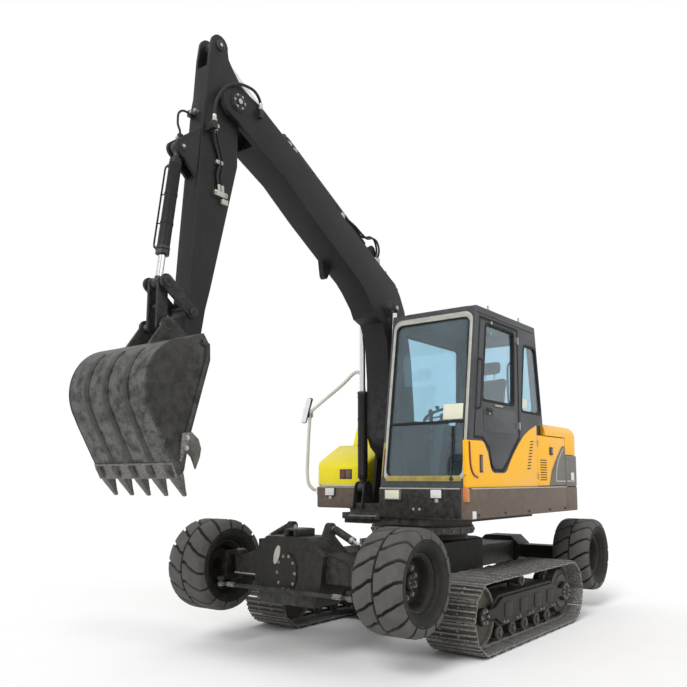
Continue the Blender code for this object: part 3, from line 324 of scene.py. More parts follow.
@dataclass(frozen=True)
class Finish:
    """One surface finish, with the detail that its nodes draw.

    Attributes:
        name: The material's name.
        slot: The record's material slot that it belongs to; not used.
        colour: Main colour.
        shade: Colour of its darker or dirtier patches.
        kind: Layout of its nodes.
        roughness: Mean roughness.
        metallic: Metallic value.
        mottle: Patches a metre in its colour.
        grain: Bumps a metre in its surface.
        depth: Depth of those bumps, in metres.
        dust: Share of pale dust, most on faces that look up.
        wear: Share of lighter convex edge, partly bare metal rubbed through and partly a painted highlight.
        alpha: Cover of a clear finish.
    """

    name: str
    slot: str
    colour: Colour
    shade: Colour
    kind: Kind = Kind.PAINT
    roughness: float = 0.45
    metallic: float = 0.0
    mottle: float = 3.0
    grain: float = 260.0
    depth: float = 0.0003
    dust: float = 0.15
    wear: float = 0.35
    alpha: float = 1.0

    DUST = (0.3, 0.27, 0.22)
    # Colour of the lighter convex edges: bare rubbed metal, and also a painted highlight.
    BARE = (0.36, 0.36, 0.36)

    def material(self) -> bpy.types.Material:
        """The finish's material, made the first time that it is asked for.

        Returns:
            The material.
        """
        made = bpy.data.materials.get(f"{self.name}_finish")
        if made is not None:
            return made
        made = bpy.data.materials.new(f"{self.name}_finish")
        made.use_nodes = True
        shader = made.node_tree.nodes["Principled BSDF"]
        nodes = Nodes(made.node_tree)
        place = nodes.add("ShaderNodeTexCoord").outputs["Object"]
        shader.inputs["Roughness"].default_value = self.roughness
        shader.inputs["Metallic"].default_value = self.metallic
        if self.metallic == 0.0:
            shader.inputs["Specular IOR Level"].default_value = 0.22
        drawers: dict[Kind, Callable[[Nodes, bpy.types.Node, bpy.types.NodeSocket],
            None]] = {Kind.PAINT: self.draw_hard, Kind.METAL: self.draw_hard, Kind.PLASTIC: self.draw_hard,
            Kind.RUBBER: self.draw_rubber, Kind.CLOTH: self.draw_cloth, Kind.GLASS: self.draw_glass,
            Kind.LAMP: self.draw_lamp,}
        drawers[self.kind](nodes, shader, place)
        made.diffuse_color = (*self.colour, 1.0)
        return made

    def bump(self, nodes: Nodes, shader: bpy.types.Node, height: bpy.types.NodeSocket) -> None:
        """Raises the surface by a height.

        Args:
            nodes: The material's nodes.
            shader: The surface shader.
            height: Height from 0 to 1, times the finish's depth.
        """
        node = nodes.add("ShaderNodeBump", Strength=1.0, Distance=self.depth)
        nodes.link(height, node.inputs["Height"])
        nodes.link(node.outputs["Normal"], shader.inputs["Normal"])

    def draw_hard(self, nodes: Nodes, shader: bpy.types.Node, place: bpy.types.NodeSocket) -> None:
        """Paint, metal or plastic: mottled colour, dust on top, lighter edges that are partly bare metal
        and partly a painted highlight, and a fine grain.

        Args:
            nodes: The material's nodes.
            shader: The surface shader.
            place: Object coordinates.
        """
        patches = nodes.noise(place, self.mottle, 5.0, 0.6)
        colour = nodes.mix(nodes.ramp(patches, 0.28, 0.78), self.colour, self.shade)
        streaks = nodes.noise(place, self.mottle * 7.0, 4.0, 0.7)
        geometry = nodes.add("ShaderNodeNewGeometry")
        upright = nodes.add("ShaderNodeSeparateXYZ")
        nodes.link(geometry.outputs["Normal"], upright.inputs["Vector"])
        facing_up = nodes.ramp(upright.outputs["Z"], -0.2, 1.0, 0.35, 1.0)
        dust = nodes.product(nodes.product(nodes.ramp(streaks, 0.42, 0.75), facing_up), self.dust)
        colour = nodes.mix(dust, colour, self.DUST)
        # Convex edges, found by pointiness, turn lighter: partly bare rubbed metal, partly a painted edge
        # highlight.
        if self.wear > 0:
            edge = nodes.ramp(geometry.outputs["Pointiness"], 0.52, 0.6)
            worn_and_highlit_edge = nodes.product(nodes.product(edge, nodes.ramp(streaks, 0.35, 0.6)), self.wear)
            colour = nodes.mix(worn_and_highlit_edge, colour, self.BARE)
        nodes.link(colour, shader.inputs["Base Color"])
        rough = nodes.ramp(streaks, 0.3, 0.7, self.roughness * 0.85, min(1.0, self.roughness * 1.25))
        nodes.link(rough, shader.inputs["Roughness"])
        self.bump(nodes, shader, nodes.noise(place, self.grain, 2.0))

    def draw_rubber(self, nodes: Nodes, shader: bpy.types.Node, place: bpy.types.NodeSocket) -> None:
        """Rubber: dull, with dried mud in its hollows and a fine pebble grain.

        Args:
            nodes: The material's nodes.
            shader: The surface shader.
            place: Object coordinates.
        """
        patches = nodes.noise(place, self.mottle, 6.0, 0.65)
        colour = nodes.mix(nodes.ramp(patches, 0.35, 0.7), self.colour, self.shade)
        geometry = nodes.add("ShaderNodeNewGeometry")
        hollow = nodes.ramp(geometry.outputs["Pointiness"], 0.5, 0.44)
        mud = nodes.product(nodes.product(hollow, nodes.ramp(patches, 0.4, 0.65)), self.dust)
        nodes.link(nodes.mix(mud, colour, self.DUST), shader.inputs["Base Color"])
        nodes.link(nodes.ramp(patches, 0.3, 0.7, self.roughness * 0.9, min(1.0, self.roughness * 1.1)),
            shader.inputs["Roughness"])
        pebbles = nodes.add("ShaderNodeTexVoronoi", Scale=self.grain)
        nodes.link(place, pebbles.inputs["Vector"])
        self.bump(nodes, shader, pebbles.outputs["Distance"])

    def draw_cloth(self, nodes: Nodes, shader: bpy.types.Node, place: bpy.types.NodeSocket) -> None:
        """Cloth: a plain weave of two thread directions, with sheen and faded patches.

        Args:
            nodes: The material's nodes.
            shader: The surface shader.
            place: Object coordinates.
        """
        threads = []
        for turn in (45.0, -45.0):
            lay = nodes.add("ShaderNodeMapping")
            lay.inputs["Rotation"].default_value = (radians(turn), 0.0, radians(turn))
            nodes.link(place, lay.inputs["Vector"])
            wave = nodes.add("ShaderNodeTexWave", Scale=self.grain, Distortion=0.6, Detail=1.0)
            nodes.link(lay.outputs["Vector"], wave.inputs["Vector"])
            threads.append(wave.outputs["Fac"])
        weave = nodes.product(threads[0], threads[1])
        faded = nodes.noise(place, self.mottle, 4.0)
        colour = nodes.mix(nodes.ramp(weave, 0.0, 0.8), self.shade, self.colour)
        colour = nodes.mix(nodes.ramp(faded, 0.5, 0.8, 0.0, 0.25), colour, self.DUST)
        nodes.link(colour, shader.inputs["Base Color"])
        shader.inputs["Sheen Weight"].default_value = 0.35
        self.bump(nodes, shader, weave)

    def draw_glass(self, nodes: Nodes, shader: bpy.types.Node, place: bpy.types.NodeSocket) -> None:
        """Tinted glass: clear cover with a faint film of dust and a smooth gloss.

        Args:
            nodes: The material's nodes.
            shader: The surface shader.
            place: Object coordinates.
        """
        film = nodes.noise(place, self.mottle, 5.0, 0.7)
        nodes.link(nodes.mix(nodes.ramp(film, 0.4, 0.8), self.colour, self.shade),
            shader.inputs["Base Color"])
        nodes.link(nodes.ramp(film, 0.4, 0.8, self.alpha, self.alpha - self.dust),
            shader.inputs["Transmission Weight"])
        shader.inputs["Specular IOR Level"].default_value = 0.25
        nodes.link(nodes.ramp(film, 0.3, 0.8, self.roughness * 0.4, self.roughness),
            shader.inputs["Roughness"])

    def draw_lamp(self, nodes: Nodes, shader: bpy.types.Node, place: bpy.types.NodeSocket) -> None:
        """A lamp's lens: ribs of moulded plastic over a bright reflector.

        Args:
            nodes: The material's nodes.
            shader: The surface shader.
            place: Object coordinates.
        """
        ribs = nodes.add("ShaderNodeTexWave", Scale=self.grain, Distortion=0.0)
        nodes.link(place, ribs.inputs["Vector"])
        nodes.link(nodes.mix(nodes.ramp(ribs.outputs["Fac"], 0.3, 0.7), self.shade, self.colour),
            shader.inputs["Base Color"])
        shader.inputs["Coat Weight"].default_value = 0.8
        self.bump(nodes, shader, ribs.outputs["Fac"])


CHARCOAL = Finish("charcoal_paint", "charcoal_paint", (0.015, 0.013, 0.014), (0.008, 0.007, 0.008),
    roughness=0.42, dust=0.05, wear=0.2)
BUCKET = Finish("bucket_paint", "bucket_paint", (0.02, 0.019, 0.015), (0.014, 0.013, 0.01), roughness=0.45,
    mottle=2.0, dust=0.06, wear=0.3, depth=0.0008, grain=120.0)
TOOTH = Finish("tooth_steel", "bucket_paint", (0.1, 0.095, 0.085), (0.045, 0.038, 0.03), Kind.METAL, 0.45,
    0.7, mottle=12.0, grain=150.0, depth=0.0008, dust=0.2, wear=0.8)
CAB = Finish("cab_paint", "cab_paint", (0.058, 0.062, 0.067), (0.042, 0.045, 0.05), roughness=0.42,
    dust=0.12, wear=0.2)
AMBER = Finish("amber_paint", "yellow_paint", (0.93, 0.47, 0.008), (0.91, 0.45, 0.008), roughness=0.28,
    dust=0.02, wear=0.12, depth=0.0002)
LEMON = Finish("lemon_paint", "lemon_paint", (0.9, 0.79, 0.014), (0.86, 0.7, 0.012), roughness=0.32,
    dust=0.08, wear=0.12, depth=0.0002)
SKIRT = Finish("skirt_paint", "skirt_paint", (0.125, 0.088, 0.062), (0.09, 0.064, 0.046), roughness=0.5,
    dust=0.22, wear=0.25)
CHASSIS = Finish("chassis_paint", "chassis_paint", (0.012, 0.011, 0.01), (0.016, 0.014, 0.012),
    roughness=0.5, dust=0.05, wear=0.1, mottle=3.0)
TRACK = Finish("track_steel", "track_steel", (0.095, 0.088, 0.078), (0.045, 0.036, 0.028), Kind.METAL, 0.6,
    0.55, mottle=9.0, grain=140.0, depth=0.0009, dust=0.35, wear=0.9)
ROLLER = Finish("roller_steel", "chassis_paint", (0.045, 0.041, 0.036), (0.08, 0.06, 0.042), Kind.METAL,
    0.55, 0.4, mottle=8.0, dust=0.3, wear=0.6)
TYRE = Finish("tyre_rubber", "tyre_rubber", (0.012, 0.012, 0.012), (0.024, 0.022, 0.02), Kind.RUBBER, 0.78,
    mottle=6.0, grain=420.0, depth=0.0006, dust=0.45)
TREAD = Finish("tread_rubber", "tyre_rubber", (0.075, 0.073, 0.07), (0.11, 0.105, 0.095), Kind.RUBBER, 0.85,
    mottle=9.0, grain=300.0, depth=0.0008, dust=0.8)
CHROME = Finish("chrome", "chrome", (0.72, 0.73, 0.74), (0.6, 0.6, 0.58), Kind.METAL, 0.14, 1.0,
    mottle=20.0, grain=900.0, depth=0.00003, dust=0.04, wear=0.0)
ZINC = Finish("zinc_plate", "chrome", (0.5, 0.49, 0.44), (0.36, 0.34, 0.3), Kind.METAL, 0.35, 0.9,
    mottle=30.0, dust=0.2, wear=0.4)
GLASS = Finish("tinted_glass", "glass", (0.6, 0.8, 0.9), (0.56, 0.78, 0.88), Kind.GLASS, 0.02, mottle=2.0,
    dust=0.04, alpha=0.97)
MIRROR_GLASS = Finish("mirror_glass", "chrome", (0.8, 0.82, 0.84), (0.7, 0.72, 0.74), Kind.METAL, 0.04, 1.0,
    mottle=6.0, grain=20.0, depth=0.00001, dust=0.02, wear=0.0)
WHITE = Finish("white_paint", "white_paint", (0.78, 0.77, 0.72), (0.62, 0.6, 0.54), roughness=0.35,
    dust=0.2, wear=0.25)
STICKER = Finish("blank_label", "white_paint", (0.74, 0.74, 0.6), (0.68, 0.68, 0.54), Kind.PLASTIC, 0.5,
    mottle=8.0, dust=0.1, wear=0.0)
PLASTIC = Finish("grained_plastic", "black_plastic", (0.018, 0.018, 0.02), (0.03, 0.03, 0.032),
    Kind.PLASTIC, 0.55, mottle=5.0, grain=900.0, depth=0.0004, dust=0.15, wear=0.1)
TRIM = Finish("interior_trim", "black_plastic", (0.075, 0.08, 0.085), (0.055, 0.06, 0.064), Kind.PLASTIC,
    0.6, mottle=5.0, grain=700.0, depth=0.0004, dust=0.1, wear=0.1)
SEAL = Finish("seal_rubber", "hose_rubber", (0.012, 0.012, 0.013), (0.022, 0.022, 0.022), Kind.RUBBER, 0.7,
    mottle=15.0, grain=500.0, depth=0.0002, dust=0.3)
HOSE = Finish("hose_rubber", "hose_rubber", (0.016, 0.016, 0.016), (0.034, 0.032, 0.03), Kind.RUBBER, 0.6,
    mottle=25.0, grain=600.0, depth=0.0004, dust=0.4)
SEAT = Finish("seat_cloth", "seat_fabric", (0.085, 0.095, 0.105), (0.02, 0.022, 0.026), Kind.CLOTH, 0.9,
    mottle=6.0, grain=110.0, depth=0.0007)
IRON = Finish("cast_iron", "engine_iron", (0.14, 0.135, 0.13), (0.08, 0.075, 0.07), Kind.METAL, 0.6, 0.5,
    mottle=8.0, grain=90.0, depth=0.001, dust=0.3, wear=0.4)
PALE = Finish("pale_border", "white_paint", (0.5, 0.5, 0.44), (0.34, 0.34, 0.3), Kind.METAL, 0.4, 0.3,
    mottle=12.0, dust=0.15, wear=0.2)
GOLD = Finish("gold_trim", "yellow_paint", (0.45, 0.36, 0.05), (0.22, 0.17, 0.03), Kind.METAL, 0.35, 0.5,
    mottle=14.0, dust=0.15, wear=0.3)
WINE = Finish("red_reflector", "black_plastic", (0.2, 0.012, 0.008), (0.1, 0.006, 0.004), Kind.LAMP, 0.2,
    grain=160.0, depth=0.0004)
CLEAR_LAMP = Finish("clear_lamp", "white_paint", (0.85, 0.84, 0.8), (0.62, 0.61, 0.58), Kind.LAMP, 0.15,
    grain=90.0, depth=0.0006)
AMBER_LAMP = Finish("amber_lamp", "yellow_paint", (0.72, 0.24, 0.06), (0.5, 0.14, 0.03), Kind.LAMP, 0.15,
    grain=90.0, depth=0.0006)


# ---------------------------------------------------------------- shapes
def soft_shading(mesh: bpy.types.Mesh, angle: float = 35.0) -> None:
    """Shades a mesh smooth, with its edges sharper than the angle kept hard."""
    mesh.polygons.foreach_set("use_smooth", [True] * len(mesh.polygons))
    mesh.set_sharp_from_angle(angle=radians(angle))


def show(mesh: bpy.types.Mesh, name: str, body: str, stands_for: Sequence[str] = (),
        bevel: float = 0.0, segments: int = 2) -> bpy.types.Object:
    """Puts a mesh in the scene as a finished piece.

    Args:
        mesh: The mesh, in the frame's place.
        name: The piece's name.
        body: The body that it rides on.
        stands_for: CAD nodes that it replaces.
        bevel: Width of a bevel on its sharp edges.
        segments: Steps in that bevel.

    Returns:
        The object.
    """
    mesh.name = name
    piece = bpy.data.objects.new(name, mesh)
    bpy.context.scene.collection.objects.link(piece)
    soft_shading(mesh)
    if bevel > 0:
        rounding = piece.modifiers.new("rounding", "BEVEL")
        rounding.width = bevel
        rounding.segments = segments
        rounding.limit_method = "ANGLE"
        rounding.angle_limit = radians(35)
        rounding.harden_normals = True
    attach(piece, body)
    if stands_for:
        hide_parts(*stands_for)
    return piece


class Shape:
    """Closed bodies gathered in one mesh, each with its own finish."""

    def __init__(self, finish: Finish, centre_x: float = 0.0) -> None:
        """Starts an empty shape.

        Args:
            finish: The finish of what is added, until another is named.
            centre_x: Added to every x.
        """
        self.mesh = bmesh.new()
        self.finish = finish
        self.finishes: list[Finish] = []
        self.centre_x = centre_x

    def close(self, faces: Sequence[bmesh.types.BMFace], finish: Finish | None, bevel: float,
            segments: int = 2) -> None:
        """Turns new faces outward, rounds their edges and gives them a finish.

        Args:
            faces: The faces of one closed body.
            finish: Their finish, or None for the shape's own.
            bevel: Width of the rounding on its sharp edges.
            segments: Steps in the rounding.
        """
        used = finish or self.finish
        if used not in self.finishes:
            self.finishes.append(used)
        bmesh.ops.recalc_face_normals(self.mesh, faces=faces)
        for face in faces:
            face.material_index = self.finishes.index(used)
        if bevel <= 0:
            return
        edges = {edge for face in faces for edge in face.edges if len(edge.link_faces) == 2
            and edge.calc_face_angle(0.0) > radians(35)}
        bmesh.ops.bevel(self.mesh, geom=list(edges), offset=bevel, segments=segments, profile=0.5,
            affect="EDGES", clamp_overlap=True, material=-1)

    def loft(self, rings: Sequence[Sequence[Vector]], finish: Finish | None = None, bevel: float = 0.0,
            loop: bool = False, segments: int = 2) -> "Shape":
        """A closed body through rings of as many points each.

        Args:
            rings: The rings, in order.
            finish: Its finish.
            bevel: Rounding of its sharp edges.
            loop: Whether the last ring joins the first, with no caps.
            segments: Steps in the rounding.

        Returns:
            The shape.
        """
        verts = [[self.mesh.verts.new((v[0] + self.centre_x, v[1], v[2])) for v in ring] for ring in rings]
        faces = []
        pairs = list(zip(verts, verts[1:])) + ([(verts[-1], verts[0])] if loop else [])
        for first, second in pairs:
            for i in range(len(first)):
                k = (i + 1) % len(first)
                faces.append(self.mesh.faces.new((first[i], first[k], second[k], second[i])))
        if not loop:
            faces.append(self.mesh.faces.new(verts[0]))
            faces.append(self.mesh.faces.new(verts[-1]))
        self.close(faces, finish, bevel, segments)
        return self

    def prism(self, outline: Outline, low: float, high: float, axis: Axis = Axis.X,
            finish: Finish | None = None, bevel: float = 0.0, segments: int = 2) -> "Shape":
        """An outline pushed from low to high along an axis, measured from the slew axis.

        Args:
            outline: Its points: (y, z), (x, z) or (x, y).
            low: Start of the push.
            high: End of the push.
            axis: The axis of the push.
            finish: Its finish.
            bevel: Rounding of its sharp edges.
            segments: Steps in the rounding.

        Returns:
            The shape.
        """
        rings = [[axis.place(point, depth) for point in outline] for depth in (low, high)]
        return self.loft(rings, finish, bevel, segments=segments)

    def block(self, x: Pair, y: Pair, z: Pair, finish: Finish | None = None, bevel: float = 0.002,
            segments: int = 2) -> "Shape":
        """A box with rounded edges, given by its ranges measured from the slew axis."""
        outline = [(y[0], z[0]), (y[1], z[0]), (y[1], z[1]), (y[0], z[1])]
        return self.prism(outline, x[0], x[1], Axis.X, finish, bevel, segments)

    def frame_ring(self, outer: Outline, inner: Outline, low: float, high: float, axis: Axis = Axis.X,
            finish: Finish | None = None, bevel: float = 0.0) -> "Shape":
        """A flat ring between two outlines of as many points, pushed along an axis.

        Args:
            outer: Its outer outline.
            inner: Its inner outline.
            low: Start of the push.
            high: End of the push.
            axis: The axis of the push.
            finish: Its finish.
            bevel: Rounding of its sharp edges.

        Returns:
            The shape.
        """
        rings = [[axis.place(p, depth) for p in outline] for outline, depth in ((outer, low), (outer, high),
            (inner, high), (inner, low))]
        return self.loft(rings, finish, bevel, loop=True)

    def turned(self, profile: Outline, centre: Point, along: Point = (1.0, 0.0, 0.0), steps: int = 32,
            finish: Finish | None = None, ring: bool = False) -> "Shape":
        """A profile turned about an axis.

        Args:
            profile: Points of (radius, distance along the axis); a radius of 0 closes a pole.
            centre: A point on the axis, measured from the slew axis.
            along: The axis's direction.
            steps: Number of sides.
            finish: Its finish.
            ring: Whether the profile closes on itself, with a hole in the middle.

        Returns:
            The shape.
        """
        direction = Vector(along).normalized()
        across = direction.orthogonal().normalized()
        third = direction.cross(across)
        middle = Vector((centre[0], centre[1] + SLEW_Y, centre[2]))
        angles = [2 * pi * i / steps for i in range(steps)]
        rings = [[middle + direction * d + (across * cos(a) + third * sin(a)) * r for a in angles] for r,
            d in profile if r > 0]
        self.loft(rings, finish, loop=ring)
        return self

    def rod(self, start: Point, end: Point, radius: float, finish: Finish | None = None, steps: int = 20,
            edge: float = 0.0015) -> "Shape":
        """A round bar with chamfered ends between two points, measured from the slew axis."""
        span = Vector(end) - Vector(start)
        profile = [(radius - edge, 0.0), (radius, edge), (radius, span.length - edge),
            (radius - edge, span.length)]
        return self.turned(profile, start, span, steps, finish)

    def tube(self, route: Sequence[Vector], radius: float, finish: Finish | None = None,
            steps: int = 12) -> "Shape":
        """A round tube along a route that is already in the frame, with rounded ends.

        Args:
            route: Its centre line.
            radius: Its radius.
            finish: Its finish.
            steps: Number of sides.

        Returns:
            The shape.
        """
        start, end = route[0], route[-1]
        first, last = (route[1] - start).normalized(), (end - route[-2]).normalized()
        points = [start, start + first * radius * 0.3, *route[1:-1], end - last * radius * 0.3, end]
        radii = [radius * 0.72, *[radius] * (len(points) - 2), radius * 0.72]
        side = (points[1] - points[0]).orthogonal().normalized()
        rings = []
        for i, point in enumerate(points):
            way = (points[min(i + 1, len(points) - 1)] - points[max(i - 1, 0)]).normalized()
            side = (side - way * side.dot(way)).normalized()
            other = way.cross(side)
            rings.append([point + (side * cos(a) + other * sin(a)) * radii[i]
                for a in (2 * pi * k / steps for k in range(steps))])
        return self.loft(rings, finish)

    def data(self) -> bpy.types.Mesh:
        """The shape as a mesh with its materials."""
        mesh = bpy.data.meshes.new("shape")
        self.mesh.to_mesh(mesh)
        self.mesh.free()
        for finish in self.finishes:
            mesh.materials.append(finish.material())
        return mesh

    def finish_piece(self, name: str, body: str, stands_for: Sequence[str] = (),
            slot: str = "") -> bpy.types.Object:
        """The shape as a finished piece.

        Args:
            name: The piece's name.
            body: The body that it rides on.
            stands_for: CAD nodes that it replaces.
            slot: Not used.

        Returns:
            The object.
        """
        return show(self.data(), name, body, stands_for)


def softened(node: str, finish: Finish, bevel: float = 0.006, angle: float = 35.0,
        segments: int = 3) -> bpy.types.Object:
    """A copy of a CAD node with rounded edges, shown in its place.

    Args:
        node: The node.
        finish: Its finish.
        bevel: Width of the rounding.
        angle: Least angle of an edge that is rounded.
        segments: Steps in the rounding.

    Returns:
        The piece.
    """
    builder = bmesh.new()
    builder.from_mesh(frame["nodes"][node].data)
    bmesh.ops.remove_doubles(builder, verts=builder.verts, dist=1e-5)
    bmesh.ops.dissolve_limit(builder, angle_limit=radians(1.0), verts=builder.verts, edges=builder.edges)
    sharp = [edge for edge in builder.edges if len(edge.link_faces) == 2
        and edge.calc_face_angle(0.0) > radians(angle)]
    bmesh.ops.bevel(builder, geom=sharp, offset=bevel, segments=segments, profile=0.5, affect="EDGES",
        clamp_overlap=True)
    bmesh.ops.triangulate(builder, faces=[face for face in builder.faces if len(face.verts) > 4])
    mesh = bpy.data.meshes.new(node)
    builder.to_mesh(mesh)
    builder.free()
    mesh.materials.append(finish.material())
    return show(mesh, f"{node}_skin", BODY_OF[node], [node])


# ---------------------------------------------------------------- repeated items
class Pattern:
    """A Geometry Nodes tree that repeats one item, with named inputs for its sizes."""

    def __init__(self, name: str, sizes: dict[str, float]) -> None:
        """Starts the tree with its sockets.

        Args:
            name: The tree's name.
            sizes: Each input's name and value.
        """
        self.tree = bpy.data.node_groups.new(name, "GeometryNodeTree")
        self.tree.is_modifier = True
        self.nodes = Nodes(self.tree)
        self.values = dict(sizes)
        self.identifiers: dict[str, str] = {}
        interface = self.tree.interface
        interface.new_socket("Geometry", in_out="INPUT", socket_type="NodeSocketGeometry")
        for size in sizes:
            made = interface.new_socket(size, in_out="INPUT", socket_type="NodeSocketFloat")
            self.identifiers[size] = made.identifier
        made = interface.new_socket("Finish", in_out="INPUT", socket_type="NodeSocketMaterial")
        self.identifiers["Finish"] = made.identifier
        interface.new_socket("Geometry", in_out="OUTPUT", socket_type="NodeSocketGeometry")
        self.inputs = self.nodes.add("NodeGroupInput").outputs
        self.output = self.nodes.add("NodeGroupOutput").inputs["Geometry"]

    def math(self, operation: str, first: object, second: object = 0.0) -> bpy.types.NodeSocket:
        """A math node's result.

        Args:
            operation: What it does.
            first: Its first value, a socket or a number.
            second: Its second value.

        Returns:
            The result's socket.
        """
        node = self.nodes.add("ShaderNodeMath", operation=operation)
        for socket, value in zip(node.inputs, (first, second)):
            if isinstance(value, bpy.types.NodeSocket):
                self.nodes.link(value, socket)
            else:
                socket.default_value = value
        return node.outputs[0]

    def vector(self, x: object = 0.0, y: object = 0.0, z: object = 0.0) -> bpy.types.NodeSocket:
        """A vector made of sockets or numbers."""
        node = self.nodes.add("ShaderNodeCombineXYZ")
        for socket, value in zip(node.inputs, (x, y, z)):
            if isinstance(value, bpy.types.NodeSocket):
                self.nodes.link(value, socket)
            else:
                socket.default_value = value
        return node.outputs[0]

    def end(self, instances: bpy.types.NodeSocket) -> None:
        """Ends the tree in Realize Instances and Set Material."""
        real = self.nodes.add("GeometryNodeRealizeInstances")
        self.nodes.link(instances, real.inputs["Geometry"])
        dressed = self.nodes.add("GeometryNodeSetMaterial")
        self.nodes.link(real.outputs[0], dressed.inputs["Geometry"])
        self.nodes.link(self.inputs["Finish"], dressed.inputs["Material"])
        self.nodes.link(dressed.outputs[0], self.output)

    def run(self, item: bpy.types.Mesh, finish: Finish) -> bpy.types.Mesh:
        """Repeats an item into a plain mesh.

        Args:
            item: The item's mesh, or the points that it is set on.
            finish: The finish of the result.

        Returns:
            The mesh.
        """
        carrier = bpy.data.objects.new("carrier", item)
        bpy.context.scene.collection.objects.link(carrier)
        modifier = carrier.modifiers.new("pattern", "NODES")
        modifier.node_group = self.tree
        for size, value in self.values.items():
            modifier[self.identifiers[size]] = value
        modifier[self.identifiers["Finish"]] = finish.material()
        graph = bpy.context.evaluated_depsgraph_get()
        mesh = bpy.data.meshes.new_from_object(carrier.evaluated_get(graph))
        carrier.modifiers.clear()
        bpy.data.objects.remove(carrier)
        return mesh


class Ring(Pattern):
    """Repeats an item round an axis parallel to x."""

    def __init__(self, count: int, centre: Pair, first: float = 0.0) -> None:
        """Lays out the tree.

        Args:
            count: Number of items.
            centre: The axis's (y, z), measured from the slew axis.
            first: Turn of the first item, in degrees.
        """
        super().__init__("ring", {"Count": float(count), "Axis y": centre[0] + SLEW_Y, "Axis z": centre[1],
            "First turn": radians(first)})
        points = self.nodes.add("GeometryNodeMeshLine")
        self.nodes.link(self.inputs["Count"], points.inputs["Count"])
        self.nodes.link(self.vector(), points.inputs["Offset"])
        back = self.nodes.add("GeometryNodeTransform")
        self.nodes.link(self.inputs["Geometry"], back.inputs["Geometry"])
        away = self.vector(0.0, self.math("MULTIPLY", self.inputs["Axis y"], -1.0),
            self.math("MULTIPLY", self.inputs["Axis z"], -1.0))
        self.nodes.link(away, back.inputs["Translation"])
        index = self.nodes.add("GeometryNodeInputIndex").outputs[0]
        step = self.math("DIVIDE", 2 * pi, self.inputs["Count"])
        turn = self.math("ADD", self.math("MULTIPLY", index, step), self.inputs["First turn"])
        spread = self.nodes.add("GeometryNodeInstanceOnPoints")
        self.nodes.link(points.outputs["Mesh"], spread.inputs["Points"])
        self.nodes.link(back.outputs[0], spread.inputs["Instance"])
        self.nodes.link(self.vector(turn), spread.inputs["Rotation"])
        forth = self.nodes.add("GeometryNodeTransform")
        self.nodes.link(spread.outputs[0], forth.inputs["Geometry"])
        self.nodes.link(self.vector(0.0, self.inputs["Axis y"], self.inputs["Axis z"]),
            forth.inputs["Translation"])
        self.end(forth.outputs[0])


class Row(Pattern):
    """Repeats an item in a straight row."""

    def __init__(self, count: int, step: Point) -> None:
        """Lays out the tree.

        Args:
            count: Number of items.
            step: From one item to the next.
        """
        super().__init__("row", {"Count": float(count), "Step x": step[0], "Step y": step[1],
            "Step z": step[2]})
        points = self.nodes.add("GeometryNodeMeshLine")
        self.nodes.link(self.inputs["Count"], points.inputs["Count"])
        self.nodes.link(self.vector(self.inputs["Step x"], self.inputs["Step y"], self.inputs["Step z"]),
            points.inputs["Offset"])
        spread = self.nodes.add("GeometryNodeInstanceOnPoints")
        self.nodes.link(points.outputs["Mesh"], spread.inputs["Points"])
        self.nodes.link(self.inputs["Geometry"], spread.inputs["Instance"])
        self.end(spread.outputs[0])


class Chain(Pattern):
    """Repeats an item along a closed loop in a plane of constant x, with its z turned outward."""

    def __init__(self, count: int, loop: Sequence[Vector]) -> None:
        """Lays out the tree.

        Args:
            count: Number of items.
            loop: The loop's points, in the frame.
        """
        super().__init__("chain", {"Count": float(count)})
        curve = bpy.data.curves.new("loop", "CURVE")
        curve.dimensions = "3D"
        spline = curve.splines.new("POLY")
        spline.points.add(len(loop) - 1)
        for point, place in zip(spline.points, loop):
            point.co = (*place, 1.0)
        spline.use_cyclic_u = True
        self.path = bpy.data.objects.new("loop", curve)
        bpy.context.scene.collection.objects.link(self.path)
        source = self.nodes.add("GeometryNodeObjectInfo", transform_space="RELATIVE")
        source.inputs["Object"].default_value = self.path
        points = self.nodes.add("GeometryNodeCurveToPoints", mode="COUNT")
        self.nodes.link(source.outputs["Geometry"], points.inputs["Curve"])
        self.nodes.link(self.inputs["Count"], points.inputs["Count"])
        turn = self.nodes.add("FunctionNodeAlignRotationToVector", axis="Y", pivot_axis="X")
        self.nodes.link(points.outputs["Tangent"], turn.inputs["Vector"])
        spread = self.nodes.add("GeometryNodeInstanceOnPoints")
        self.nodes.link(points.outputs["Points"], spread.inputs["Points"])
        self.nodes.link(self.inputs["Geometry"], spread.inputs["Instance"])
        self.nodes.link(turn.outputs["Rotation"], spread.inputs["Rotation"])
        self.end(spread.outputs[0])

    def run(self, item: bpy.types.Mesh, finish: Finish) -> bpy.types.Mesh:
        """Repeats an item along the loop, then drops the loop.

        Args:
            item: The item's mesh, about the origin.
            finish: The finish of the result.

        Returns:
            The mesh.
        """
        mesh = super().run(item, finish)
        bpy.data.objects.remove(self.path)
        return mesh


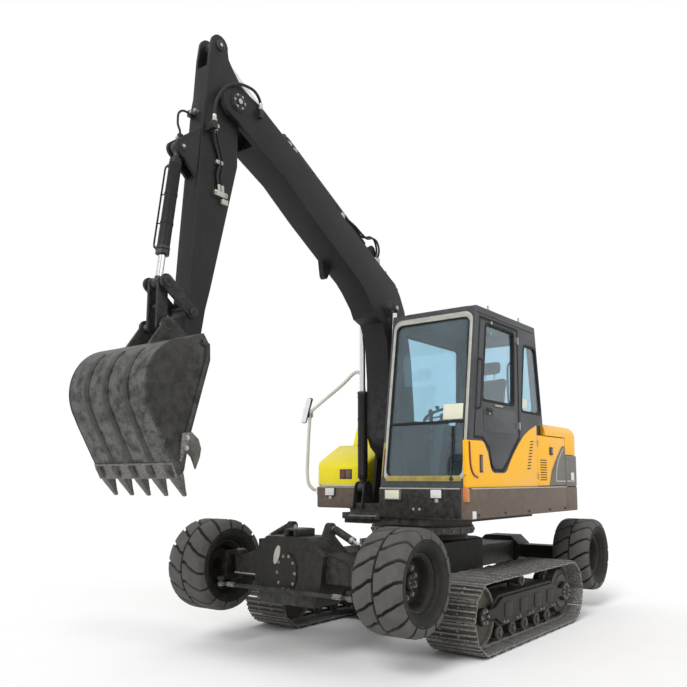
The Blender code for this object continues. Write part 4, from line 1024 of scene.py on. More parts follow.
class Bolts(Pattern):
    """Hexagon bolt heads on washers, set on points and turned to each one's facing."""

    def __init__(self, across: float) -> None:
        """Lays out the tree.

        Args:
            across: Width of a head over its corners.
        """
        super().__init__("bolts", {"Head radius": across / 2, "Head height": across * 0.32,
            "Washer radius": across * 0.66, "Washer height": across * 0.1})
        facing = self.nodes.add("GeometryNodeInputNamedAttribute", data_type="FLOAT_VECTOR")
        facing.inputs["Name"].default_value = "facing"
        turn = self.nodes.add("FunctionNodeAlignRotationToVector", axis="Z")
        self.nodes.link(facing.outputs["Attribute"], turn.inputs["Vector"])
        both = self.nodes.add("GeometryNodeJoinGeometry")
        for sides, radius, height in ((6, "Head radius", "Head height"),
                (16, "Washer radius", "Washer height")):
            solid = self.nodes.add("GeometryNodeMeshCylinder")
            solid.inputs["Vertices"].default_value = sides
            self.nodes.link(self.inputs[radius], solid.inputs["Radius"])
            self.nodes.link(self.inputs[height], solid.inputs["Depth"])
            lifted = self.nodes.add("GeometryNodeTransform")
            self.nodes.link(solid.outputs["Mesh"], lifted.inputs["Geometry"])
            lift = self.math("MULTIPLY", self.inputs[height], 0.5)
            if sides == 6:
                lift = self.math("ADD", lift, self.math("MULTIPLY", self.inputs["Washer height"], 0.98))
            self.nodes.link(self.vector(0.0, 0.0, lift), lifted.inputs["Translation"])
            self.nodes.link(lifted.outputs[0], both.inputs[0])
        spread = self.nodes.add("GeometryNodeInstanceOnPoints")
        self.nodes.link(self.inputs["Geometry"], spread.inputs["Points"])
        self.nodes.link(both.outputs[0], spread.inputs["Instance"])
        self.nodes.link(turn.outputs["Rotation"], spread.inputs["Rotation"])
        self.end(spread.outputs[0])


def bolt_heads(name: str, body: str, places: Sequence[tuple[Point, Point]], across: float,
        finish: Finish) -> bpy.types.Object:
    """Bolt heads on a body.

    Args:
        name: The piece's name.
        body: The body that they ride on.
        places: Each one's place, measured from the slew axis, and its facing.
        across: Width of a head over its corners.
        finish: Their finish.

    Returns:
        The piece.
    """
    points = bpy.data.meshes.new("bolt_places")
    points.from_pydata([tuple(v) for v in from_slew([place for place, _ in places])], [], [])
    facing = points.attributes.new("facing", "FLOAT_VECTOR", "POINT")
    for entry, (_, way) in zip(facing.data, places):
        entry.vector = Vector(way).normalized()
    return show(Bolts(across).run(points, finish), name, body)


# ---------------------------------------------------------------- studio
@dataclass
class Studio:
    """The camera, the lamps, the white surroundings and the floor.

    Attributes:
        eye: The camera's place, measured from the slew axis.
        heading: Turn of its view to the left of +y, in radians.
        tilt: Upward tilt of its view, in radians.
        lens: Focal length, in millimetres.
        shift: The frame's offset across and up, in widths.
        sky: Strength of the world's light.
        sun: Strength of the sun lamp.
    """

    eye: Point = (3.868, -6.209, 1.368)
    heading: float = 0.631
    tilt: float = 0.119
    lens: float = 38.32
    shift: Pair = (-0.0351, 0.0706)
    sky: float = 0.7
    sun: float = 1.6

    def camera(self) -> bpy.types.Object:
        """Makes the camera and gives it to the scene."""
        data = bpy.data.cameras.new("camera")
        data.lens = self.lens
        data.shift_x, data.shift_y = self.shift
        data.clip_end = 100.0
        camera = bpy.data.objects.new("camera", data)
        camera.location = from_slew([self.eye])[0]
        camera.rotation_euler = (pi / 2 + self.tilt, 0.0, self.heading)
        bpy.context.scene.collection.objects.link(camera)
        bpy.context.scene.camera = camera
        return camera

    def seen_white(self, nodes: Nodes) -> bpy.types.NodeSocket:
        """1 for rays that see the surroundings straight, in a reflection or through glass."""
        path = nodes.add("ShaderNodeLightPath")
        either = nodes.add("ShaderNodeMath", operation="MAXIMUM")
        nodes.link(path.outputs["Is Camera Ray"], either.inputs[0])
        nodes.link(path.outputs["Is Glossy Ray"], either.inputs[1])
        all_three = nodes.add("ShaderNodeMath", operation="MAXIMUM")
        nodes.link(either.outputs[0], all_three.inputs[0])
        nodes.link(path.outputs["Is Transmission Ray"], all_three.inputs[1])
        return all_three.outputs[0]

    def world(self) -> None:
        """A plain pale world, which shows as white."""
        world = bpy.data.worlds.new("surroundings")
        bpy.context.scene.world = world
        world.use_nodes = True
        nodes = Nodes(world.node_tree)
        background = world.node_tree.nodes["Background"]
        background.inputs["Color"].default_value = (1.0, 1.0, 1.0, 1.0)
        strength = nodes.add("ShaderNodeMapRange", To_Min=self.sky, To_Max=1.0)
        nodes.link(self.seen_white(nodes), strength.inputs["Value"])
        nodes.link(strength.outputs["Result"], background.inputs["Strength"])

    def lamps(self) -> None:
        """One soft sun from above the camera's left shoulder, and a weak one from the right."""
        for name, strength, turn in (("sun", self.sun, (48.0, 0.0, 12.0)),
                ("fill", self.sun * 0.3, (62.0, 0.0, 95.0))):
            data = bpy.data.lights.new(name, "SUN")
            data.energy = strength
            data.angle = radians(22)
            lamp = bpy.data.objects.new(name, data)
            lamp.rotation_euler = [radians(a) for a in turn]
            bpy.context.scene.collection.objects.link(lamp)

    def floor(self) -> None:
        """The pale floor, which is no part of the object."""
        half, drop = 30.0, 0.0005
        mesh = bpy.data.meshes.new("floor")
        mesh.from_pydata([(-half, -half, -drop), (half, -half, -drop), (half, half, -drop),
            (-half, half, -drop)], [], [(0, 1, 2, 3)])
        made = bpy.data.materials.new("floor")
        made.use_nodes = True
        nodes = Nodes(made.node_tree)
        shader = made.node_tree.nodes["Principled BSDF"]
        place = nodes.add("ShaderNodeTexCoord").outputs["Object"]
        specks = nodes.ramp(nodes.noise(place, 2.0, 4.0), 0.3, 0.7)
        nodes.link(nodes.mix(specks, (0.93, 0.93, 0.93), (0.95, 0.95, 0.95)), shader.inputs["Base Color"])
        shader.inputs["Roughness"].default_value = 0.9
        shader.inputs["Specular IOR Level"].default_value = 0.1
        mesh.materials.append(made)
        floor = bpy.data.objects.new("floor", mesh)
        bpy.context.scene.collection.objects.link(floor)

    def build(self) -> None:
        """Sets up the whole studio."""
        scene = bpy.context.scene
        scene.view_settings.view_transform = "Standard"
        self.camera()
        self.world()
        self.lamps()
        self.floor()


# ---------------------------------------------------------------- hoses
@dataclass
class Hoses:
    """The two hydraulic hoses that loop at the arm's joints, with their crimped ends.

    Attributes:
        boom_x: The boom hose's x, from the arm's centre plane.
        stick_x: The stick hose's x.
        boom_radius: The boom hose's radius.
        stick_radius: The stick hose's radius.
        gap: Clearance to the ports that the hoses stand on.
    """

    boom_x: float = 0.152
    stick_x: float = -0.047
    boom_radius: float = 0.011
    stick_radius: float = 0.008
    gap: float = 0.0003

    def boom_route(self) -> list[Vector]:
        """The boom hose's centre line: up from its port, over the pin and down to the stick's port."""
        line = ([(-2.385, 4.195 + self.gap)] + arc((-2.485, 4.222), 0.1, 0, 90, 10) + arc((-2.5, 3.977),
            0.345, 90, 180, 20) + [(-2.845, 3.915 + self.gap)])
        return from_slew([(ARM_X + self.boom_x, y, z) for y, z in line])

    def stick_route(self) -> list[Vector]:
        """The stick hose's centre line: forward from the stick's face, then down to the cylinder's port."""
        line = ([(-2.915 - self.gap, 4.008)] + arc((-2.943, 3.941), 0.067, 90, 180,
            10) + arc((-2.943, 3.901), 0.067, 180, 215, 5) + arc((-3.0528, 3.8241), 0.067, 35, 0,
            5)[1:] + [(-2.9858, 3.82 + self.gap)])
        return from_slew([(ARM_X + self.stick_x, y, z) for y, z in line])

    def hose(self, name: str, route: list[Vector], radius: float) -> bpy.types.Object:
        """One hose's mesh in the scene, on no body yet."""
        piece = bpy.data.objects.new(name, Shape(HOSE).tube(route, radius, steps=16).data())
        bpy.context.scene.collection.objects.link(piece)
        soft_shading(piece.data)
        return piece

    def crimp(self, name: str, body: str, start: Vector, way: Vector, radius: float) -> bpy.types.Object:
        """A hose's crimped sleeve and nut, round its end.

        Args:
            name: The piece's name.
            body: The body that it rides on.
            start: The hose's end.
            way: Direction away from the port.
            radius: The hose's radius.

        Returns:
            The piece.
        """
        shape = Shape(ZINC)
        base = (start.x, start.y - SLEW_Y, start.z)
        clear = radius + 0.0006
        sleeve = [(clear, 0.02), (radius + 0.004, 0.02), (radius + 0.005, 0.024), (radius + 0.005, 0.046),
            (radius + 0.0035, 0.05), (clear, 0.05)]
        shape.turned(sleeve, base, way, 24, ring=True)
        nut = [(clear, 0.001), (radius + 0.0075, 0.001), (radius + 0.0085, 0.003), (radius + 0.0085, 0.017),
            (radius + 0.0075, 0.019), (clear, 0.019)]
        shape.turned(nut, base, way, 6, ring=True)
        return shape.finish_piece(name, body)

    def build(self) -> None:
        """Makes both hoses and the crimped ends of the boom hose."""
        route = self.boom_route()
        boom_hose = self.hose("boom_hose_tube", route, self.boom_radius)
        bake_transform(boom_hose)
        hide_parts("boom_hose")
        ends = [self.crimp("boom_hose_crimp", "boom", route[0], Vector((0, 0, 1)), self.boom_radius),
            self.crimp("boom_hose_far_crimp", "stick", route[-1], Vector((0, 0, 1)), self.boom_radius)]
        LOG.info("boom hose: %.3f m", length_of(route))

        route = self.stick_route()
        stick_hose = self.hose("stick_hose_tube", route, self.stick_radius)
        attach(stick_hose, "stick")
        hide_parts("stick_hose")
        LOG.info("stick hose: %.3f m", length_of(route))


# ---------------------------------------------------------------- undercarriage
class Corner(Enum):
    """The four road wheels: node prefix, side, and place of the middle from the slew axis."""

    FRONT_LEFT = ("front_left", Side.LEFT, (0.96, -1.807, 0.655))
    FRONT_RIGHT = ("front_right", Side.RIGHT, (-0.96, -1.807, 0.655))
    REAR_LEFT = ("rear_left", Side.LEFT, (0.928, 1.79, 0.562))
    REAR_RIGHT = ("rear_right", Side.RIGHT, (-0.928, 1.79, 0.562))

    def __init__(self, prefix: str, side: Side, middle: Point) -> None:
        """Keeps the corner's facts."""
        self.prefix = prefix
        self.side = side
        self.middle = middle


@dataclass
class RoadWheel:
    """A work tyre with deep skewed lugs on a dished steel wheel.

    Attributes:
        corner: Which of the four it is.
        radius: To the top of the lugs.
        groove: Depth of the grooves between lugs.
        lug_count: Lugs on each half of the tread.
        share: A lug's share of its pitch.
        bead: Radius of the rim's seat.
        nut_circle: Radius of the ring of wheel nuts.
        nut_count: Number of wheel nuts.
    """

    corner: Corner
    radius: float = 0.3775
    groove: float = 0.026
    lug_count: int = 15
    share: float = 0.86
    bead: float = 0.205
    nut_circle: float = 0.112
    nut_count: int = 10

    CROWN = ((0.0, 0.0), (0.13, 0.0), (0.16, -0.006), (0.182, -0.018), (0.194, -0.04), (0.199, -0.07))
    SKEW = ((0.01, 0.0), (0.045, 0.012), (0.078, 0.046), (0.1, 0.056), (0.135, 0.066), (0.165, 0.094),
        (0.184, 0.104), (0.1965, 0.108))

    def crown(self, across: float) -> float:
        """Radius to the tread's top at a distance from the middle plane."""
        for (x0, drop0), (x1, drop1) in zip(self.CROWN, self.CROWN[1:]):
            if across <= x1:
                return self.radius + drop0 + (drop1 - drop0) * (across - x0) / (x1 - x0)
        return self.radius + self.CROWN[-1][1]

    def lug(self, half: int) -> bpy.types.Mesh:
        """One lug of the tread at the top of the tyre.

        Args:
            half: 1 for the outer half of the tread, -1 for the inner half.

        Returns:
            Its mesh.
        """
        shape = Shape(TREAD)
        x, y, z = self.corner.middle
        width = 2 * pi * self.radius / self.lug_count * self.share
        rings = []
        for across, skew in self.SKEW:
            top = self.crown(across)
            base = top - self.groove - 0.006
            bulge = 0.005 * sin(across * 60)
            ring = []
            for along, height in ((0.0, base), (0.004, top - 0.003), (0.008, top), (width / 2, top),
                    (width - 0.008, top), (width - 0.004, top - 0.003), (width, base)):
                turn = (skew + bulge + along) / self.radius * half
                ring.append(Vector((x + half * across * self.corner.side.value,
                    y + SLEW_Y + height * sin(turn), z + height * cos(turn))))
            rings.append(ring)
        return shape.loft(rings).data()

    def tyre(self) -> None:
        """Builds the tyre: its carcass, its shoulder ribs and both halves of its tread."""
        x, y, z = self.corner.middle
        base = self.radius - self.groove
        half = [(self.bead, -0.124), (self.bead + 0.006, -0.136), (0.214, -0.143), (0.222, -0.15),
            (0.232, -0.17), (0.244, -0.182), (0.252, -0.1835), (0.256, -0.187), (0.262, -0.1875),
            (0.266, -0.189), (0.285, -0.1945), (0.292, -0.1985), (0.3, -0.1985), (0.306, -0.1945),
            (0.322, -0.19), (base - 0.02, -0.18), (base - 0.004, -0.16), (base, -0.12), (base, 0.0)]
        profile = half + [(r, -t) for r, t in half[-2::-1]]
        shape = Shape(TYRE).turned(profile, (x, y, z), steps=72, ring=True)
        node, body = f"{self.corner.prefix}_tyre", BODY_OF[f"{self.corner.prefix}_tyre"]
        shape.finish_piece(f"{node}_carcass", body, [node])
        for half_word, sign, first in (("outer", 1, 0.0), ("inner", -1, 180.0 / self.lug_count)):
            ring = Ring(self.lug_count, (y, z), first)
            show(ring.run(self.lug(sign), TREAD), f"{node}_{half_word}_tread", body)

    def wheel(self) -> None:
        """Builds the steel wheel, its planetary hub and its nuts."""
        out = self.corner.side.value
        seat = self.bead - 0.0006
        profile = [(0.0, 0.084), (0.022, 0.084), (0.026, 0.08), (0.048, 0.079), (0.056, 0.074),
            (0.061, 0.062), (0.063, 0.04), (0.07, 0.036), (0.088, 0.034), (0.092, 0.029), (0.146, 0.027),
            (0.156, 0.032), (0.164, 0.048), (0.172, 0.104), (0.18, 0.116), (0.19, 0.121), (0.194, 0.127),
            (seat, 0.128), (seat, -0.128), (0.194, -0.127), (0.184, -0.118), (0.16, -0.1), (0.15, -0.03),
            (0.0, -0.03)]
        places = [(max(r, 0.0004), out * t) for r, t in profile]
        shape = Shape(CHASSIS).turned(places, self.corner.middle, steps=56)
        node, body = f"{self.corner.prefix}_wheel", BODY_OF[f"{self.corner.prefix}_wheel"]
        shape.finish_piece(f"{node}_dish", body, [node])
        x, y, z = self.corner.middle
        nuts = [((x + out * 0.0285, y + r * cos(a), z + r * sin(a)), (out, 0, 0)) for r,
            count in ((self.nut_circle,
            self.nut_count),) for a in (2 * pi * (i + 0.5) / count for i in range(count))]
        bolt_heads(f"{node}_nuts", body, nuts, 0.034, ROLLER)
        caps = [((x + out * 0.0792, y + 0.037 * cos(a), z + 0.037 * sin(a)),
            (out, 0, 0)) for a in (2 * pi * i / 6 for i in range(6))]
        bolt_heads(f"{node}_hub_bolts", body, caps, 0.012, ROLLER)

    def build(self) -> None:
        """Builds the tyre and the wheel."""
        self.tyre()
        self.wheel()


@dataclass
class Crawler:
    """One track: its chain of shoes, and the frame, idler, sprocket and rollers inside it.

    Attributes:
        side: Which side it is on.
        front: y of the idler.
        rear: y of the sprocket.
        middle: z of both.
        plate: Radius to the shoe plates.
        tip: Radius to the grouser tips.
        count: Number of shoes.
        inner: Distance of the shoes' inner ends from the machine's middle.
        outer: Distance of their outer ends.
        teeth: Teeth of the sprocket.
    """

    side: Side
    front: float = -0.92
    rear: float = 0.775
    middle: float = 0.297
    plate: float = 0.276
    tip: float = 0.297
    count: int = 30
    inner: float = 0.735
    outer: float = 1.205
    teeth: int = 21

    def loop(self) -> list[Vector]:
        """The loop of the shoe plates, with the tips' direction on its outer side."""
        line = (arc((self.rear, self.middle), self.plate, 90, -90, 24) + arc((self.front, self.middle),
            self.plate, 270, 90, 24))
        return [Vector(((self.inner + self.outer) / 2 * self.side.value, y + SLEW_Y, z)) for y, z in line]

    def shoe(self) -> bpy.types.Mesh:
        """One shoe with three grousers, its four bolts and its pair of links, about the origin."""
        pitch = 2 * (self.rear - self.front + pi * self.plate) / self.count
        half, width = pitch / 2, (self.outer - self.inner) / 2 - 0.001
        height = self.tip - self.plate - 0.0005
        section = [(-half * 0.93, -0.01), (half * 0.86, -0.012), (half * 0.97, -0.004),
            (half * 0.92, 0.002)]
        for middle, tall in ((0.52, 0.72), (0.0, 1.0), (-0.52, 0.72)):
            section += [(half * (middle + 0.13), 0.001), (half * (middle + 0.055), height * tall),
                (half * (middle - 0.055), height * tall), (half * (middle - 0.13), 0.001)]
        section += [(-half * 0.9, 0.001), (-half * 0.97, -0.004)]
        shape = Shape(TRACK)
        chamfer = 0.012
        rings = []
        for x, shrink in ((-width, 0.72), (-width + chamfer, 1.0), (width - chamfer, 1.0), (width, 0.72)):
            rings.append([Vector((x, y, z * shrink if z > 0.003 else z)) for y, z in section])
        shape.loft(rings)
        for x in (-0.078, 0.078):
            link = [(-half * 0.98, -0.031), (half * 0.55, -0.031), (half * 0.98, -0.026),
                (half * 0.98, -0.016), (half * 0.55, -0.01), (-half * 0.98, -0.01)]
            shape.loft([[Vector((x + dx, y, z)) for y, z in link] for dx in (-0.016, 0.016)])
            for y in (-half * 0.27, half * 0.27):
                head = [[Vector((x + 0.009 * cos(a), y + 0.009 * sin(a),
                    z)) for a in (pi / 3 * k for k in range(6))] for z in (-0.002, 0.0085)]
                shape.loft(head)
        return shape.data()

    def chain_of_shoes(self) -> None:
        """Builds the loop of shoes."""
        node = f"{self.side.word}_track"
        chain = Chain(self.count, self.loop())
        piece = show(chain.run(self.shoe(), TRACK), f"{node}_chain", BODY_OF[node], [node])
        LOG.info("%s: %d shoes, %d faces", piece.name, self.count, len(piece.data.polygons))

    def x(self, distance: float) -> float:
        """A distance from the machine's middle as x."""
        return self.side.value * distance

    def running_gear(self) -> None:
        """Builds the beam with its guards, and the idler, sprocket and rollers."""
        node = f"{self.side.word}_track_frame"
        shape = Shape(CHASSIS)
        low, high = self.side.span(0.8, 1.14)
        beam = [(-0.74, 0.26), (-0.62, 0.172), (0.46, 0.172), (0.6, 0.24), (0.6, 0.36), (0.48, 0.43),
            (-0.62, 0.43), (-0.74, 0.36)]
        shape.prism(beam, low + 0.03, high - 0.03, bevel=0.012)
        for inner, outer in ((0.8, 0.834), (1.106, 1.14)):
            a, b = self.side.span(inner, outer)
            plate = [(-0.9, 0.268), (-0.72, 0.262), (-0.6, 0.196), (0.44, 0.196), (0.56, 0.262),
                (0.74, 0.262), (0.74, 0.332), (0.58, 0.345), (0.46, 0.408), (-0.6, 0.408), (-0.72, 0.35),
                (-0.9, 0.332)]
            shape.prism(plate, a, b, bevel=0.004)
            shape.prism(circle((self.front, self.middle), 0.072, 28), a, b, bevel=0.004)
            shape.prism(circle((self.rear, self.middle), 0.09, 28), a, b, bevel=0.004)
        a, b = self.side.span(1.139, 1.146)
        for y in (-0.5, -0.2, 0.1, 0.38):
            shape.prism(rounded_rectangle((y - 0.075, 0.245), (y + 0.075, 0.365), 0.02), a, b, bevel=0.002)
        shape.finish_piece(f"{node}_beam", BODY_OF[node], [node])

        wheels = Shape(ROLLER)
        centre = (self.x(0.97), self.front, self.middle)
        idler = [(0.0, 0.148), (0.06, 0.148), (0.066, 0.12), (0.086, 0.112), (0.19, 0.098), (0.205, 0.104),
            (0.222, 0.13), (0.24, 0.13), (0.242, 0.122), (0.242, 0.062), (0.222, 0.056)]
        wheels.turned([(max(r, 0.001), d) for r, d in idler] + [(max(r, 0.001), -d) for r,
            d in idler[::-1]], centre, steps=48)
        wheels.turned([(0.001, -0.125), (0.15, -0.125), (0.16, -0.11), (0.198, -0.1), (0.204, -0.028),
            (0.226, -0.024), (0.226, 0.024), (0.204, 0.028), (0.198, 0.1), (0.16, 0.11), (0.15, 0.125),
            (0.001, 0.125)], (self.x(0.97), self.rear, self.middle), steps=48)
        for i in range(5):
            wheels.turned(self.roller(0.06), (self.x(0.97), -0.56 + 0.25 * i, 0.117), steps=28)
        wheels.turned(self.roller(0.045), (self.x(0.97), -0.1, 0.488), steps=28)
        wheels.block(self.side.span(0.955, 0.985), (-0.135, -0.065), (0.42, 0.485), CHASSIS)
        wheels.finish_piece(f"{node}_wheels", BODY_OF[node])
        self.sprocket_teeth(node)
        self.bolts(node)

    @staticmethod
    def roller(radius: float) -> list[Pair]:
        """A track roller's profile, with its two treads and its flanges."""
        half = [(0.001, 0.13), (radius * 0.42, 0.13), (radius * 0.5, 0.118), (radius * 0.94, 0.116),
            (radius, 0.108), (radius, 0.098), (radius * 0.8, 0.094), (radius * 0.8, 0.052),
            (radius * 0.62, 0.046)]
        return half + [(r, -d) for r, d in half[::-1]]

    def sprocket_teeth(self, node: str) -> None:
        """Builds the sprocket's ring of teeth."""
        tooth = Shape(ROLLER)
        root, top, half = 0.216, 0.252, 0.03
        outline = [(self.rear - half, self.middle + root), (self.rear + half, self.middle + root),
            (self.rear + half * 0.62, self.middle + top - 0.012),
            (self.rear + half * 0.34, self.middle + top), (self.rear - half * 0.34, self.middle + top),
            (self.rear - half * 0.62, self.middle + top - 0.012)]
        low, high = self.side.span(0.946, 0.994)
        tooth.prism(outline, low, high)
        ring = Ring(self.teeth, (self.rear, self.middle))
        show(ring.run(tooth.data(), ROLLER), f"{node}_teeth", BODY_OF[node])

    def bolts(self, node: str) -> None:
        """Builds the bolts of the final drive's cover, of the idler's yoke and of the rollers."""
        way = (self.side.value, 0, 0)
        places = []
        for centre_y, radius, count, face in ((self.rear, 0.066, 10, 1.1402),
                (self.front, 0.05, 6, 1.1402)):
            places += [((self.x(face), centre_y + radius * cos(2 * pi * i / count),
                self.middle + radius * sin(2 * pi * i / count)), way) for i in range(count)]
        for y in (-0.56, -0.31, -0.06, 0.19, 0.44):
            places += [((self.x(1.1402), y + dy, 0.214), way) for dy in (-0.03, 0.03)]
        bolt_heads(f"{node}_bolts", BODY_OF[node], places, 0.024, ROLLER)

    def build(self) -> None:
        """Builds the chain and what it runs on."""
        self.chain_of_shoes()
        self.running_gear()


@dataclass
class Chassis:
    """The middle frame, slew ring, axles, knuckles, tie rod and lift cylinders.

    Attributes:
        ring_bolts: Bolts on it.
        axle_y: y of the front axle.
        axle_z: z of its wheels' axis.
        kingpin: Distance of the kingpins from the middle.
        arm: Length of the steering arms.
    """

    ring_bolts: int = 30
    axle_y: float = -1.807
    axle_z: float = 0.655
    kingpin: float = 0.66
    arm: float = 0.213

    def frame_and_ring(self) -> None:
        """Softens the frame and builds the slew ring with its bolts."""
        softened("chassis_frame", CHASSIS, 0.01)
        profile = [(0.305, 0.8602), (0.498, 0.8602), (0.5, 0.864), (0.5, 0.924), (0.496, 0.929),
            (0.488, 0.93), (0.486, 0.934), (0.4845, 0.97), (0.48, 0.9745), (0.305, 0.9745)]
        ring = Shape(TRACK).turned(profile, (0, 0, 0), (0, 0, 1), 72, ring=True)
        ring.finish_piece("slew_ring_turned", BODY_OF["slew_ring"], ["slew_ring"])
        places = [((0.4985 * cos(a), 0.4985 * sin(a), 0.893),
            (cos(a), sin(a), 0)) for a in (2 * pi * i / self.ring_bolts for i in range(self.ring_bolts))]
        bolt_heads("slew_ring_bolts", BODY_OF["slew_ring"], places, 0.026, TRACK)

    def front_axle(self) -> None:
        """Softens the steering axle and adds its cover, its bracket, its ribs and its bolts."""
        softened("front_axle", CHASSIS, 0.01)
        extra = Shape(CHASSIS)
        front = -1.96
        cover = [(x * 0.105, 0.66 + z * 0.15) for x, z in circle((0.0, 0.0), 1.0, 40)]
        extra.prism(cover, front - 0.012, front + 0.01, Axis.Y, CHASSIS, 0.004)
        label = [(-0.105 + x * 0.03 + z * 0.018, 0.79 + z * 0.072) for x, z in circle((0.0, 0.0), 1.0, 28)]
        extra.prism(label, front - 0.006, front + 0.01, Axis.Y, PALE, 0.002)
        for x in (-0.045, 0.045):
            extra.block((x - 0.012, x + 0.012), (-1.93, -1.7), (0.928, 0.985), bevel=0.004)
        extra.block((-0.058, 0.058), (-1.9, -1.73), (0.97, 0.99), CAB, 0.005)
        extra.block((-0.62, -0.33), (-1.912, -1.9), (0.61, 0.622), PALE, 0.003)
        for side in (-1, 1):
            extra.rod((side * 0.16, -1.685, 0.985), (side * 0.24, -1.685, 0.985), 0.02, ZINC)
            extra.prism([(side * 0.34, 0.6), (side * 0.56, 0.602), (side * 0.56, 0.744),
                (side * 0.34, 0.815)], -1.9115, -1.9055, Axis.Y, CHASSIS, 0.002)
            extra.turned([(0.001, 0.0), (0.036, 0.0), (0.036, 0.01), (0.02, 0.014), (0.001, 0.014)],
                (side * self.kingpin, self.axle_y, 0.7855), (0, 0, 1), 24, ROLLER)
        extra.finish_piece("front_axle_fittings", BODY_OF["front_axle"])
        places = [((0.088 * cos(a), front - 0.0118, 0.66 + 0.13 * sin(a)),
            (0, -1, 0)) for a in (2 * pi * i / 10 for i in range(10))]
        bolt_heads("front_axle_bolts", BODY_OF["front_axle"], places, 0.02, TRACK)

    def rear_axle(self) -> None:
        """Softens the rear axle and adds its differential cover and bolts."""
        softened("rear_axle", CHASSIS, 0.01)
        extra = Shape(CHASSIS)
        extra.turned([(0.001, 0.0), (0.13, 0.0), (0.138, -0.006), (0.138, -0.02), (0.001, -0.024)],
            (0.0, 1.93, 0.565), (0, -1, 0), 40)
        extra.rod((0.0, 1.948, 0.565), (0.0, 1.958, 0.565), 0.018, ZINC)
        extra.finish_piece("rear_axle_cover", BODY_OF["rear_axle"])
        places = [((0.122 * cos(a), 1.9535, 0.565 + 0.122 * sin(a)),
            (0, 1, 0)) for a in (2 * pi * i / 10 for i in range(10))]
        bolt_heads("rear_axle_bolts", BODY_OF["rear_axle"], places, 0.02, ZINC)

    def steering(self) -> None:
        """Softens the knuckles and turns the tie rod with its ball joints."""
        for side in Side:
            node = f"{side.word}_knuckle"
            softened(node, CHASSIS, 0.006)
            s = side.value
            bolts = [((s * 0.7903, self.axle_y + 0.085 * cos(a), self.axle_z + 0.085 * sin(a)),
                (s, 0, 0)) for a in (2 * pi * i / 10 for i in range(10))]
            bolt_heads(f"{node}_bolts", BODY_OF[node], bolts, 0.02, ZINC)
        y, z = self.axle_y - self.arm, 0.535
        rod = Shape(CHASSIS)
        rod.rod((-0.62, y, z), (0.62, y, z), 0.0155)
        for s in (-1, 1):
            rod.rod((s * 0.5, y, z), (s * 0.58, y, z), 0.021, ROLLER, 6)
            joint = [(0.001, -0.022), (0.02, -0.022), (0.026, -0.015), (0.026, 0.006), (0.02, 0.012),
                (0.016, 0.023), (0.001, 0.023)]
            rod.turned(joint, (s * self.kingpin, y, z), (0, 0, 1), 24, ROLLER)
            rod.rod((s * 0.61, y, z), (s * (self.kingpin - 0.008), y, z), 0.013, ROLLER)
        rod.finish_piece("tie_rod_turned", BODY_OF["tie_rod"], ["tie_rod"])

    def lift_cylinder(self, side: Side) -> None:
        """Builds one lift cylinder of the front axle.

        Args:
            side: Which side it is on.
        """
        s, y = side.value, -1.685
        node = f"{side.word}_lift_cylinder"
        upper, lower = Vector((s * 0.262, y, 0.975)), Vector((s * 0.52, y, 0.852))
        shape = Shape(CHASSIS)
        span = lower - upper
        shape.rod(upper - span * 0.05, upper + span * 0.6, 0.03)
        shape.rod(upper + span * 0.56, upper + span * 0.66, 0.0315, ZINC)
        shape.rod(upper + span * 0.62, upper + span * 0.97, 0.0155, CHROME)
        shape.block(side.span(0.49, 0.5), (-1.715, -1.655), (0.79, 0.878), bevel=0.003)
        shape.block(side.span(0.535, 0.545), (-1.715, -1.655), (0.79, 0.878), bevel=0.003)
        shape.rod((s * 0.486, y, 0.852), (s * 0.549, y, 0.852), 0.014, ZINC)
        shape.rod((lower.x - 0.016, y, 0.852), (lower.x + 0.016, y, 0.852), 0.024, CHASSIS)
        shape.finish_piece(f"{node}_built", BODY_OF[node], [node])

    def build(self) -> None:
        """Builds everything between the tracks and the wheels."""
        self.frame_and_ring()
        self.front_axle()
        self.rear_axle()
        self.steering()
        for side in Side:
            self.lift_cylinder(side)


@dataclass
class Undercarriage:
    """The chassis with its tracks and wheels."""

    wheels: Sequence[RoadWheel] = field(default_factory=lambda: [RoadWheel(corner) for corner in Corner])
    tracks: Sequence[Crawler] = field(default_factory=lambda: [Crawler(side) for side in Side])
    chassis: Chassis = field(default_factory=Chassis)

    def build(self) -> None:
        """Builds its parts in order."""
        self.chassis.build()
        for part in (*self.tracks, *self.wheels):
            part.build()


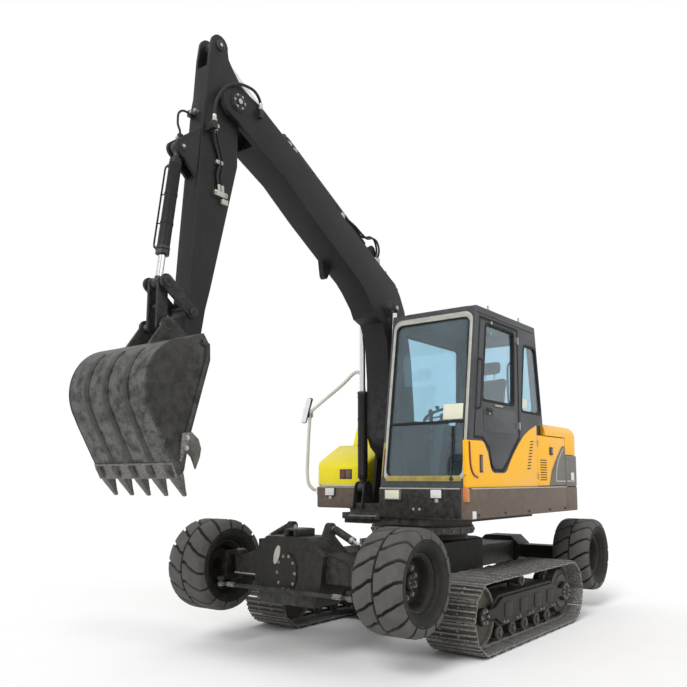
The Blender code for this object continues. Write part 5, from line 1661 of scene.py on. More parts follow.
# ---------------------------------------------------------------- working arm
@dataclass
class Cylinder:
    """A hydraulic cylinder: barrel with base cap, gland and ports, and a chromed rod with its eye.

    Attributes:
        prefix: Start of its two nodes' names.
        foot: Pin of the barrel.
        eye: Pin of the rod.
        across: Distance of its axis from the arm's centre plane.
        radius: Radius of the barrel.
        share: Where the barrel ends, as a share of the length between the pins.
        rod: Radius of the rod.
        half: Half the width of its eyes.
        retraction: How far the rod slides in from rest.
        pipe: Direction from the axis in which the feed pipe lies.
        neck: From the foot's pin to the start of the barrel.
    """

    prefix: str
    foot: Pair
    eye: Pair
    across: float
    radius: float
    share: float
    rod: float
    half: float
    retraction: float
    pipe: Point = (0.0, 0.0, 1.0)
    neck: float = 0.085

    def at(self, distance: float) -> Vector:
        """A point of its axis, measured from the foot and from the slew axis."""
        start = Vector((ARM_X + self.across, *self.foot))
        way = (Vector((ARM_X + self.across, *self.eye)) - start).normalized()
        return start + way * distance

    @property
    def length(self) -> float:
        """Distance between its pins."""
        return hypot(self.eye[0] - self.foot[0], self.eye[1] - self.foot[1])

    def barrel(self) -> None:
        """Builds the barrel with a bore for the rod."""
        end = self.share * self.length
        r, bore = self.radius, self.rod + 0.0035
        deep = self.neck + 0.03
        outside = [(bore, end - 0.002), (r * 0.9, end), (r + 0.0035, end - 0.004), (r + 0.0035, end - 0.03),
            (r * 0.97, end - 0.032), (r * 0.97, end - 0.038), (r + 0.003, end - 0.04),
            (r + 0.003, end - 0.06), (r, end - 0.064), (r, self.neck + 0.045),
            (r + 0.002, self.neck + 0.041), (r + 0.002, self.neck + 0.034), (r, self.neck + 0.03),
            (r, self.neck + 0.008), (r * 0.86, self.neck), (r * 0.55, self.neck - 0.012),
            (POLE, self.neck - 0.012), (POLE, deep), (bore, deep + 0.001)]
        way = self.at(1.0) - self.at(0.0)
        shape = Shape(CHARCOAL)
        shape.turned(outside, self.at(0.0), way, 36, ring=True)
        shape.rod(self.at(0.0), self.at(self.neck), self.half * 0.8, steps=20)
        x = ARM_X + self.across
        eye = [(PIN_BORE, self.half), (0.04, self.half), (0.045, self.half - 0.004),
            (0.045, 0.004 - self.half), (0.04, -self.half), (PIN_BORE, -self.half)]
        shape.turned(eye, (x, *self.foot), steps=28, ring=True)
        shape.rod((x - self.half - 0.002, *self.foot), (x + self.half + 0.002, *self.foot), PIN_RADIUS,
            ZINC)
        side = Vector(self.pipe).normalized()
        side = (side - way.normalized() * side.dot(way.normalized())).normalized()
        for place in (self.neck + 0.055, end - 0.05):
            shape.rod(self.at(place) + side * r * 0.8, self.at(place) + side * (r + 0.012), 0.014, CHARCOAL,
                6)
        run = [self.at(self.neck + 0.055) + side * (r + 0.012),
            self.at(self.neck + 0.06) + side * (r + 0.021), self.at(self.neck + 0.08) + side * (r + 0.026),
            self.at(end - 0.08) + side * (r + 0.026), self.at(end - 0.055) + side * (r + 0.021),
            self.at(end - 0.05) + side * (r + 0.012)]
        shape.tube([Vector((p.x, p.y + SLEW_Y, p.z)) for p in run], 0.0065, SEAL, 10)
        for place in (0.38, 0.68):
            middle = self.at(self.neck + (end - self.neck) * place)
            band = [(r + 0.0002, -0.009), (r + 0.0025, -0.009), (r + 0.0025, 0.009), (r + 0.0002, 0.009)]
            shape.turned(band, middle, way, 36, SEAL, ring=True)
            shape.rod(middle + side * r, middle + side * (r + 0.034), 0.0045, SEAL, 8)
        shape.finish_piece(f"{self.prefix}_barrel", BODY_OF[f"{self.prefix}_cylinder"],
            [f"{self.prefix}_cylinder"])

    def piston_rod(self) -> None:
        """Builds the rod and its eye."""
        shape = Shape(CHROME)
        start = self.neck + 0.04 + self.retraction
        shape.rod(self.at(start), self.at(self.length - self.rod * 1.3), self.rod, steps=32)
        x = ARM_X + self.across
        outer = self.rod * 1.45
        shape.turned([(PIN_BORE, self.half), (outer - 0.003, self.half), (outer, self.half - 0.003),
            (outer, 0.003 - self.half), (outer - 0.003, -self.half), (PIN_BORE, -self.half)],
            (x, *self.eye), steps=28, finish=CHARCOAL, ring=True)
        shape.rod((x - self.half - 0.001, *self.eye), (x + self.half + 0.001, *self.eye), PIN_RADIUS, ZINC)
        shape.rod(self.at(self.length - outer * 1.25), self.at(self.length - outer * 0.6), self.rod * 1.12,
            CHARCOAL)
        shape.finish_piece(f"{self.prefix}_rod_turned", BODY_OF[f"{self.prefix}_rod"],
            [f"{self.prefix}_rod"])

    def build(self) -> None:
        """Builds both halves."""
        self.barrel()
        self.piston_rod()


@dataclass
class Boom:
    """The bent box boom with its pin covers, pipes and clamps.

    Attributes:
        half: Half its width.
        tip: Pin of the stick.
        lift: Pin of the lift cylinders.
        pipe: Radius of a hard pipe.
    """

    half: float = 0.13
    tip: Pair = (-2.6, 4.17)
    lift: Pair = (-0.61, 2.97)
    pipe: float = 0.01

    TOP = ((-0.3, 2.88), (-0.423, 3.136), (-0.505, 3.235), (-0.64, 3.305), (-1.28, 3.645), (-1.9, 4.008),
        (-2.3, 4.213))

    def covers(self) -> None:
        """Builds the covers and bolts of its pins."""
        shape = Shape(CHARCOAL)
        bolts = []
        for side in (-1, 1):
            x = ARM_X + side * (self.half + 0.0102)
            shape.turned([(0.001, 0.0), (0.056, 0.0), (0.06, 0.002), (0.06, 0.008), (0.046, 0.012),
                (0.001, 0.012)], (x, *self.tip), (side, 0, 0), 36)
            shape.turned([(0.001, 0.0), (0.018, 0.0), (0.02, 0.002), (0.02, 0.008), (0.001, 0.009)],
                (x + side * 0.012, *self.tip), (side, 0, 0), 20, ZINC)
            bolts += [((x + side * 0.0105, self.tip[0] + 0.05 * cos(a), self.tip[1] + 0.05 * sin(a)),
                (side, 0, 0)) for a in (pi / 3 * i for i in range(6))]
            face = ARM_X + side * (self.half + 0.0092)
            shape.turned([(0.001, 0.0), (0.05, 0.0), (0.054, 0.002), (0.054, 0.005), (0.001, 0.006)],
                (face, *self.lift), (side, 0, 0), 32, CHARCOAL)
        shape.finish_piece("boom_pin_covers", BODY_OF["boom"])
        bolt_heads("boom_pin_bolts", BODY_OF["boom"], bolts, 0.015, ZINC)

    def pipes(self) -> None:
        """Builds the hard pipes along its top, their clamps, and the loops over the bracket."""
        shape = Shape(CHARCOAL)
        lift = 0.026
        for across in (-0.112, -0.084):
            line = [(ARM_X + across, y - 0.006 * lift, z + lift) for y, z in self.TOP]
            last = line[-1]
            line.append((last[0], last[1] - 0.03, last[2] - 0.02))
            shape.tube(smooth_route(from_slew(line), 5), self.pipe, CHARCOAL, 12)
        shape.finish_piece("boom_pipes", BODY_OF["boom"])

        clamps = Shape(CHARCOAL)
        bolts = []
        for start, end in zip(self.TOP[3:], self.TOP[4:]):
            for share in (0.2, 0.75):
                y = start[0] + (end[0] - start[0]) * share
                z = start[1] + (end[1] - start[1]) * share
                clamps.block((ARM_X - 0.128, ARM_X - 0.068), (y - 0.014, y + 0.014), (z - 0.012, z + 0.04),
                    bevel=0.004)
                bolts.append(((ARM_X - 0.098, y, z + 0.04), (0, 0, 1)))
        clamps.finish_piece("boom_pipe_clamps", BODY_OF["boom"])
        bolt_heads("boom_clamp_bolts", BODY_OF["boom"], bolts, 0.014, TRACK)

        loops = Shape(HOSE)
        for across, rise in ((0.108, 0.0), (0.08, 0.018)):
            x = ARM_X + across
            line = [(x, -1.3, 3.69), (x, -1.24, 3.672 + rise), (x, -1.12, 3.64 + rise), (x, -1.0, 3.59),
                (x, -0.93, 3.575 + rise), (x, -0.85, 3.6 + rise), (x, -0.78, 3.585 + rise),
                (x, -0.745, 3.52), (x, -0.76, 3.45), (x, -0.79, 3.405)]
            loops.tube(smooth_route(from_slew(line), 4), 0.0095, HOSE, 12)
        bracket = (ARM_X + 0.072, ARM_X + 0.124)
        loops.block(bracket, (-0.83, -0.75), (3.37, 3.425), PALE, 0.004)
        loops.block((ARM_X + 0.07, ARM_X + 0.126), (-1.33, -1.29), (3.65, 3.705), ZINC, 0.004)
        loops.finish_piece("boom_hose_loops", BODY_OF["boom"])

        knobs = Shape(ZINC)
        knobs.block((ARM_X + 0.085, ARM_X + 0.127), (-2.08, -1.99), (4.035, 4.09), bevel=0.008)
        knobs.block((ARM_X + 0.085, ARM_X + 0.127), (-1.975, -1.925), (3.99, 4.06), bevel=0.008)
        knobs.rod((ARM_X + 0.105, -2.06, 4.05), (ARM_X + 0.105, -2.085, 4.115), 0.01)
        knobs.block((ARM_X + 0.095, ARM_X + 0.127), (-0.67, -0.64), (3.29, 3.33), bevel=0.004)
        knobs.block((ARM_X + 0.095, ARM_X + 0.127), (-0.485, -0.45), (3.17, 3.205), bevel=0.004)
        knobs.finish_piece("boom_fittings", BODY_OF["boom"])

    def build(self) -> None:
        """Builds the boom."""
        softened("boom", CHARCOAL, 0.01)
        self.covers()
        self.pipes()


@dataclass
class Stick:
    """The stick with its nose, its pipes and clamps, and the fittings of its hoses.

    Attributes:
        half: Half its width.
    """

    half: float = 0.073

    def side_lines(self) -> None:
        """Builds the short hoses and clamps on its left face, beside the boom's tip."""
        face = ARM_X + self.half
        lines = Shape(HOSE)
        for dx, shift in ((0.014, 0.0), (0.014, 0.034)):
            line = [(face + dx, -2.806 + shift, 3.905), (face + dx + 0.012, -2.8 + shift, 3.85),
                (face + dx + 0.004, -2.775 + shift, 3.79), (face + dx, -2.74 + shift, 3.72),
                (face + dx + 0.006, -2.732 + shift, 3.64), (face + dx, -2.745 + shift, 3.56),
                (face + dx, -2.73 + shift, 3.47)]
            lines.tube(smooth_route(from_slew(line), 5), 0.0095, HOSE, 12)
        lines.finish_piece("stick_side_hoses", BODY_OF["stick"])
        fittings = Shape(ZINC)
        for dy in (0.0, 0.034):
            for start, end in (((-2.806, 3.912), (-2.803, 3.87)), ((-2.732, 3.495), (-2.728, 3.44))):
                fittings.rod((face + 0.015, start[0] + dy, start[1]), (face + 0.015, end[0] + dy, end[1]),
                    0.013, ZINC, 6)
        fittings.block((face - 0.002, face + 0.03), (-2.775, -2.655), (3.405, 3.445), bevel=0.005)
        fittings.block((face - 0.002, face + 0.022), (-2.7, -2.64), (3.36, 3.4), PALE, bevel=0.005)
        fittings.block((face - 0.002, face + 0.026), (-2.815, -2.745), (3.915, 3.945), bevel=0.005)
        fittings.block((face - 0.002, face + 0.026), (-2.765, -2.7), (3.645, 3.675), bevel=0.005)
        fittings.finish_piece("stick_side_fittings", BODY_OF["stick"])
        bolts = [((face + 0.0265, y, 3.66), (1, 0, 0)) for y in (-2.75, -2.715)]
        bolts += [((face + 0.0305, y, 3.425), (1, 0, 0)) for y in (-2.765, -2.665)]
        bolt_heads("stick_clamp_bolts", BODY_OF["stick"], bolts, 0.014, ZINC)

    def front_lines(self) -> None:
        """Builds the fittings on its front face and the pair of blank scuff plates."""
        front = Shape(ZINC)
        for x in (-0.022, 0.024):
            front.rod((ARM_X + x, -2.885, 4.008), (ARM_X + x, -2.925, 4.008), 0.013, ZINC, 6)
        front.block((ARM_X - 0.064, ARM_X - 0.04), (-2.902, -2.88), (3.56, 3.6), PALE, 0.003)
        front.block((ARM_X - 0.064, ARM_X - 0.04), (-2.904, -2.882), (3.64, 3.67), WINE, 0.003)
        front.rod((ARM_X - 0.047, -3.0185, 3.78), (ARM_X - 0.047, -2.955, 3.78), 0.013, ZINC, 6)
        front.finish_piece("stick_front_fittings", BODY_OF["stick"])

    def pins(self) -> None:
        """Builds the covers on its nose's pin and on the ears of its cylinder."""
        shape = Shape(CHARCOAL)
        eye = (-2.74, 4.575)
        for side in (-1, 1):
            shape.turned([(0.001, 0.0), (0.036, 0.0), (0.039, 0.002), (0.039, 0.01), (0.03, 0.014),
                (0.001, 0.014)], (ARM_X + side * self.half, *eye), (side, 0, 0), 28, CHARCOAL)
            shape.turned([(0.001, 0.0), (0.014, 0.0), (0.014, 0.004), (0.001, 0.005)],
                (ARM_X + side * (self.half + 0.014), *eye), (side, 0, 0), 16, ZINC)
        foot = (-3.04, 3.68)
        shape.rod((ARM_X - 0.066, *foot), (ARM_X + 0.066, *foot), 0.03, CHARCOAL)
        shape.rod((ARM_X + 0.062, *foot), (ARM_X + 0.07, *foot), 0.012, ZINC)
        shape.finish_piece("stick_pin_covers", BODY_OF["stick"])

    def build(self) -> None:
        """Builds the stick."""
        softened("stick", CHARCOAL, 0.007)
        self.side_lines()
        self.front_lines()
        self.pins()


@dataclass
class Bucket:
    """The bucket: rolled shell, side plates, ears, edge with five teeth, and side cutters.

    Attributes:
        half: Half its width.
        wall: Thickness of the shell.
        side: Thickness of a side plate.
        teeth: Number of teeth.
        spread: From one tooth to the next.
        centre: Centre of its round back.
        back: Radius of its round back.
    """

    half: float = 0.4
    wall: float = 0.02
    side: float = 0.018
    teeth: int = 5
    spread: float = 0.175
    centre: Pair = (-3.22, 1.933)
    back: float = 0.315

    def shell(self, shape: Shape) -> None:
        """Adds the rolled shell, its side plates with their rims, and the scuff strips."""
        outer = [(-3.272, 1.384), (-3.462, 1.715)] + arc(self.centre, self.back, 212, 95,
            22) + [(-3.105, 2.3)]
        inner = ([(-3.11, 2.272)] + arc(self.centre, self.back - self.wall, 95, 212, 22) + [(-3.444, 1.724),
            (-3.25, 1.372)])
        low, high = ARM_X - self.half, ARM_X + self.half
        shape.prism(outer + inner, low + 0.001, high - 0.001)
        plate = outer + [(-3.055, 2.235), (-3.05, 2.13), (-3.19, 1.66), (-3.23, 1.42)]
        rim = [(-3.112, 2.262), (-3.055, 2.236), (-3.05, 2.13), (-3.19, 1.66), (-3.2, 1.6), (-3.236, 1.602),
            (-3.228, 1.668), (-3.09, 2.136), (-3.094, 2.212), (-3.12, 2.226)]
        for inner_x, outer_x in ((self.half - self.side, self.half), (-self.half, self.side - self.half)):
            shape.prism(plate, ARM_X + inner_x, ARM_X + outer_x, bevel=0.004)
        for side in (-1, 1):
            a, b = sorted((ARM_X + side * (self.half - 0.001), ARM_X + side * (self.half + 0.007)))
            shape.prism(rim, a, b, bevel=0.003)
        for across in (-0.2, 0.0, 0.2):
            path_out = [(-3.3, 1.432), (-3.4665, 1.714)] + arc(self.centre, self.back + 0.0055, 212, 130,
                14)
            path_in = arc(self.centre, self.back - 0.004, 130, 212, 14) + [(-3.456, 1.718), (-3.292, 1.43)]
            shape.prism(path_out + path_in, ARM_X + across - 0.028, ARM_X + across + 0.028, bevel=0.0015)
        shape.prism([(-3.28, 1.372), (-3.33, 1.466), (-3.318, 1.474), (-3.262, 1.372)], low + 0.004,
            high - 0.004, finish=TOOTH, bevel=0.003)

    def tooth_items(self, shape: Shape) -> None:
        """Adds each tooth: its adapter, its tapered point and its pin."""
        for i in range(self.teeth):
            x = ARM_X + (i - (self.teeth - 1) / 2) * self.spread
            adapter = [(-3.335, 1.446), (-3.286, 1.5), (-3.246, 1.436), (-3.222, 1.384), (-3.262, 1.36),
                (-3.302, 1.392)]
            shape.prism(adapter, x - 0.03, x + 0.03, finish=BUCKET, bevel=0.006)
            root_a, root_b = Vector((x, -3.299, 1.398)), Vector((x, -3.224, 1.418))
            tip_a, tip_b = Vector((x, -3.186, 1.262)), Vector((x, -3.172, 1.268))
            rings = []
            for share, half in ((0.0, 0.034), (0.35, 0.031), (0.75, 0.019), (1.0, 0.013)):
                a, b = root_a.lerp(tip_a, share), root_b.lerp(tip_b, share)
                swell = Vector((0.0, -0.004, 0.004)) * sin(share * pi)
                rings.append([p + Vector((dx, SLEW_Y, 0.0)) + swell for p,
                    dx in ((a, -half), (a, half), (b, half), (b, -half))])
            shape.loft(rings, TOOTH, 0.003)
            shape.rod((x - 0.0365, -3.256, 1.392), (x + 0.0365, -3.256, 1.392), 0.009, ZINC, 12)

    def cutters(self, shape: Shape) -> list[tuple[Point, Point]]:
        """Adds the side cutters, and returns the places of their bolts."""
        outline = [(-3.262, 1.65), (-3.19, 1.662), (-3.132, 1.618), (-3.11, 1.56), (-3.118, 1.508),
            (-3.15, 1.43), (-3.164, 1.462), (-3.186, 1.505), (-3.214, 1.528), (-3.244, 1.51),
            (-3.262, 1.47), (-3.276, 1.48)]
        bolts: list[tuple[Point, Point]] = []
        for side in (-1, 1):
            a, b = sorted((ARM_X + side * (self.half - 0.004), ARM_X + side * (self.half + 0.0118)))
            shape.prism(outline, a, b, finish=TOOTH, bevel=0.003)
            bolts += [((ARM_X + side * (self.half + 0.0118), y, z), (side, 0, 0)) for y,
                z in ((-3.225, 1.625), (-3.23, 1.56))]
        return bolts

    def ears(self, shape: Shape) -> None:
        """Adds the two ears with their bosses, pins and the strap between them."""
        pivot, lever = pin("bucket_tilt"), (-0.223, 0.17)
        link = (pivot[0] + lever[0], pivot[1] + lever[1])
        outline = arc(pivot, 0.068, -60, 60, 10) + arc(link, 0.05, 50, 190, 10) + [(-3.33, 2.215),
            (-3.18, 2.15)]
        for side in (-1, 1):
            a, b = sorted((ARM_X + side * 0.104, ARM_X + side * 0.126))
            shape.prism(outline, a, b, bevel=0.004)
            for place in (pivot, link):
                x = ARM_X + side * 0.1255
                shape.turned([(0.001, 0.0), (0.04, 0.0), (0.043, 0.002), (0.043, 0.004), (0.03, 0.0063),
                    (0.001, 0.0065)], (x, *place), (side, 0, 0), 28)
        shape.rod((ARM_X - 0.106, *pivot), (ARM_X - 0.0735, *pivot), 0.03, ZINC)
        shape.rod((ARM_X + 0.0735, *pivot), (ARM_X + 0.106, *pivot), 0.03, ZINC)
        for side in (-1, 1):
            shape.rod((ARM_X + side * 0.106, *link), (ARM_X + side * 0.0605, *link), 0.026, ZINC)

    def build(self) -> None:
        """Builds the bucket as one piece, with its bolts."""
        shape = Shape(BUCKET)
        self.shell(shape)
        self.tooth_items(shape)
        self.ears(shape)
        places = self.cutters(shape)
        shape.finish_piece("bucket_built", BODY_OF["bucket"], ["bucket"])
        bolt_heads("bucket_cutter_bolts", BODY_OF["bucket"], places, 0.026, ZINC)


@dataclass
class Linkage:
    """The rocker and the link between the bucket cylinder and the bucket."""

    lever: Pair = (-0.223, 0.17)
    rocker_faces: Pair = (0.08, 0.1)
    link_faces: Pair = (0.036, 0.058)

    @staticmethod
    def bar(first: Pair, first_radius: float, second: Pair, second_radius: float) -> list[Pair]:
        """The outline round two circles and the straight sides between them."""
        angle = atan2(second[1] - first[1], second[0] - first[0]) * 180 / pi
        return (arc(first, first_radius, angle + 90, angle + 270, 12) + arc(second, second_radius,
            angle - 90, angle + 90, 12))

    def build(self) -> None:
        """Builds both, with their pins."""
        foot = pin("rocker_swing")
        eye = (foot[0] + self.lever[0], foot[1] + self.lever[1])
        tilt = pin("bucket_tilt")
        low = (tilt[0] + self.lever[0], tilt[1] + self.lever[1])
        rocker, link = Shape(CHARCOAL), Shape(CHARCOAL)
        for side in (-1, 1):
            a, b = sorted((ARM_X + side * self.rocker_faces[0], ARM_X + side * self.rocker_faces[1]))
            rocker.prism(self.bar(foot, 0.044, eye, 0.051), a, b, bevel=0.004)
            for place, radius in ((foot, 0.028), (eye, 0.034)):
                rocker.turned([(0.001, 0.0), (radius, 0.0), (radius + 0.002, 0.002),
                    (radius + 0.002, 0.012), (radius * 0.8, 0.016), (0.001, 0.016)],
                    (b if side > 0 else a, *place), (side, 0, 0), 24)
            a, b = sorted((ARM_X + side * self.link_faces[0], ARM_X + side * self.link_faces[1]))
            link.prism(self.bar(eye, 0.041, low, 0.043), a, b, bevel=0.004)
            link.turned([(0.001, 0.0), (0.026, 0.0), (0.028, 0.002), (0.028, 0.0015), (0.001, 0.0018)],
                (b if side > 0 else a, *low), (side, 0, 0), 24)
        rocker.rod((ARM_X - 0.099, *foot), (ARM_X + 0.099, *foot), 0.0215, ZINC)
        for side in (-1, 1):
            rocker.rod((ARM_X + side * 0.0585, *eye), (ARM_X + side * 0.082, *eye), 0.024, ZINC)
        middle = (eye[0] + (low[0] - eye[0]) * 0.55, eye[1] + (low[1] - eye[1]) * 0.55)
        link.rod((ARM_X - 0.05, *middle), (ARM_X + 0.05, *middle), 0.0175, CHARCOAL)
        rocker.finish_piece("rocker_plates", BODY_OF["rocker"], ["rocker"])
        link.finish_piece("bucket_link_plates", BODY_OF["bucket_link"], ["bucket_link"])


@dataclass
class WorkingArm:
    """Boom, stick, bucket, linkage and their four cylinders."""

    parts: Sequence[object] = field(default_factory=lambda: [Boom(), Stick(), Bucket(), Linkage(),
        Cylinder("left_boom", (-0.605, 1.29), (-0.61, 2.97), 0.185, 0.046, 0.545, 0.028, 0.04, 0.515,
        (0, 1, 0)), Cylinder("right_boom", (-0.605, 1.29), (-0.61, 2.97), -0.185, 0.046, 0.545, 0.028, 0.04,
        0.515, (0, 1, 0)), Cylinder("stick", (-0.8, 3.5), (-2.74, 4.575), 0.0, 0.048, 0.62, 0.03, 0.044,
        0.485), Cylinder("bucket", (-3.04, 3.68), (-3.168, 2.679), 0.0, 0.043, 0.8, 0.025, 0.031, 0.125,
        (-0.85, -0.5, 0)),])

    def build(self) -> None:
        """Builds its parts in order."""
        for part in self.parts:
            part.build()


# ---------------------------------------------------------------- cab
def eased(outline: Outline, radius: float, steps: int = 4) -> list[Pair]:
    """An outline with its corners rounded.

    Args:
        outline: Its corners.
        radius: How far along both edges a corner's curve starts.
        steps: Number of stretches in each curve.

    Returns:
        The outline's points.
    """
    points: list[Pair] = []
    count = len(outline)
    for i, corner in enumerate(outline):
        here = Vector(corner)
        before, after = Vector(outline[i - 1]), Vector(outline[(i + 1) % count])
        start = here + (before - here).normalized() * min(radius, (before - here).length * 0.45)
        end = here + (after - here).normalized() * min(radius, (after - here).length * 0.45)
        for k in range(steps + 1):
            t = k / steps
            at = start * (1 - t) ** 2 + here * 2 * t * (1 - t) + end * t ** 2
            points.append((at.x, at.y))
    return points


def drawn_in(outline: Outline, amount: float) -> list[Pair]:
    """An outline whose corners are moved towards its middle, or away from it if the amount is below 0."""
    middle = Vector((sum(p[0] for p in outline) / len(outline), sum(p[1] for p in outline) / len(outline)))
    moved = []
    for point in outline:
        away = Vector(point) - middle
        moved.append((point[0] - amount * (1 if away.x > 0 else -1),
            point[1] - amount * (1 if away.y > 0 else -1)))
    return moved


@dataclass
class Cushion:
    """A padded cloth piece, blown up from a smaller start shape, with a welt round it.

    Attributes:
        name: Name of the piece.
        outline: Its side view, as (y, z).
        half: Half its width.
        centre: Its middle's x.
        normal: Direction across its thickness, as (y, z).
        swell: How far its faces may move out.
        cell: Size of its cells before the last subdivision.
    """

    name: str
    outline: Outline
    half: float
    centre: float
    normal: Pair
    swell: float = 0.024
    cell: float = 0.008

    def baked(self, thing: bpy.types.Object) -> bpy.types.Mesh:
        """The object's mesh with its modifiers applied."""
        graph = bpy.context.evaluated_depsgraph_get()
        graph.update()
        return bpy.data.meshes.new_from_object(thing.evaluated_get(graph))

    def start(self) -> bpy.types.Object:
        """The start shape, in even cells."""
        shape = Shape(SEAT, self.centre)
        width = self.half - self.swell
        shape.prism(drawn_in(self.outline, self.swell * 0.8), -width, width, bevel=0.03, segments=4)
        thing = bpy.data.objects.new(self.name, shape.data())
        bpy.context.scene.collection.objects.link(thing)
        remesh = thing.modifiers.new("cells", "REMESH")
        remesh.mode = "VOXEL"
        remesh.voxel_size = self.cell
        mesh = self.baked(thing)
        thing.modifiers.clear()
        thing.data = mesh
        return thing

    def blown_up(self) -> bpy.types.Mesh:
        """Runs the cloth and returns the filled-out mesh."""
        thing = self.start()
        rest = [v.co.copy() for v in thing.data.vertices]
        cloth = thing.modifiers.new("cloth", "CLOTH")
        cloth.settings.use_pressure = True
        cloth.settings.uniform_pressure_force = 4.0
        cloth.settings.effector_weights.gravity = 0.0
        cloth.settings.quality = 5
        cloth.settings.mass = 0.3
        scene = bpy.context.scene
        for step in range(1, 21):
            scene.frame_set(step)
        mesh = self.baked(thing)
        scene.frame_set(1)
        bpy.data.objects.remove(thing)
        for vertex, before in zip(mesh.vertices, rest):
            move = vertex.co - before
            if move.length > self.swell:
                vertex.co = before + move.normalized() * self.swell
        smooth = bpy.data.objects.new(self.name + "_smooth", mesh)
        scene.collection.objects.link(smooth)
        finer = smooth.modifiers.new("finer", "SUBSURF")
        finer.levels = finer.render_levels = 1
        result = self.baked(smooth)
        bpy.data.objects.remove(smooth)
        return result

    def welt(self, mesh: bpy.types.Mesh) -> None:
        """Lays a welt along the widest line round the filled-out mesh."""
        tree = BVHTree.FromPolygons([v.co for v in mesh.vertices], [p.vertices for p in mesh.polygons])
        middle = sum((v.co for v in mesh.vertices), Vector()) / len(mesh.vertices)
        across = Vector((1.0, 0.0, 0.0))
        along = Vector((0.0, *self.normal)).normalized().cross(across).normalized()
        line = []
        for i in range(72):
            way = across * cos(2 * pi * i / 72) + along * sin(2 * pi * i / 72)
            hit = tree.ray_cast(middle + way * 1.5, -way)[0]
            if hit is not None:
                line.append(hit)
        shape = Shape(PLASTIC)
        shape.tube(smooth_route(line + line[:2], 2), 0.0045, PLASTIC, 8)
        shape.finish_piece(self.name + "_welt", BODY_OF["seat"])

    def build(self, stands_for: Sequence[str] = ()) -> None:
        mesh = self.blown_up()
        mesh.materials.clear()
        mesh.materials.append(SEAT.material())
        soft_shading(mesh, 80.0)
        self.welt(mesh)
        show(mesh, self.name, BODY_OF["seat"], stands_for)


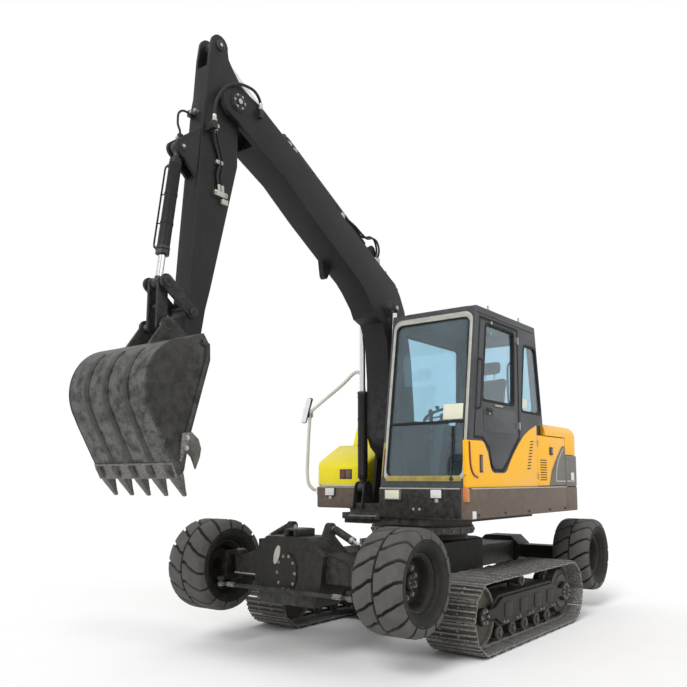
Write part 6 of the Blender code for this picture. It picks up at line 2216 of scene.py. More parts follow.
@dataclass
class Interior:
    """The seat, its consoles and levers, the steering wheel and its column.

    Attributes:
        middle: The seat's middle.
        floor: Height of the cab's floor.
        wheel: Middle of the steering wheel.
        tilt: The wheel's tilt, in degrees.
        rim: Radius of the wheel's rim.
    """

    middle: float = 0.5675
    floor: float = 1.3453
    wheel: Point = (0.5675, -0.52, 1.935)
    tilt: float = 28.0
    rim: float = 0.185

    def seat(self) -> None:
        """Builds the padded pieces and the parts under and beside them."""
        Cushion("seat_cushion", [(-0.27, 1.605), (0.24, 1.605), (0.24, 1.755), (-0.27, 1.76)], 0.238,
            self.middle, (0.0, 1.0)).build(["seat"])
        Cushion("seat_backrest", [(0.175, 1.735), (0.305, 1.75), (0.415, 2.375), (0.31, 2.39)], 0.225,
            self.middle, (1.0, -0.17)).build()
        Cushion("seat_headrest", [(0.318, 2.405), (0.42, 2.4), (0.44, 2.535), (0.345, 2.548)], 0.125,
            self.middle, (1.0, -0.14), 0.016).build()
        base = Shape(PLASTIC, self.middle)
        base.block((-0.155, 0.155), (-0.175, 0.195), (self.floor, 1.4), bevel=0.006)
        for i in range(6):
            low = 1.403 + i * 0.03
            base.block((-0.135, 0.135), (-0.155, 0.175), (low, low + 0.026), SEAL, 0.01)
        base.block((-0.235, 0.235), (-0.245, 0.225), (1.584, 1.603), bevel=0.006)
        for across in (-0.05, 0.05):
            base.rod((across, 0.372, 2.36), (across, 0.378, 2.43), 0.007, CHROME)
        base.finish_piece("seat_base", BODY_OF["seat"])

    def console(self, side: Side) -> None:
        """Builds the console at one side of the seat, with its lever."""
        low, high = side.span(0.255, 0.35, self.middle)
        x = self.middle + side.value * 0.3
        shape = Shape(PLASTIC)
        shape.block((low, high), (-0.23, 0.12), (self.floor, 1.72), TRIM, 0.012)
        shape.block((low - 0.004, high + 0.004), (-0.295, 0.155), (1.715, 1.795), PLASTIC, 0.018)
        boot = [(0.03, 0.0), (0.034, 0.006), (0.027, 0.014), (0.029, 0.022), (0.022, 0.03), (0.024, 0.038),
            (0.013, 0.05), (POLE, 0.05), (POLE, 0.0)]
        shape.turned(boot, (x, -0.25, 1.793), (0, 0, 1), 24, SEAL)
        shape.rod((x, -0.25, 1.83), (x, -0.25, 1.915), 0.008, CHROME, 12)
        grip = [(POLE, 0.0), (0.014, 0.0), (0.018, 0.012), (0.017, 0.04), (0.02, 0.065), (0.023, 0.092),
            (0.02, 0.116), (0.011, 0.126), (POLE, 0.127)]
        shape.turned(grip, (x, -0.25, 1.903), (0, -0.12, 1), 20, PLASTIC)
        shape.rod((x, -0.285, 1.985), (x, -0.262, 1.99), 0.007, WINE, 12)
        shape.block((low + 0.012, high - 0.012), (-0.14, -0.02), (1.794, 1.799), TRIM, 0.002)
        for k in range(4):
            shape.block((x - 0.022, x - 0.004), (-0.13 + k * 0.027, -0.112 + k * 0.027), (1.798, 1.804),
                SEAL, 0.001)
        shape.finish_piece(f"{side.word}_console", BODY_OF["seat"])

    def steering(self) -> None:
        """Builds the steering wheel and its column."""
        turn = Matrix.Translation(Vector(self.wheel)) @ Matrix.Rotation(radians(self.tilt), 4, "X")
        up = (turn.to_3x3() @ Vector((0.0, 0.0, 1.0)))
        shape = Shape(PLASTIC)
        ring = [(self.rim + 0.013 * cos(a), 0.013 * sin(a)) for a in (2 * pi * k / 12 for k in range(12))]
        shape.turned(ring, self.wheel, up, 48, PLASTIC, ring=True)
        shape.turned([(POLE, -0.05), (0.03, -0.05), (0.045, -0.02), (0.047, 0.006), (0.04, 0.014),
            (POLE, 0.016)], self.wheel, up, 28, PLASTIC)
        for angle in (200.0, -20.0, 90.0):
            way = Vector((cos(radians(angle)), sin(radians(angle)), 0.0))
            shape.rod(turn @ (way * 0.035), turn @ (way * (self.rim - 0.004)), 0.0075, PLASTIC, 10)
        knob = turn @ Vector((-0.13, 0.125, 0.03))
        shape.turned([(POLE, -0.024), (0.006, -0.024), (0.006, -0.012), (0.017, -0.008), (0.02, 0.006),
            (0.014, 0.016), (POLE, 0.018)], knob, up, 18, SEAL)
        shape.prism([(-0.735, self.floor), (-0.625, self.floor), (-0.505, 1.885), (-0.53, 1.905),
            (-0.59, 1.885)], self.middle - 0.047, self.middle + 0.047, finish=TRIM, bevel=0.014)
        for side in (-1, 1):
            x = self.middle + side * 0.12
            shape.prism([(-0.7, 1.352), (-0.69, 1.348), (-0.56, 1.43), (-0.568, 1.44)], x - 0.045,
                x + 0.045, finish=SEAL, bevel=0.003)
            shape.rod((x, -0.655, self.floor), (x, -0.64, 1.385), 0.009, ZINC, 10)
        shape.finish_piece("steering_wheel", BODY_OF["steering_column"], ["steering_column"])

    def build(self) -> None:
        """Builds the inside."""
        self.seat()
        for side in Side:
            self.console(side)
        self.steering()
        mat = Shape(SEAL)
        mat.block((0.205, 0.935), (-0.7, -0.34), (self.floor, self.floor + 0.003), bevel=0.001)
        mat.finish_piece("floor_mat", BODY_OF["cab_shell"])
        rib = Shape(SEAL)
        rib.block((0.215, 0.925), (-0.69, -0.684), (self.floor + 0.002, self.floor + 0.006), bevel=0.001)
        show(Row(14, (0.0, 0.026, 0.0)).run(rib.data(), SEAL), "floor_mat_ribs", BODY_OF["cab_shell"])


@dataclass
class Cab:
    """The cab's shell, door and windows, with what is fixed to them.

    Attributes:
        right: Its right face.
        left: Its left face.
        sill: Height where its front starts.
        roof: Height of its roof.
        front: Its front at the sill and at the roof.
        rear: Its back below the hood's top and at the roof.
        hood: Height of the hood's top.
    """

    right: float = 0.15
    left: float = 1.005
    sill: float = 1.3
    roof: float = 2.853
    front: Pair = (-0.93, -0.715)
    rear: Pair = (0.64, 0.5)
    hood: float = 1.93

    DOOR = ((-0.807, 1.715), (-0.655, 1.715), (-0.53, 1.625), (-0.49, 1.48), (-0.43, 1.442), (-0.25, 1.442),
        (-0.14, 1.525), (-0.045, 1.62), (0.1, 1.74), (0.1, 2.765), (-0.662, 2.765))
    DOOR_WINDOW = ((-0.64, 2.04), (-0.005, 2.04), (0.0235, 2.725), (-0.545, 2.725))
    QUARTER_WINDOW = ((0.15, 2.0), (0.608, 2.0), (0.508, 2.645), (0.235, 2.645))
    RIGHT_WINDOW = ((-0.7, 1.9), (0.43, 1.9), (0.4632, 2.7), (-0.589, 2.7))

    def front_at(self, height: float) -> float:
        """The front face's y at a height."""
        return self.front[0] + (self.front[1] - self.front[0]) * (height - self.sill) / (self.roof
            - self.sill)

    def rear_at(self, height: float) -> float:
        """The back face's y at a height."""
        share = max(0.0, (height - self.hood) / (self.roof - self.hood))
        return self.rear[0] + (self.rear[1] - self.rear[0]) * share

    def lean(self, shape: Shape, face: Callable[[float], float]) -> Shape:
        """Moves a shape that was made against y = 0 onto a leaning face."""
        for vertex in shape.mesh.verts:
            vertex.co.y += face(vertex.co.z)
        return shape

    def windscreen(self) -> None:
        """Builds the pale border of the front glass, its seal, the split and the strips at its foot."""
        low, high = (0.174, 1.352), (0.981, 2.808)
        inner = ((0.2, 1.39), (0.955, 2.76))
        border = Shape(PALE)
        border.frame_ring(rounded_rectangle(low, high, 0.08), rounded_rectangle(*inner, 0.06), -0.007,
            0.004, Axis.Y, bevel=0.002)
        self.lean(border, self.front_at).finish_piece("windscreen_border", BODY_OF["cab_shell"])
        seal = Shape(SEAL)
        seal.frame_ring(rounded_rectangle((0.197, 1.387), (0.958, 2.763), 0.062),
            rounded_rectangle((0.212, 1.402), (0.943, 2.748), 0.054), -0.003, 0.0115, Axis.Y, bevel=0.002)
        seal.block((0.205, 0.95), (0.0, 0.0115), (1.84, 1.862), bevel=0.003)
        self.lean(seal, self.front_at).finish_piece("windscreen_seal", BODY_OF["cab_shell"])
        trim = Shape(GOLD)
        trim.block((0.206, 0.949), (-0.008, 0.011), (1.352, 1.4), GOLD, 0.004)
        for x in (0.17, 0.983):
            trim.block((x - 0.012, x - 0.001), (-0.01, 0.0), (1.385, 1.69), GOLD, 0.003)
            trim.block((x + 0.001, x + 0.011), (-0.01, 0.0), (1.395, 1.64), WINE, 0.003)
        trim.block((0.735, 0.925), (0.0092, 0.0112), (1.872, 2.003), STICKER, 0.0006)
        self.lean(trim, self.front_at).finish_piece("windscreen_trim", BODY_OF["cab_shell"])
        bolts = [((x, self.front_at(z) - 0.007, z), (0, -1, 0.13)) for x,
            z in ((0.963, 1.814), (0.187, 1.808), (0.963, 2.56), (0.187, 2.56), (0.963, 2.2), (0.187, 2.2))]
        bolt_heads("windscreen_bolts", BODY_OF["cab_shell"], bolts, 0.014, ZINC)
        wiper = Shape(PLASTIC)
        wiper.rod((0.86, -0.004, 1.372), (0.86, -0.022, 1.372), 0.016, PLASTIC, 16)
        wiper.rod((0.86, -0.02, 1.372), (0.845, -0.014, 1.72), 0.005, PLASTIC, 8)
        wiper.block((0.84, 0.848), (-0.012, 0.009), (1.43, 1.81), SEAL, 0.001)
        self.lean(wiper, self.front_at).finish_piece("wiper", BODY_OF["cab_shell"])

    def side_seals(self) -> None:
        """Builds the rubber round the side and rear windows, and their blank labels."""
        seal = Shape(SEAL)
        for outline, outer, inner in ((self.QUARTER_WINDOW, self.left - 0.024, self.left + 0.003),
                (self.RIGHT_WINDOW, self.right + 0.024, self.right - 0.003)):
            seal.frame_ring(eased(drawn_in(outline, -0.01), 0.05), eased(drawn_in(outline, 0.012), 0.04),
                min(outer, inner), max(outer, inner), Axis.X, bevel=0.002)
        seal.finish_piece("window_seals", BODY_OF["cab_shell"])
        back = Shape(SEAL)
        back.frame_ring(rounded_rectangle((0.23, 2.01), (0.925, 2.73), 0.05),
            rounded_rectangle((0.252, 2.032), (0.903, 2.708), 0.04), -0.024, 0.003, Axis.Y, bevel=0.002)
        self.lean(back, self.rear_at).finish_piece("rear_window_seal", BODY_OF["cab_shell"])
        label = Shape(STICKER)
        label.block((self.left - 0.0118, self.left - 0.0102), (0.185, 0.3), (2.04, 2.125), bevel=0.0005)
        label.finish_piece("window_label", BODY_OF["cab_shell"])

    def door(self) -> None:
        """Builds what is on the door: its seals, the rubber round its glass, handle and hinges."""
        body = BODY_OF["cab_door"]
        seal = Shape(SEAL)
        outline = list(self.DOOR)
        seal.frame_ring(drawn_in(outline, 0.004), drawn_in(outline, 0.017), self.left - 0.004,
            self.left + 0.004, Axis.X, bevel=0.0015)
        seal.frame_ring(eased(drawn_in(self.DOOR_WINDOW, -0.01), 0.05),
            eased(drawn_in(self.DOOR_WINDOW, 0.012), 0.04), self.left - 0.03, self.left + 0.004, Axis.X,
            bevel=0.002)
        seal.finish_piece("door_seals", body)
        fittings = Shape(PLASTIC)
        x = self.left
        fittings.block((x - 0.001, x + 0.006), (-0.585, -0.445), (1.915, 1.985), PLASTIC, 0.006)
        fittings.block((x + 0.004, x + 0.022), (-0.57, -0.46), (1.955, 1.972), PLASTIC, 0.006)
        fittings.rod((x + 0.004, -0.515, 1.932), (x + 0.01, -0.515, 1.932), 0.01, ZINC, 16)
        fittings.block((x - 0.001, x + 0.008), (-0.4, -0.25), (2.005, 2.02), PALE, 0.003)
        for z in (1.86, 2.66):
            fittings.block((x - 0.001, x + 0.007), (0.02, 0.092), (z - 0.03, z + 0.03), CAB, 0.004)
            fittings.rod((x + 0.004, 0.0985, z - 0.035), (x + 0.004, 0.0985, z + 0.035), 0.0075, ZINC, 14)
        grab = [(x - 0.05, 0.03, 2.06), (x - 0.075, 0.024, 2.09), (x - 0.08, 0.024, 2.3),
            (x - 0.075, 0.024, 2.42), (x - 0.05, 0.03, 2.45)]
        fittings.tube(smooth_route(from_slew(grab), 5), 0.01, PLASTIC, 12)
        fittings.finish_piece("door_fittings", body)
        groove = Shape(CAB)
        groove.prism(eased([(-0.62, 1.775), (0.03, 1.775), (0.03, 1.99), (-0.62, 1.99)], 0.05), x - 0.001,
            x + 0.0035, finish=CAB, bevel=0.003)
        groove.finish_piece("door_panel", body)

    def roof_parts(self) -> None:
        """Builds the roof's raised cover, its gutters, studs, lamps and grab handle."""
        shape = Shape(CAB)
        shape.prism(rounded_rectangle((0.195, self.front[1] + 0.045), (0.96, self.rear[1] - 0.045), 0.09),
            self.roof - 0.002, self.roof + 0.018, Axis.Z, bevel=0.01)
        shape.prism(rounded_rectangle((0.3, -0.4), (0.855, 0.2), 0.06), self.roof + 0.016,
            self.roof + 0.024, Axis.Z, PLASTIC, 0.004)
        for side_x, way in ((self.left, 1), (self.right, -1)):
            a, b = sorted((side_x - way * 0.002, side_x + way * 0.008))
            shape.prism([(self.front[1] + 0.03, 2.796), (self.rear[1] - 0.02, 2.796),
                (self.rear[1] - 0.02, 2.81), (self.front[1] + 0.03, 2.81)], a, b, bevel=0.003)
        for y in (-0.455, 0.175):
            shape.rod((0.985, y, self.roof - 0.003), (0.985, y, self.roof + 0.045), 0.009, ZINC, 14)
            shape.turned([(POLE, 0.0), (0.02, 0.0), (0.02, 0.006), (POLE, 0.006)], (0.985, y, self.roof),
                (0, 0, 1), 20, ZINC)
        shape.rod((self.left - 0.002, -0.444, 2.74), (self.left + 0.01, -0.444, 2.74), 0.014, PALE, 16)
        shape.rod((self.left - 0.002, -0.465, 2.64), (self.left + 0.01, -0.465, 2.64), 0.012, ZINC, 16)
        shape.turned([(POLE, 0.0), (0.024, 0.0), (0.026, 0.006), (0.022, 0.03), (0.01, 0.038),
            (POLE, 0.039)], (0.975, 0.56, 2.02), (0.3, 1.0, 0.0), 20, PLASTIC)
        shape.finish_piece("roof_parts", BODY_OF["cab_shell"])
        rail = Shape(PLASTIC)
        line = [(self.left + 0.001, -0.735, 1.96), (self.left + 0.034, -0.738, 1.975),
            (self.left + 0.04, -0.728, 2.05), (self.left + 0.04, -0.7, 2.3),
            (self.left + 0.034, -0.69, 2.375), (self.left + 0.001, -0.688, 2.39)]
        rail.tube(smooth_route(from_slew(line), 5), 0.01, PLASTIC, 12)
        rail.finish_piece("cab_grab_handle", BODY_OF["cab_shell"])

    def build(self) -> None:
        """Builds the cab."""
        softened("cab_shell", CAB, 0.014)
        softened("cab_door", CAB, 0.005)
        self.windscreen()
        self.side_seals()
        self.door()
        self.roof_parts()
        Interior().build()
        for node in ("windscreen", "rear_window", "right_window", "quarter_window", "door_window"):
            pane = frame["nodes"][node]
            pane.data.materials.clear()
            pane.data.materials.append(GLASS.material())


# ---------------------------------------------------------------- bodywork
PANEL = Finish("panel_grey", "cab_paint", (0.15, 0.136, 0.12), (0.09, 0.08, 0.07), roughness=0.4, dust=0.2)


def tail_plan(half: float, front: float, rear: float, radius: float, bulge: float = 0.055) -> list[Pair]:
    """A plan that is straight in front and round at its two rear corners.

    Args:
        half: Half its width.
        front: Its front's y.
        rear: Its corners' rear y.
        radius: Radius of the rear corners.
        bulge: How far its middle reaches past the corners.

    Returns:
        The plan's points.
    """
    return ([(-half, front), (half, front)] + arc((half - radius, rear - radius), radius, 0, 80,
        10) + [(half * 0.45, rear + bulge * 0.75), (0.0, rear + bulge),
        (-half * 0.45, rear + bulge * 0.75)] + arc((-half + radius, rear - radius), radius, 100, 180, 10))


@dataclass
class Tail:
    """The counterweight, the hood, the side doors and the engine that they cover.

    Attributes:
        half: Half the counterweight's width.
        front: Its front.
        rear: Its rear corners' y.
    """

    half: float = 1.014
    front: float = 1.215
    rear: float = 1.66

    def counterweight(self) -> None:
        """Builds the counterweight with its skirt, its side panels, lamps and towing pin."""
        shape = Shape(SKIRT)
        shape.prism(tail_plan(self.half, self.front, self.rear, 0.19), 1.0432, 1.29, Axis.Z, SKIRT, 0.01)
        shape.prism(tail_plan(self.half - 0.006, self.front + 0.002, self.rear - 0.006, 0.19), 1.288, 1.298,
            Axis.Z, SEAL)
        shape.prism(tail_plan(self.half, self.front, self.rear, 0.19), 1.2965, 1.6195, Axis.Z, PANEL, 0.01)
        for side in Side:
            low, high = side.span(self.half - 0.001, self.half + 0.005)
            shape.block((low, high), (1.222, 1.44), (1.345, 1.357), PALE, 0.0015)
            low, high = side.span(self.half - 0.001, self.half + 0.003)
            shape.block((low, high), (1.345, 1.425), (1.36, 1.44), STICKER, 0.002)
            x = side.value * 0.72
            shape.block((x - 0.085, x + 0.085), (1.655, 1.7), (1.44, 1.52), PLASTIC, 0.01)
            shape.block((x - 0.076, x - 0.004), (1.69, 1.706), (1.448, 1.512), WINE, 0.004)
            shape.block((x + 0.004, x + 0.076), (1.69, 1.706), (1.448, 1.512), AMBER_LAMP, 0.004)
        shape.turned([(POLE, 0.0), (0.05, 0.0), (0.052, 0.003), (0.052, 0.014), (0.03, 0.014),
            (0.03, -0.04), (POLE, -0.04)], (0.0, self.rear + 0.046, 1.16), (0, 1, 0), 28, CHASSIS)
        shape.rod((0.0, self.rear + 0.03, 1.115), (0.0, self.rear + 0.03, 1.25), 0.014, ZINC)
        shape.finish_piece("counterweight_parts", BODY_OF["counterweight"], ["counterweight"])

    def hood(self) -> None:
        """Dresses the hood and adds its lock, its hinges and the grille on its top."""
        body = BODY_OF["engine_hood"]
        cover = Shape(AMBER)
        levels = ((0.19, 1.895), (0.05, 1.86), (0.04, 1.803), (0.0, 1.803), (0.0, 1.83), (0.01, 1.865),
            (0.028, 1.893), (0.055, 1.913), (0.095, 1.926), (0.15, 1.93))
        cover.loft([[Axis.Z.place(point, z) for point in tail_plan(1.005 - i, 0.7 + 0.3 * i,
            self.rear - 0.006 - i, 0.19 - min(i, 0.1))] for i, z in levels])
        outer = tail_plan(1.005, 1.222, self.rear - 0.006, 0.19)
        inner = tail_plan(0.975, 1.222, self.rear - 0.036, 0.17)
        wall = outer[1:] + [outer[0]] + [inner[0]] + inner[:0:-1]
        cover.prism(wall, 1.625, 1.8045, Axis.Z, AMBER, 0.003)
        cover.finish_piece("hood_cover", body, ["engine_hood"])
        top = 1.93
        shape = Shape(PLASTIC)
        for x in (-0.62, 0.62):
            shape.block((x - 0.05, x + 0.05), (0.762, 0.835), (top - 0.001, top + 0.006), PLASTIC, 0.003)
            shape.rod((x - 0.045, 0.764, top + 0.003), (x + 0.045, 0.764, top + 0.003), 0.006, ZINC, 12)
        shape.block((-0.06, 0.06), (self.rear + 0.042, self.rear + 0.056), (1.7, 1.745), PLASTIC, 0.006)
        shape.block((-0.34, 0.34), (1.0, 1.33), (top - 0.001, top + 0.003), PLASTIC, 0.002)
        shape.turned([(POLE, 0.0), (0.034, 0.0), (0.036, 0.004), (0.036, 0.02), (0.029, 0.022),
            (0.029, 0.006), (POLE, 0.006)], (-0.55, 1.2, top), (0, 0, 1), 28, CHASSIS)
        shape.finish_piece("hood_fittings", body)
        slat = Shape(PLASTIC)
        slat.prism([(-0.33, top + 0.002), (0.33, top + 0.002), (0.322, top + 0.01), (-0.322, top + 0.01)],
            1.012, 1.022, Axis.Y, bevel=0.001)
        show(Row(13, (0.0, 0.0245, 0.0)).run(slat.data(), PLASTIC), "hood_grille", body)

    def side_doors(self) -> None:
        """Dresses the side doors and adds their locks, hinges and grey corners."""
        corner = [(1.207, 1.308), (1.207, 1.715), (1.14, 1.715), (1.05, 1.65), (0.93, 1.545), (0.83, 1.44),
            (0.775, 1.308)]
        for side in Side:
            node = f"{side.word}_side_door"
            softened(node, AMBER, 0.008)
            body = BODY_OF[node]
            face = side.value * 1.005
            shape = Shape(PANEL)

            def outwards(depth: float, inset: float = 0.001) -> Pair:
                """The x range of something that stands out from the door by a depth."""
                return side.span(1.005 - inset, 1.005 + depth)

            low, high = outwards(0.004)
            shape.prism(eased(corner, 0.03), low, high, finish=PANEL, bevel=0.0015)
            low, high = outwards(0.007)
            line = [(1.15, 1.69), (1.085, 1.64), (1.0, 1.56), (0.96, 1.47), (0.935, 1.36), (0.945, 1.345),
                (1.2, 1.345), (1.2, 1.357), (0.95, 1.357), (0.972, 1.466), (1.01, 1.552), (1.092, 1.63),
                (1.155, 1.68)]
            shape.prism(line, low, high, finish=PALE, bevel=0.001)
            low, high = outwards(0.012)
            shape.block((low, high), (0.795, 0.865), (1.61, 1.69), PLASTIC, 0.006)
            low, high = outwards(0.014)
            shape.block((low, high), (0.812, 0.848), (1.628, 1.672), WINE, 0.004)
            for z in (1.4, 1.72):
                shape.rod((face + side.value * 0.003, 0.509 if side is Side.LEFT else 0.474, z - 0.03),
                    (face + side.value * 0.003, 0.509 if side is Side.LEFT else 0.474, z + 0.03), 0.006,
                    ZINC, 12)
            shape.finish_piece(f"{side.word}_door_parts", body)
            slot = Shape(SEAL)
            low, high = outwards(0.0015, 0.002)
            slot.block((low, high), (0.56, 0.72), (1.36, 1.369), bevel=0.0007)
            show(Row(9, (0.0, 0.0, 0.024)).run(slot.data(), SEAL), f"{side.word}_door_slots", body)

    def engine(self) -> None:
        """Builds the engine's block, covers, pulleys, filters and the radiator's cowl."""
        shape = Shape(IRON)
        shape.block((-0.3, 0.22), (0.86, 1.12), (1.33, 1.54), IRON, 0.012)
        shape.block((-0.32, 0.24), (0.88, 1.1), (1.3003, 1.335), IRON, 0.006)
        shape.block((-0.29, 0.21), (0.89, 1.08), (1.535, 1.61), IRON, 0.01)
        shape.block((-0.27, 0.19), (0.91, 1.05), (1.605, 1.665), CHASSIS, 0.016)
        for i in range(4):
            x = -0.22 + i * 0.12
            shape.rod((x, 1.02, 1.64), (x, 1.02, 1.69), 0.012, ZINC, 14)
            shape.rod((x, 0.875, 1.57), (x, 0.835, 1.56), 0.022, IRON, 16)
        shape.rod((-0.28, 0.832, 1.555), (0.2, 0.832, 1.555), 0.03, IRON, 20)
        shape.rod((-0.05, 0.832, 1.555), (-0.05, 0.832, 1.7), 0.026, IRON, 20)
        shape.rod((-0.1, 0.83, 1.4), (-0.1, 0.83, 1.49), 0.04, CHASSIS, 24)
        shape.rod((0.05, 0.83, 1.38), (0.05, 0.83, 1.48), 0.034, WHITE, 24)
        for place, radius in (((1.0, 1.43), 0.072), ((0.9, 1.5), 0.044), ((1.09, 1.56), 0.04)):
            profile = [(POLE, 0.0), (radius * 0.4, 0.0), (radius * 0.45, 0.012), (radius, 0.012),
                (radius, 0.018), (radius * 0.88, 0.024), (radius, 0.03), (radius, 0.036), (POLE, 0.036)]
            shape.turned(profile, (0.22, *place), (1, 0, 0), 28, ZINC)
        shape.block((0.44, 0.515), (0.82, 1.15), (1.31, 1.715), CHASSIS, 0.006)
        shape.turned([(0.15, 0.36), (0.16, 0.36), (0.16, 0.44), (0.15, 0.44)], (0.0, 0.985, 1.51),
            (1, 0, 0), 40, PLASTIC, ring=True)
        shape.block((-0.545, -0.33), (0.85, 1.12), (1.335, 1.6), CHASSIS, 0.02)
        shape.rod((-0.44, 0.985, 1.6), (-0.44, 0.985, 1.64), 0.05, IRON, 24)
        shape.finish_piece("engine_parts", BODY_OF["engine"], ["engine"])

    def build(self) -> None:
        """Builds the tail."""
        self.counterweight()
        self.hood()
        self.side_doors()
        self.engine()
        softened("engine_bulkhead", CHASSIS, 0.004)


@dataclass
class Decks:
    """The two side decks with their lamps and trims, and the panels, box and tank on them."""

    left: float = 1.014
    front: float = -0.935
    right_front: float = -0.5

    def lamp(self, shape: Shape, x: Pair, y: float, z: Pair) -> None:
        """Adds a square lamp with its housing and bracket, facing forward from y."""
        shape.block(x, (y - 0.012, y + 0.004), z, PLASTIC, 0.006)
        shape.block((x[0] + 0.006, x[1] - 0.006), (y - 0.022, y - 0.01), (z[0] + 0.006, z[1] - 0.006),
            CLEAR_LAMP, 0.006)
        middle = (x[0] + x[1]) / 2
        shape.block((middle - 0.016, middle + 0.016), (y - 0.01, y + 0.002), (z[0] - 0.03, z[0] + 0.004),
            PALE, 0.003)

    def left_deck(self) -> None:
        """Dresses the left deck and adds its trims, lamps and the dark front."""
        softened("left_deck", SKIRT, 0.012)
        body = BODY_OF["left_deck"]
        shape = Shape(CHASSIS)
        shape.block((0.141, 0.952), (self.front - 0.005, self.front + 0.002), (1.05, 1.292), CHASSIS, 0.003)
        shape.block((self.left - 0.002, self.left + 0.003), (-0.868, 1.205), (1.287, 1.298), PALE, 0.002)
        shape.block((0.15, 0.945), (self.front - 0.008, self.front), (1.287, 1.298), PALE, 0.002)
        shape.block((0.213, 0.379), (self.front - 0.03, self.front - 0.003), (1.193, 1.286), PANEL, 0.006)
        shape.block((0.225, 0.367), (self.front - 0.034, self.front - 0.028), (1.203, 1.276), STICKER,
            0.003)
        self.lamp(shape, (0.669, 0.783), self.front - 0.003, (1.208, 1.29))
        shape.prism([(0.968, 1.185), (1.012, 1.185), (1.012, 1.285), (0.985, 1.315), (0.968, 1.3)], -0.937,
            -0.9, Axis.Y, AMBER_LAMP, 0.005)
        shape.block((0.975, 1.02), (-0.86, -0.8), (1.046, 1.11), CLEAR_LAMP, 0.006)
        for x in (0.5, 0.56):
            shape.rod((x, self.front - 0.014, 1.12), (x, self.front, 1.12), 0.012, ZINC, 14)
        shape.finish_piece("left_deck_parts", body)
        bolt_heads("left_deck_bolts", body, [((self.left, y, 1.075), (1, 0, 0)) for y in (-0.75, -0.25,
            0.25, 0.75, 1.15)], 0.02, CHASSIS)

    def right_deck(self) -> None:
        """Dresses the right deck and adds its lamp and the valve beside the boom."""
        softened("right_deck", SKIRT, 0.016)
        shape = Shape(CHASSIS)
        y = self.right_front
        self.lamp(shape, (-0.819, -0.695), y - 0.001, (1.205, 1.29))
        shape.block((-0.925, -0.35), (y - 0.004, y + 0.001), (1.289, 1.299), PALE, 0.002)
        shape.block((-0.44, -0.395), (y - 0.045, y - 0.0005), (1.15, 1.225), ZINC, 0.006)
        for x, z in ((-0.43, 1.24), (-0.405, 1.26), (-0.425, 1.12), (-0.4, 1.1)):
            shape.rod((x, y - 0.025, z - 0.02), (x, y - 0.025, z + 0.02), 0.009, PALE, 6)
        shape.block((-0.445, -0.36), (y - 0.004, y + 0.001), (1.095, 1.285), CHASSIS, 0.002)
        shape.finish_piece("right_deck_parts", BODY_OF["right_deck"])

    def panels(self) -> None:
        """Dresses the fixed panels, and adds the slots, lines, cap and lamp on them."""
        softened("left_side_panel", AMBER, 0.006)
        body = BODY_OF["left_side_panel"]
        face = 1.005
        slot = Shape(SEAL)
        slot.prism([(0.25, 1.462), (0.325, 1.468), (0.335, 1.476), (0.26, 1.474)], face - 0.002,
            face + 0.0015, bevel=0.0005)
        show(Row(10, (0.0, 0.009, 0.0285)).run(slot.data(), SEAL), "left_panel_slots", body)
        shape = Shape(PLASTIC)
        shape.block((face - 0.001, face + 0.004), (-0.705, -0.65), (1.425, 1.575), PLASTIC, 0.012)
        shape.block((face + 0.003, face + 0.006), (-0.692, -0.664), (1.44, 1.56), WINE, 0.006)
        line = [(face + 0.002, -0.885, 1.68), (face + 0.003, -0.88, 1.56), (face + 0.003, -0.865, 1.47),
            (face + 0.003, -0.82, 1.41), (face + 0.002, -0.745, 1.385)]
        shape.tube(smooth_route(from_slew(line), 6), 0.009, WINE, 12)
        shape.finish_piece("left_panel_parts", body)

        softened("right_toolbox", LEMON, 0.018)
        box = Shape(PLASTIC)
        front = -0.49
        box.block((-0.652, -0.5), (front - 0.003, front + 0.001), (1.372, 1.468), PLASTIC, 0.006)
        box.block((-0.64, -0.585), (front - 0.006, front - 0.002), (1.384, 1.456), WINE, 0.004)
        box.block((-0.572, -0.512), (front - 0.006, front - 0.002), (1.384, 1.456), SKIRT, 0.004)
        box.block((-0.89, -0.365), (front - 0.003, front + 0.001), (1.304, 1.316), WHITE, 0.002)
        for y in (-0.3, -0.02):
            box.block((-1.006, -0.999), (y - 0.03, y + 0.03), (1.52, 1.55), ZINC, 0.003)
        box.finish_piece("toolbox_parts", BODY_OF["right_toolbox"])

        softened("fuel_tank", LEMON, 0.016)
        cap = Shape(PLASTIC)
        cap.turned([(POLE, 0.0), (0.062, 0.0), (0.064, 0.004), (0.058, 0.01), (0.048, 0.012),
            (0.046, 0.034), (0.04, 0.04), (POLE, 0.041)], (-0.72, 0.36, 1.948), (0, 0, 1), 32, PLASTIC)
        cap.block((-0.745, -0.695), (0.352, 0.368), (1.985, 2.0), PLASTIC, 0.005)
        cap.finish_piece("tank_cap", BODY_OF["fuel_tank"])

    def build(self) -> None:
        """Builds the decks and what stands on them."""
        self.left_deck()
        self.right_deck()
        self.panels()


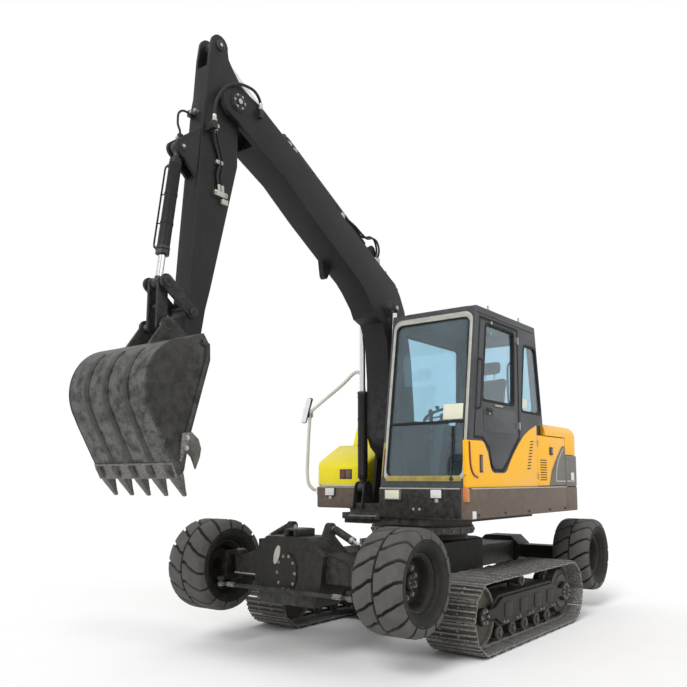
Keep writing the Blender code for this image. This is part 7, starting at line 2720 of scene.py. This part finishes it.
@dataclass
class UpperFrame:
    """The turntable plate with its ears, pins and lubrication points."""

    def build(self) -> None:
        """Dresses the frame and adds its pins."""
        softened("upper_frame", CHASSIS, 0.006)
        body = BODY_OF["upper_frame"]
        shape = Shape(CHASSIS)
        foot, lift = (-0.3, 1.6), (-0.605, 1.29)
        for side in (-1, 1):
            x = ARM_X + side * 0.168
            shape.turned([(POLE, 0.0), (0.05, 0.0), (0.053, 0.003), (0.053, 0.012), (POLE, 0.013)],
                (x, *foot), (side, 0, 0), 32)
            shape.rod((x + side * 0.012, *foot), (x + side * 0.018, *foot), 0.014, ZINC, 16)
            x = ARM_X + side * 0.239
            shape.turned([(POLE, 0.0), (0.034, 0.0), (0.036, 0.003), (0.036, 0.009), (POLE, 0.01)],
                (x, *lift), (side, 0, 0), 28)
        shape.block((-0.2, 0.11), (-0.939, -0.934), (1.04, 1.056), TRACK, 0.003)
        shape.finish_piece("frame_pins", body)
        hoses = Shape(HOSE)
        for k in range(3):
            x = 0.06 + k * 0.028
            line = [(x, 0.12, 1.32), (x, -0.05, 1.325), (x, -0.2, 1.3), (x, -0.36, 1.225),
                (x, -0.52, 1.175)]
            hoses.tube(smooth_route(from_slew(line), 5), 0.011, HOSE, 12)
        hoses.finish_piece("well_hoses", body)


@dataclass
class GrabRail:
    """The white rail on the right deck, and its mirror.

    Attributes:
        radius: Radius of the rail's tube.
        plane: y of its upright part.
    """

    radius: float = 0.017
    plane: float = -0.5

    def build(self) -> None:
        """Builds the rail with its feet, and the mirror with its glass and clamp."""
        y = self.plane
        line = [(-0.98, -0.46, 1.26), (-1.008, -0.484, 1.275), (-1.045, -0.505, 1.33),
            (-1.062, -0.506, 1.42), (-1.066, y, 1.55), (-1.048, y, 1.9), (-1.024, y, 2.04),
            (-0.965, y, 2.1), (-0.633, y, 2.297), (-0.495, y, 2.397), (-0.427, y, 2.419),
            (-0.389, -0.49, 2.392), (-0.372, -0.478, 2.329), (-0.376, -0.44, 2.2), (-0.384, -0.25, 1.98),
            (-0.39, -0.04, 1.745)]
        rail = Shape(WHITE)
        rail.tube(smooth_route(from_slew(line), 5), self.radius, WHITE, 16)
        foot = [(-0.99, -0.4275), (-0.95, -0.4755), (-0.956, -0.4805), (-0.996, -0.4325)]
        rail.prism(foot, 1.215, 1.29, Axis.Z, WHITE, 0.002)
        rail.prism([(-0.07, 1.7227), (-0.01, 1.7249), (-0.01, 1.731), (-0.07, 1.729)], -0.425, -0.355,
            finish=WHITE, bevel=0.002)
        rail.finish_piece("grab_rail", BODY_OF["handrail"], ["handrail"])

        mirror = Shape(PLASTIC)
        back, front = -0.5185, -0.549
        outline = [(-1.125, 1.945), (-1.065, 1.94), (-0.975, 2.195), (-1.035, 2.2)]
        mirror.prism(eased(outline, 0.022), front + 0.006, back, Axis.Y, PLASTIC, 0.006)
        mirror.prism(eased(drawn_in(outline, 0.006), 0.018), front, front + 0.008, Axis.Y, MIRROR_GLASS,
            0.001)
        mirror.block((-1.056, -1.006), (-0.5195, -0.482), (2.0, 2.05), ZINC, 0.008)
        mirror.prism([(-1.11, 1.985), (-1.082, 1.985), (-1.082, 2.1), (-1.11, 2.09)], -0.5195, -0.509,
            Axis.Y, ZINC, 0.003)
        mirror.finish_piece("side_mirror", BODY_OF["mirror"], ["mirror"])


@dataclass
class Bodywork:
    """Everything on the upper frame but the cab and the arm."""

    parts: Sequence[object] = field(default_factory=lambda: [Tail(), Decks(), UpperFrame(), GrabRail()])

    def build(self) -> None:
        """Builds its parts in order."""
        for part in self.parts:
            part.build()


# ---------------------------------------------------------------- whole machine
def main() -> None:
    """Builds the studio and every sub-assembly in order."""
    logging.basicConfig(level=logging.INFO, format="%(message)s")
    for builder in (Studio(), Hoses(), Undercarriage(), WorkingArm(), Cab(), Bodywork()):
        before = len(bpy.data.objects)
        builder.build()
        LOG.info("%s: %d objects", type(builder).__name__, len(bpy.data.objects) - before)


if __name__ == "__main__":
    main()
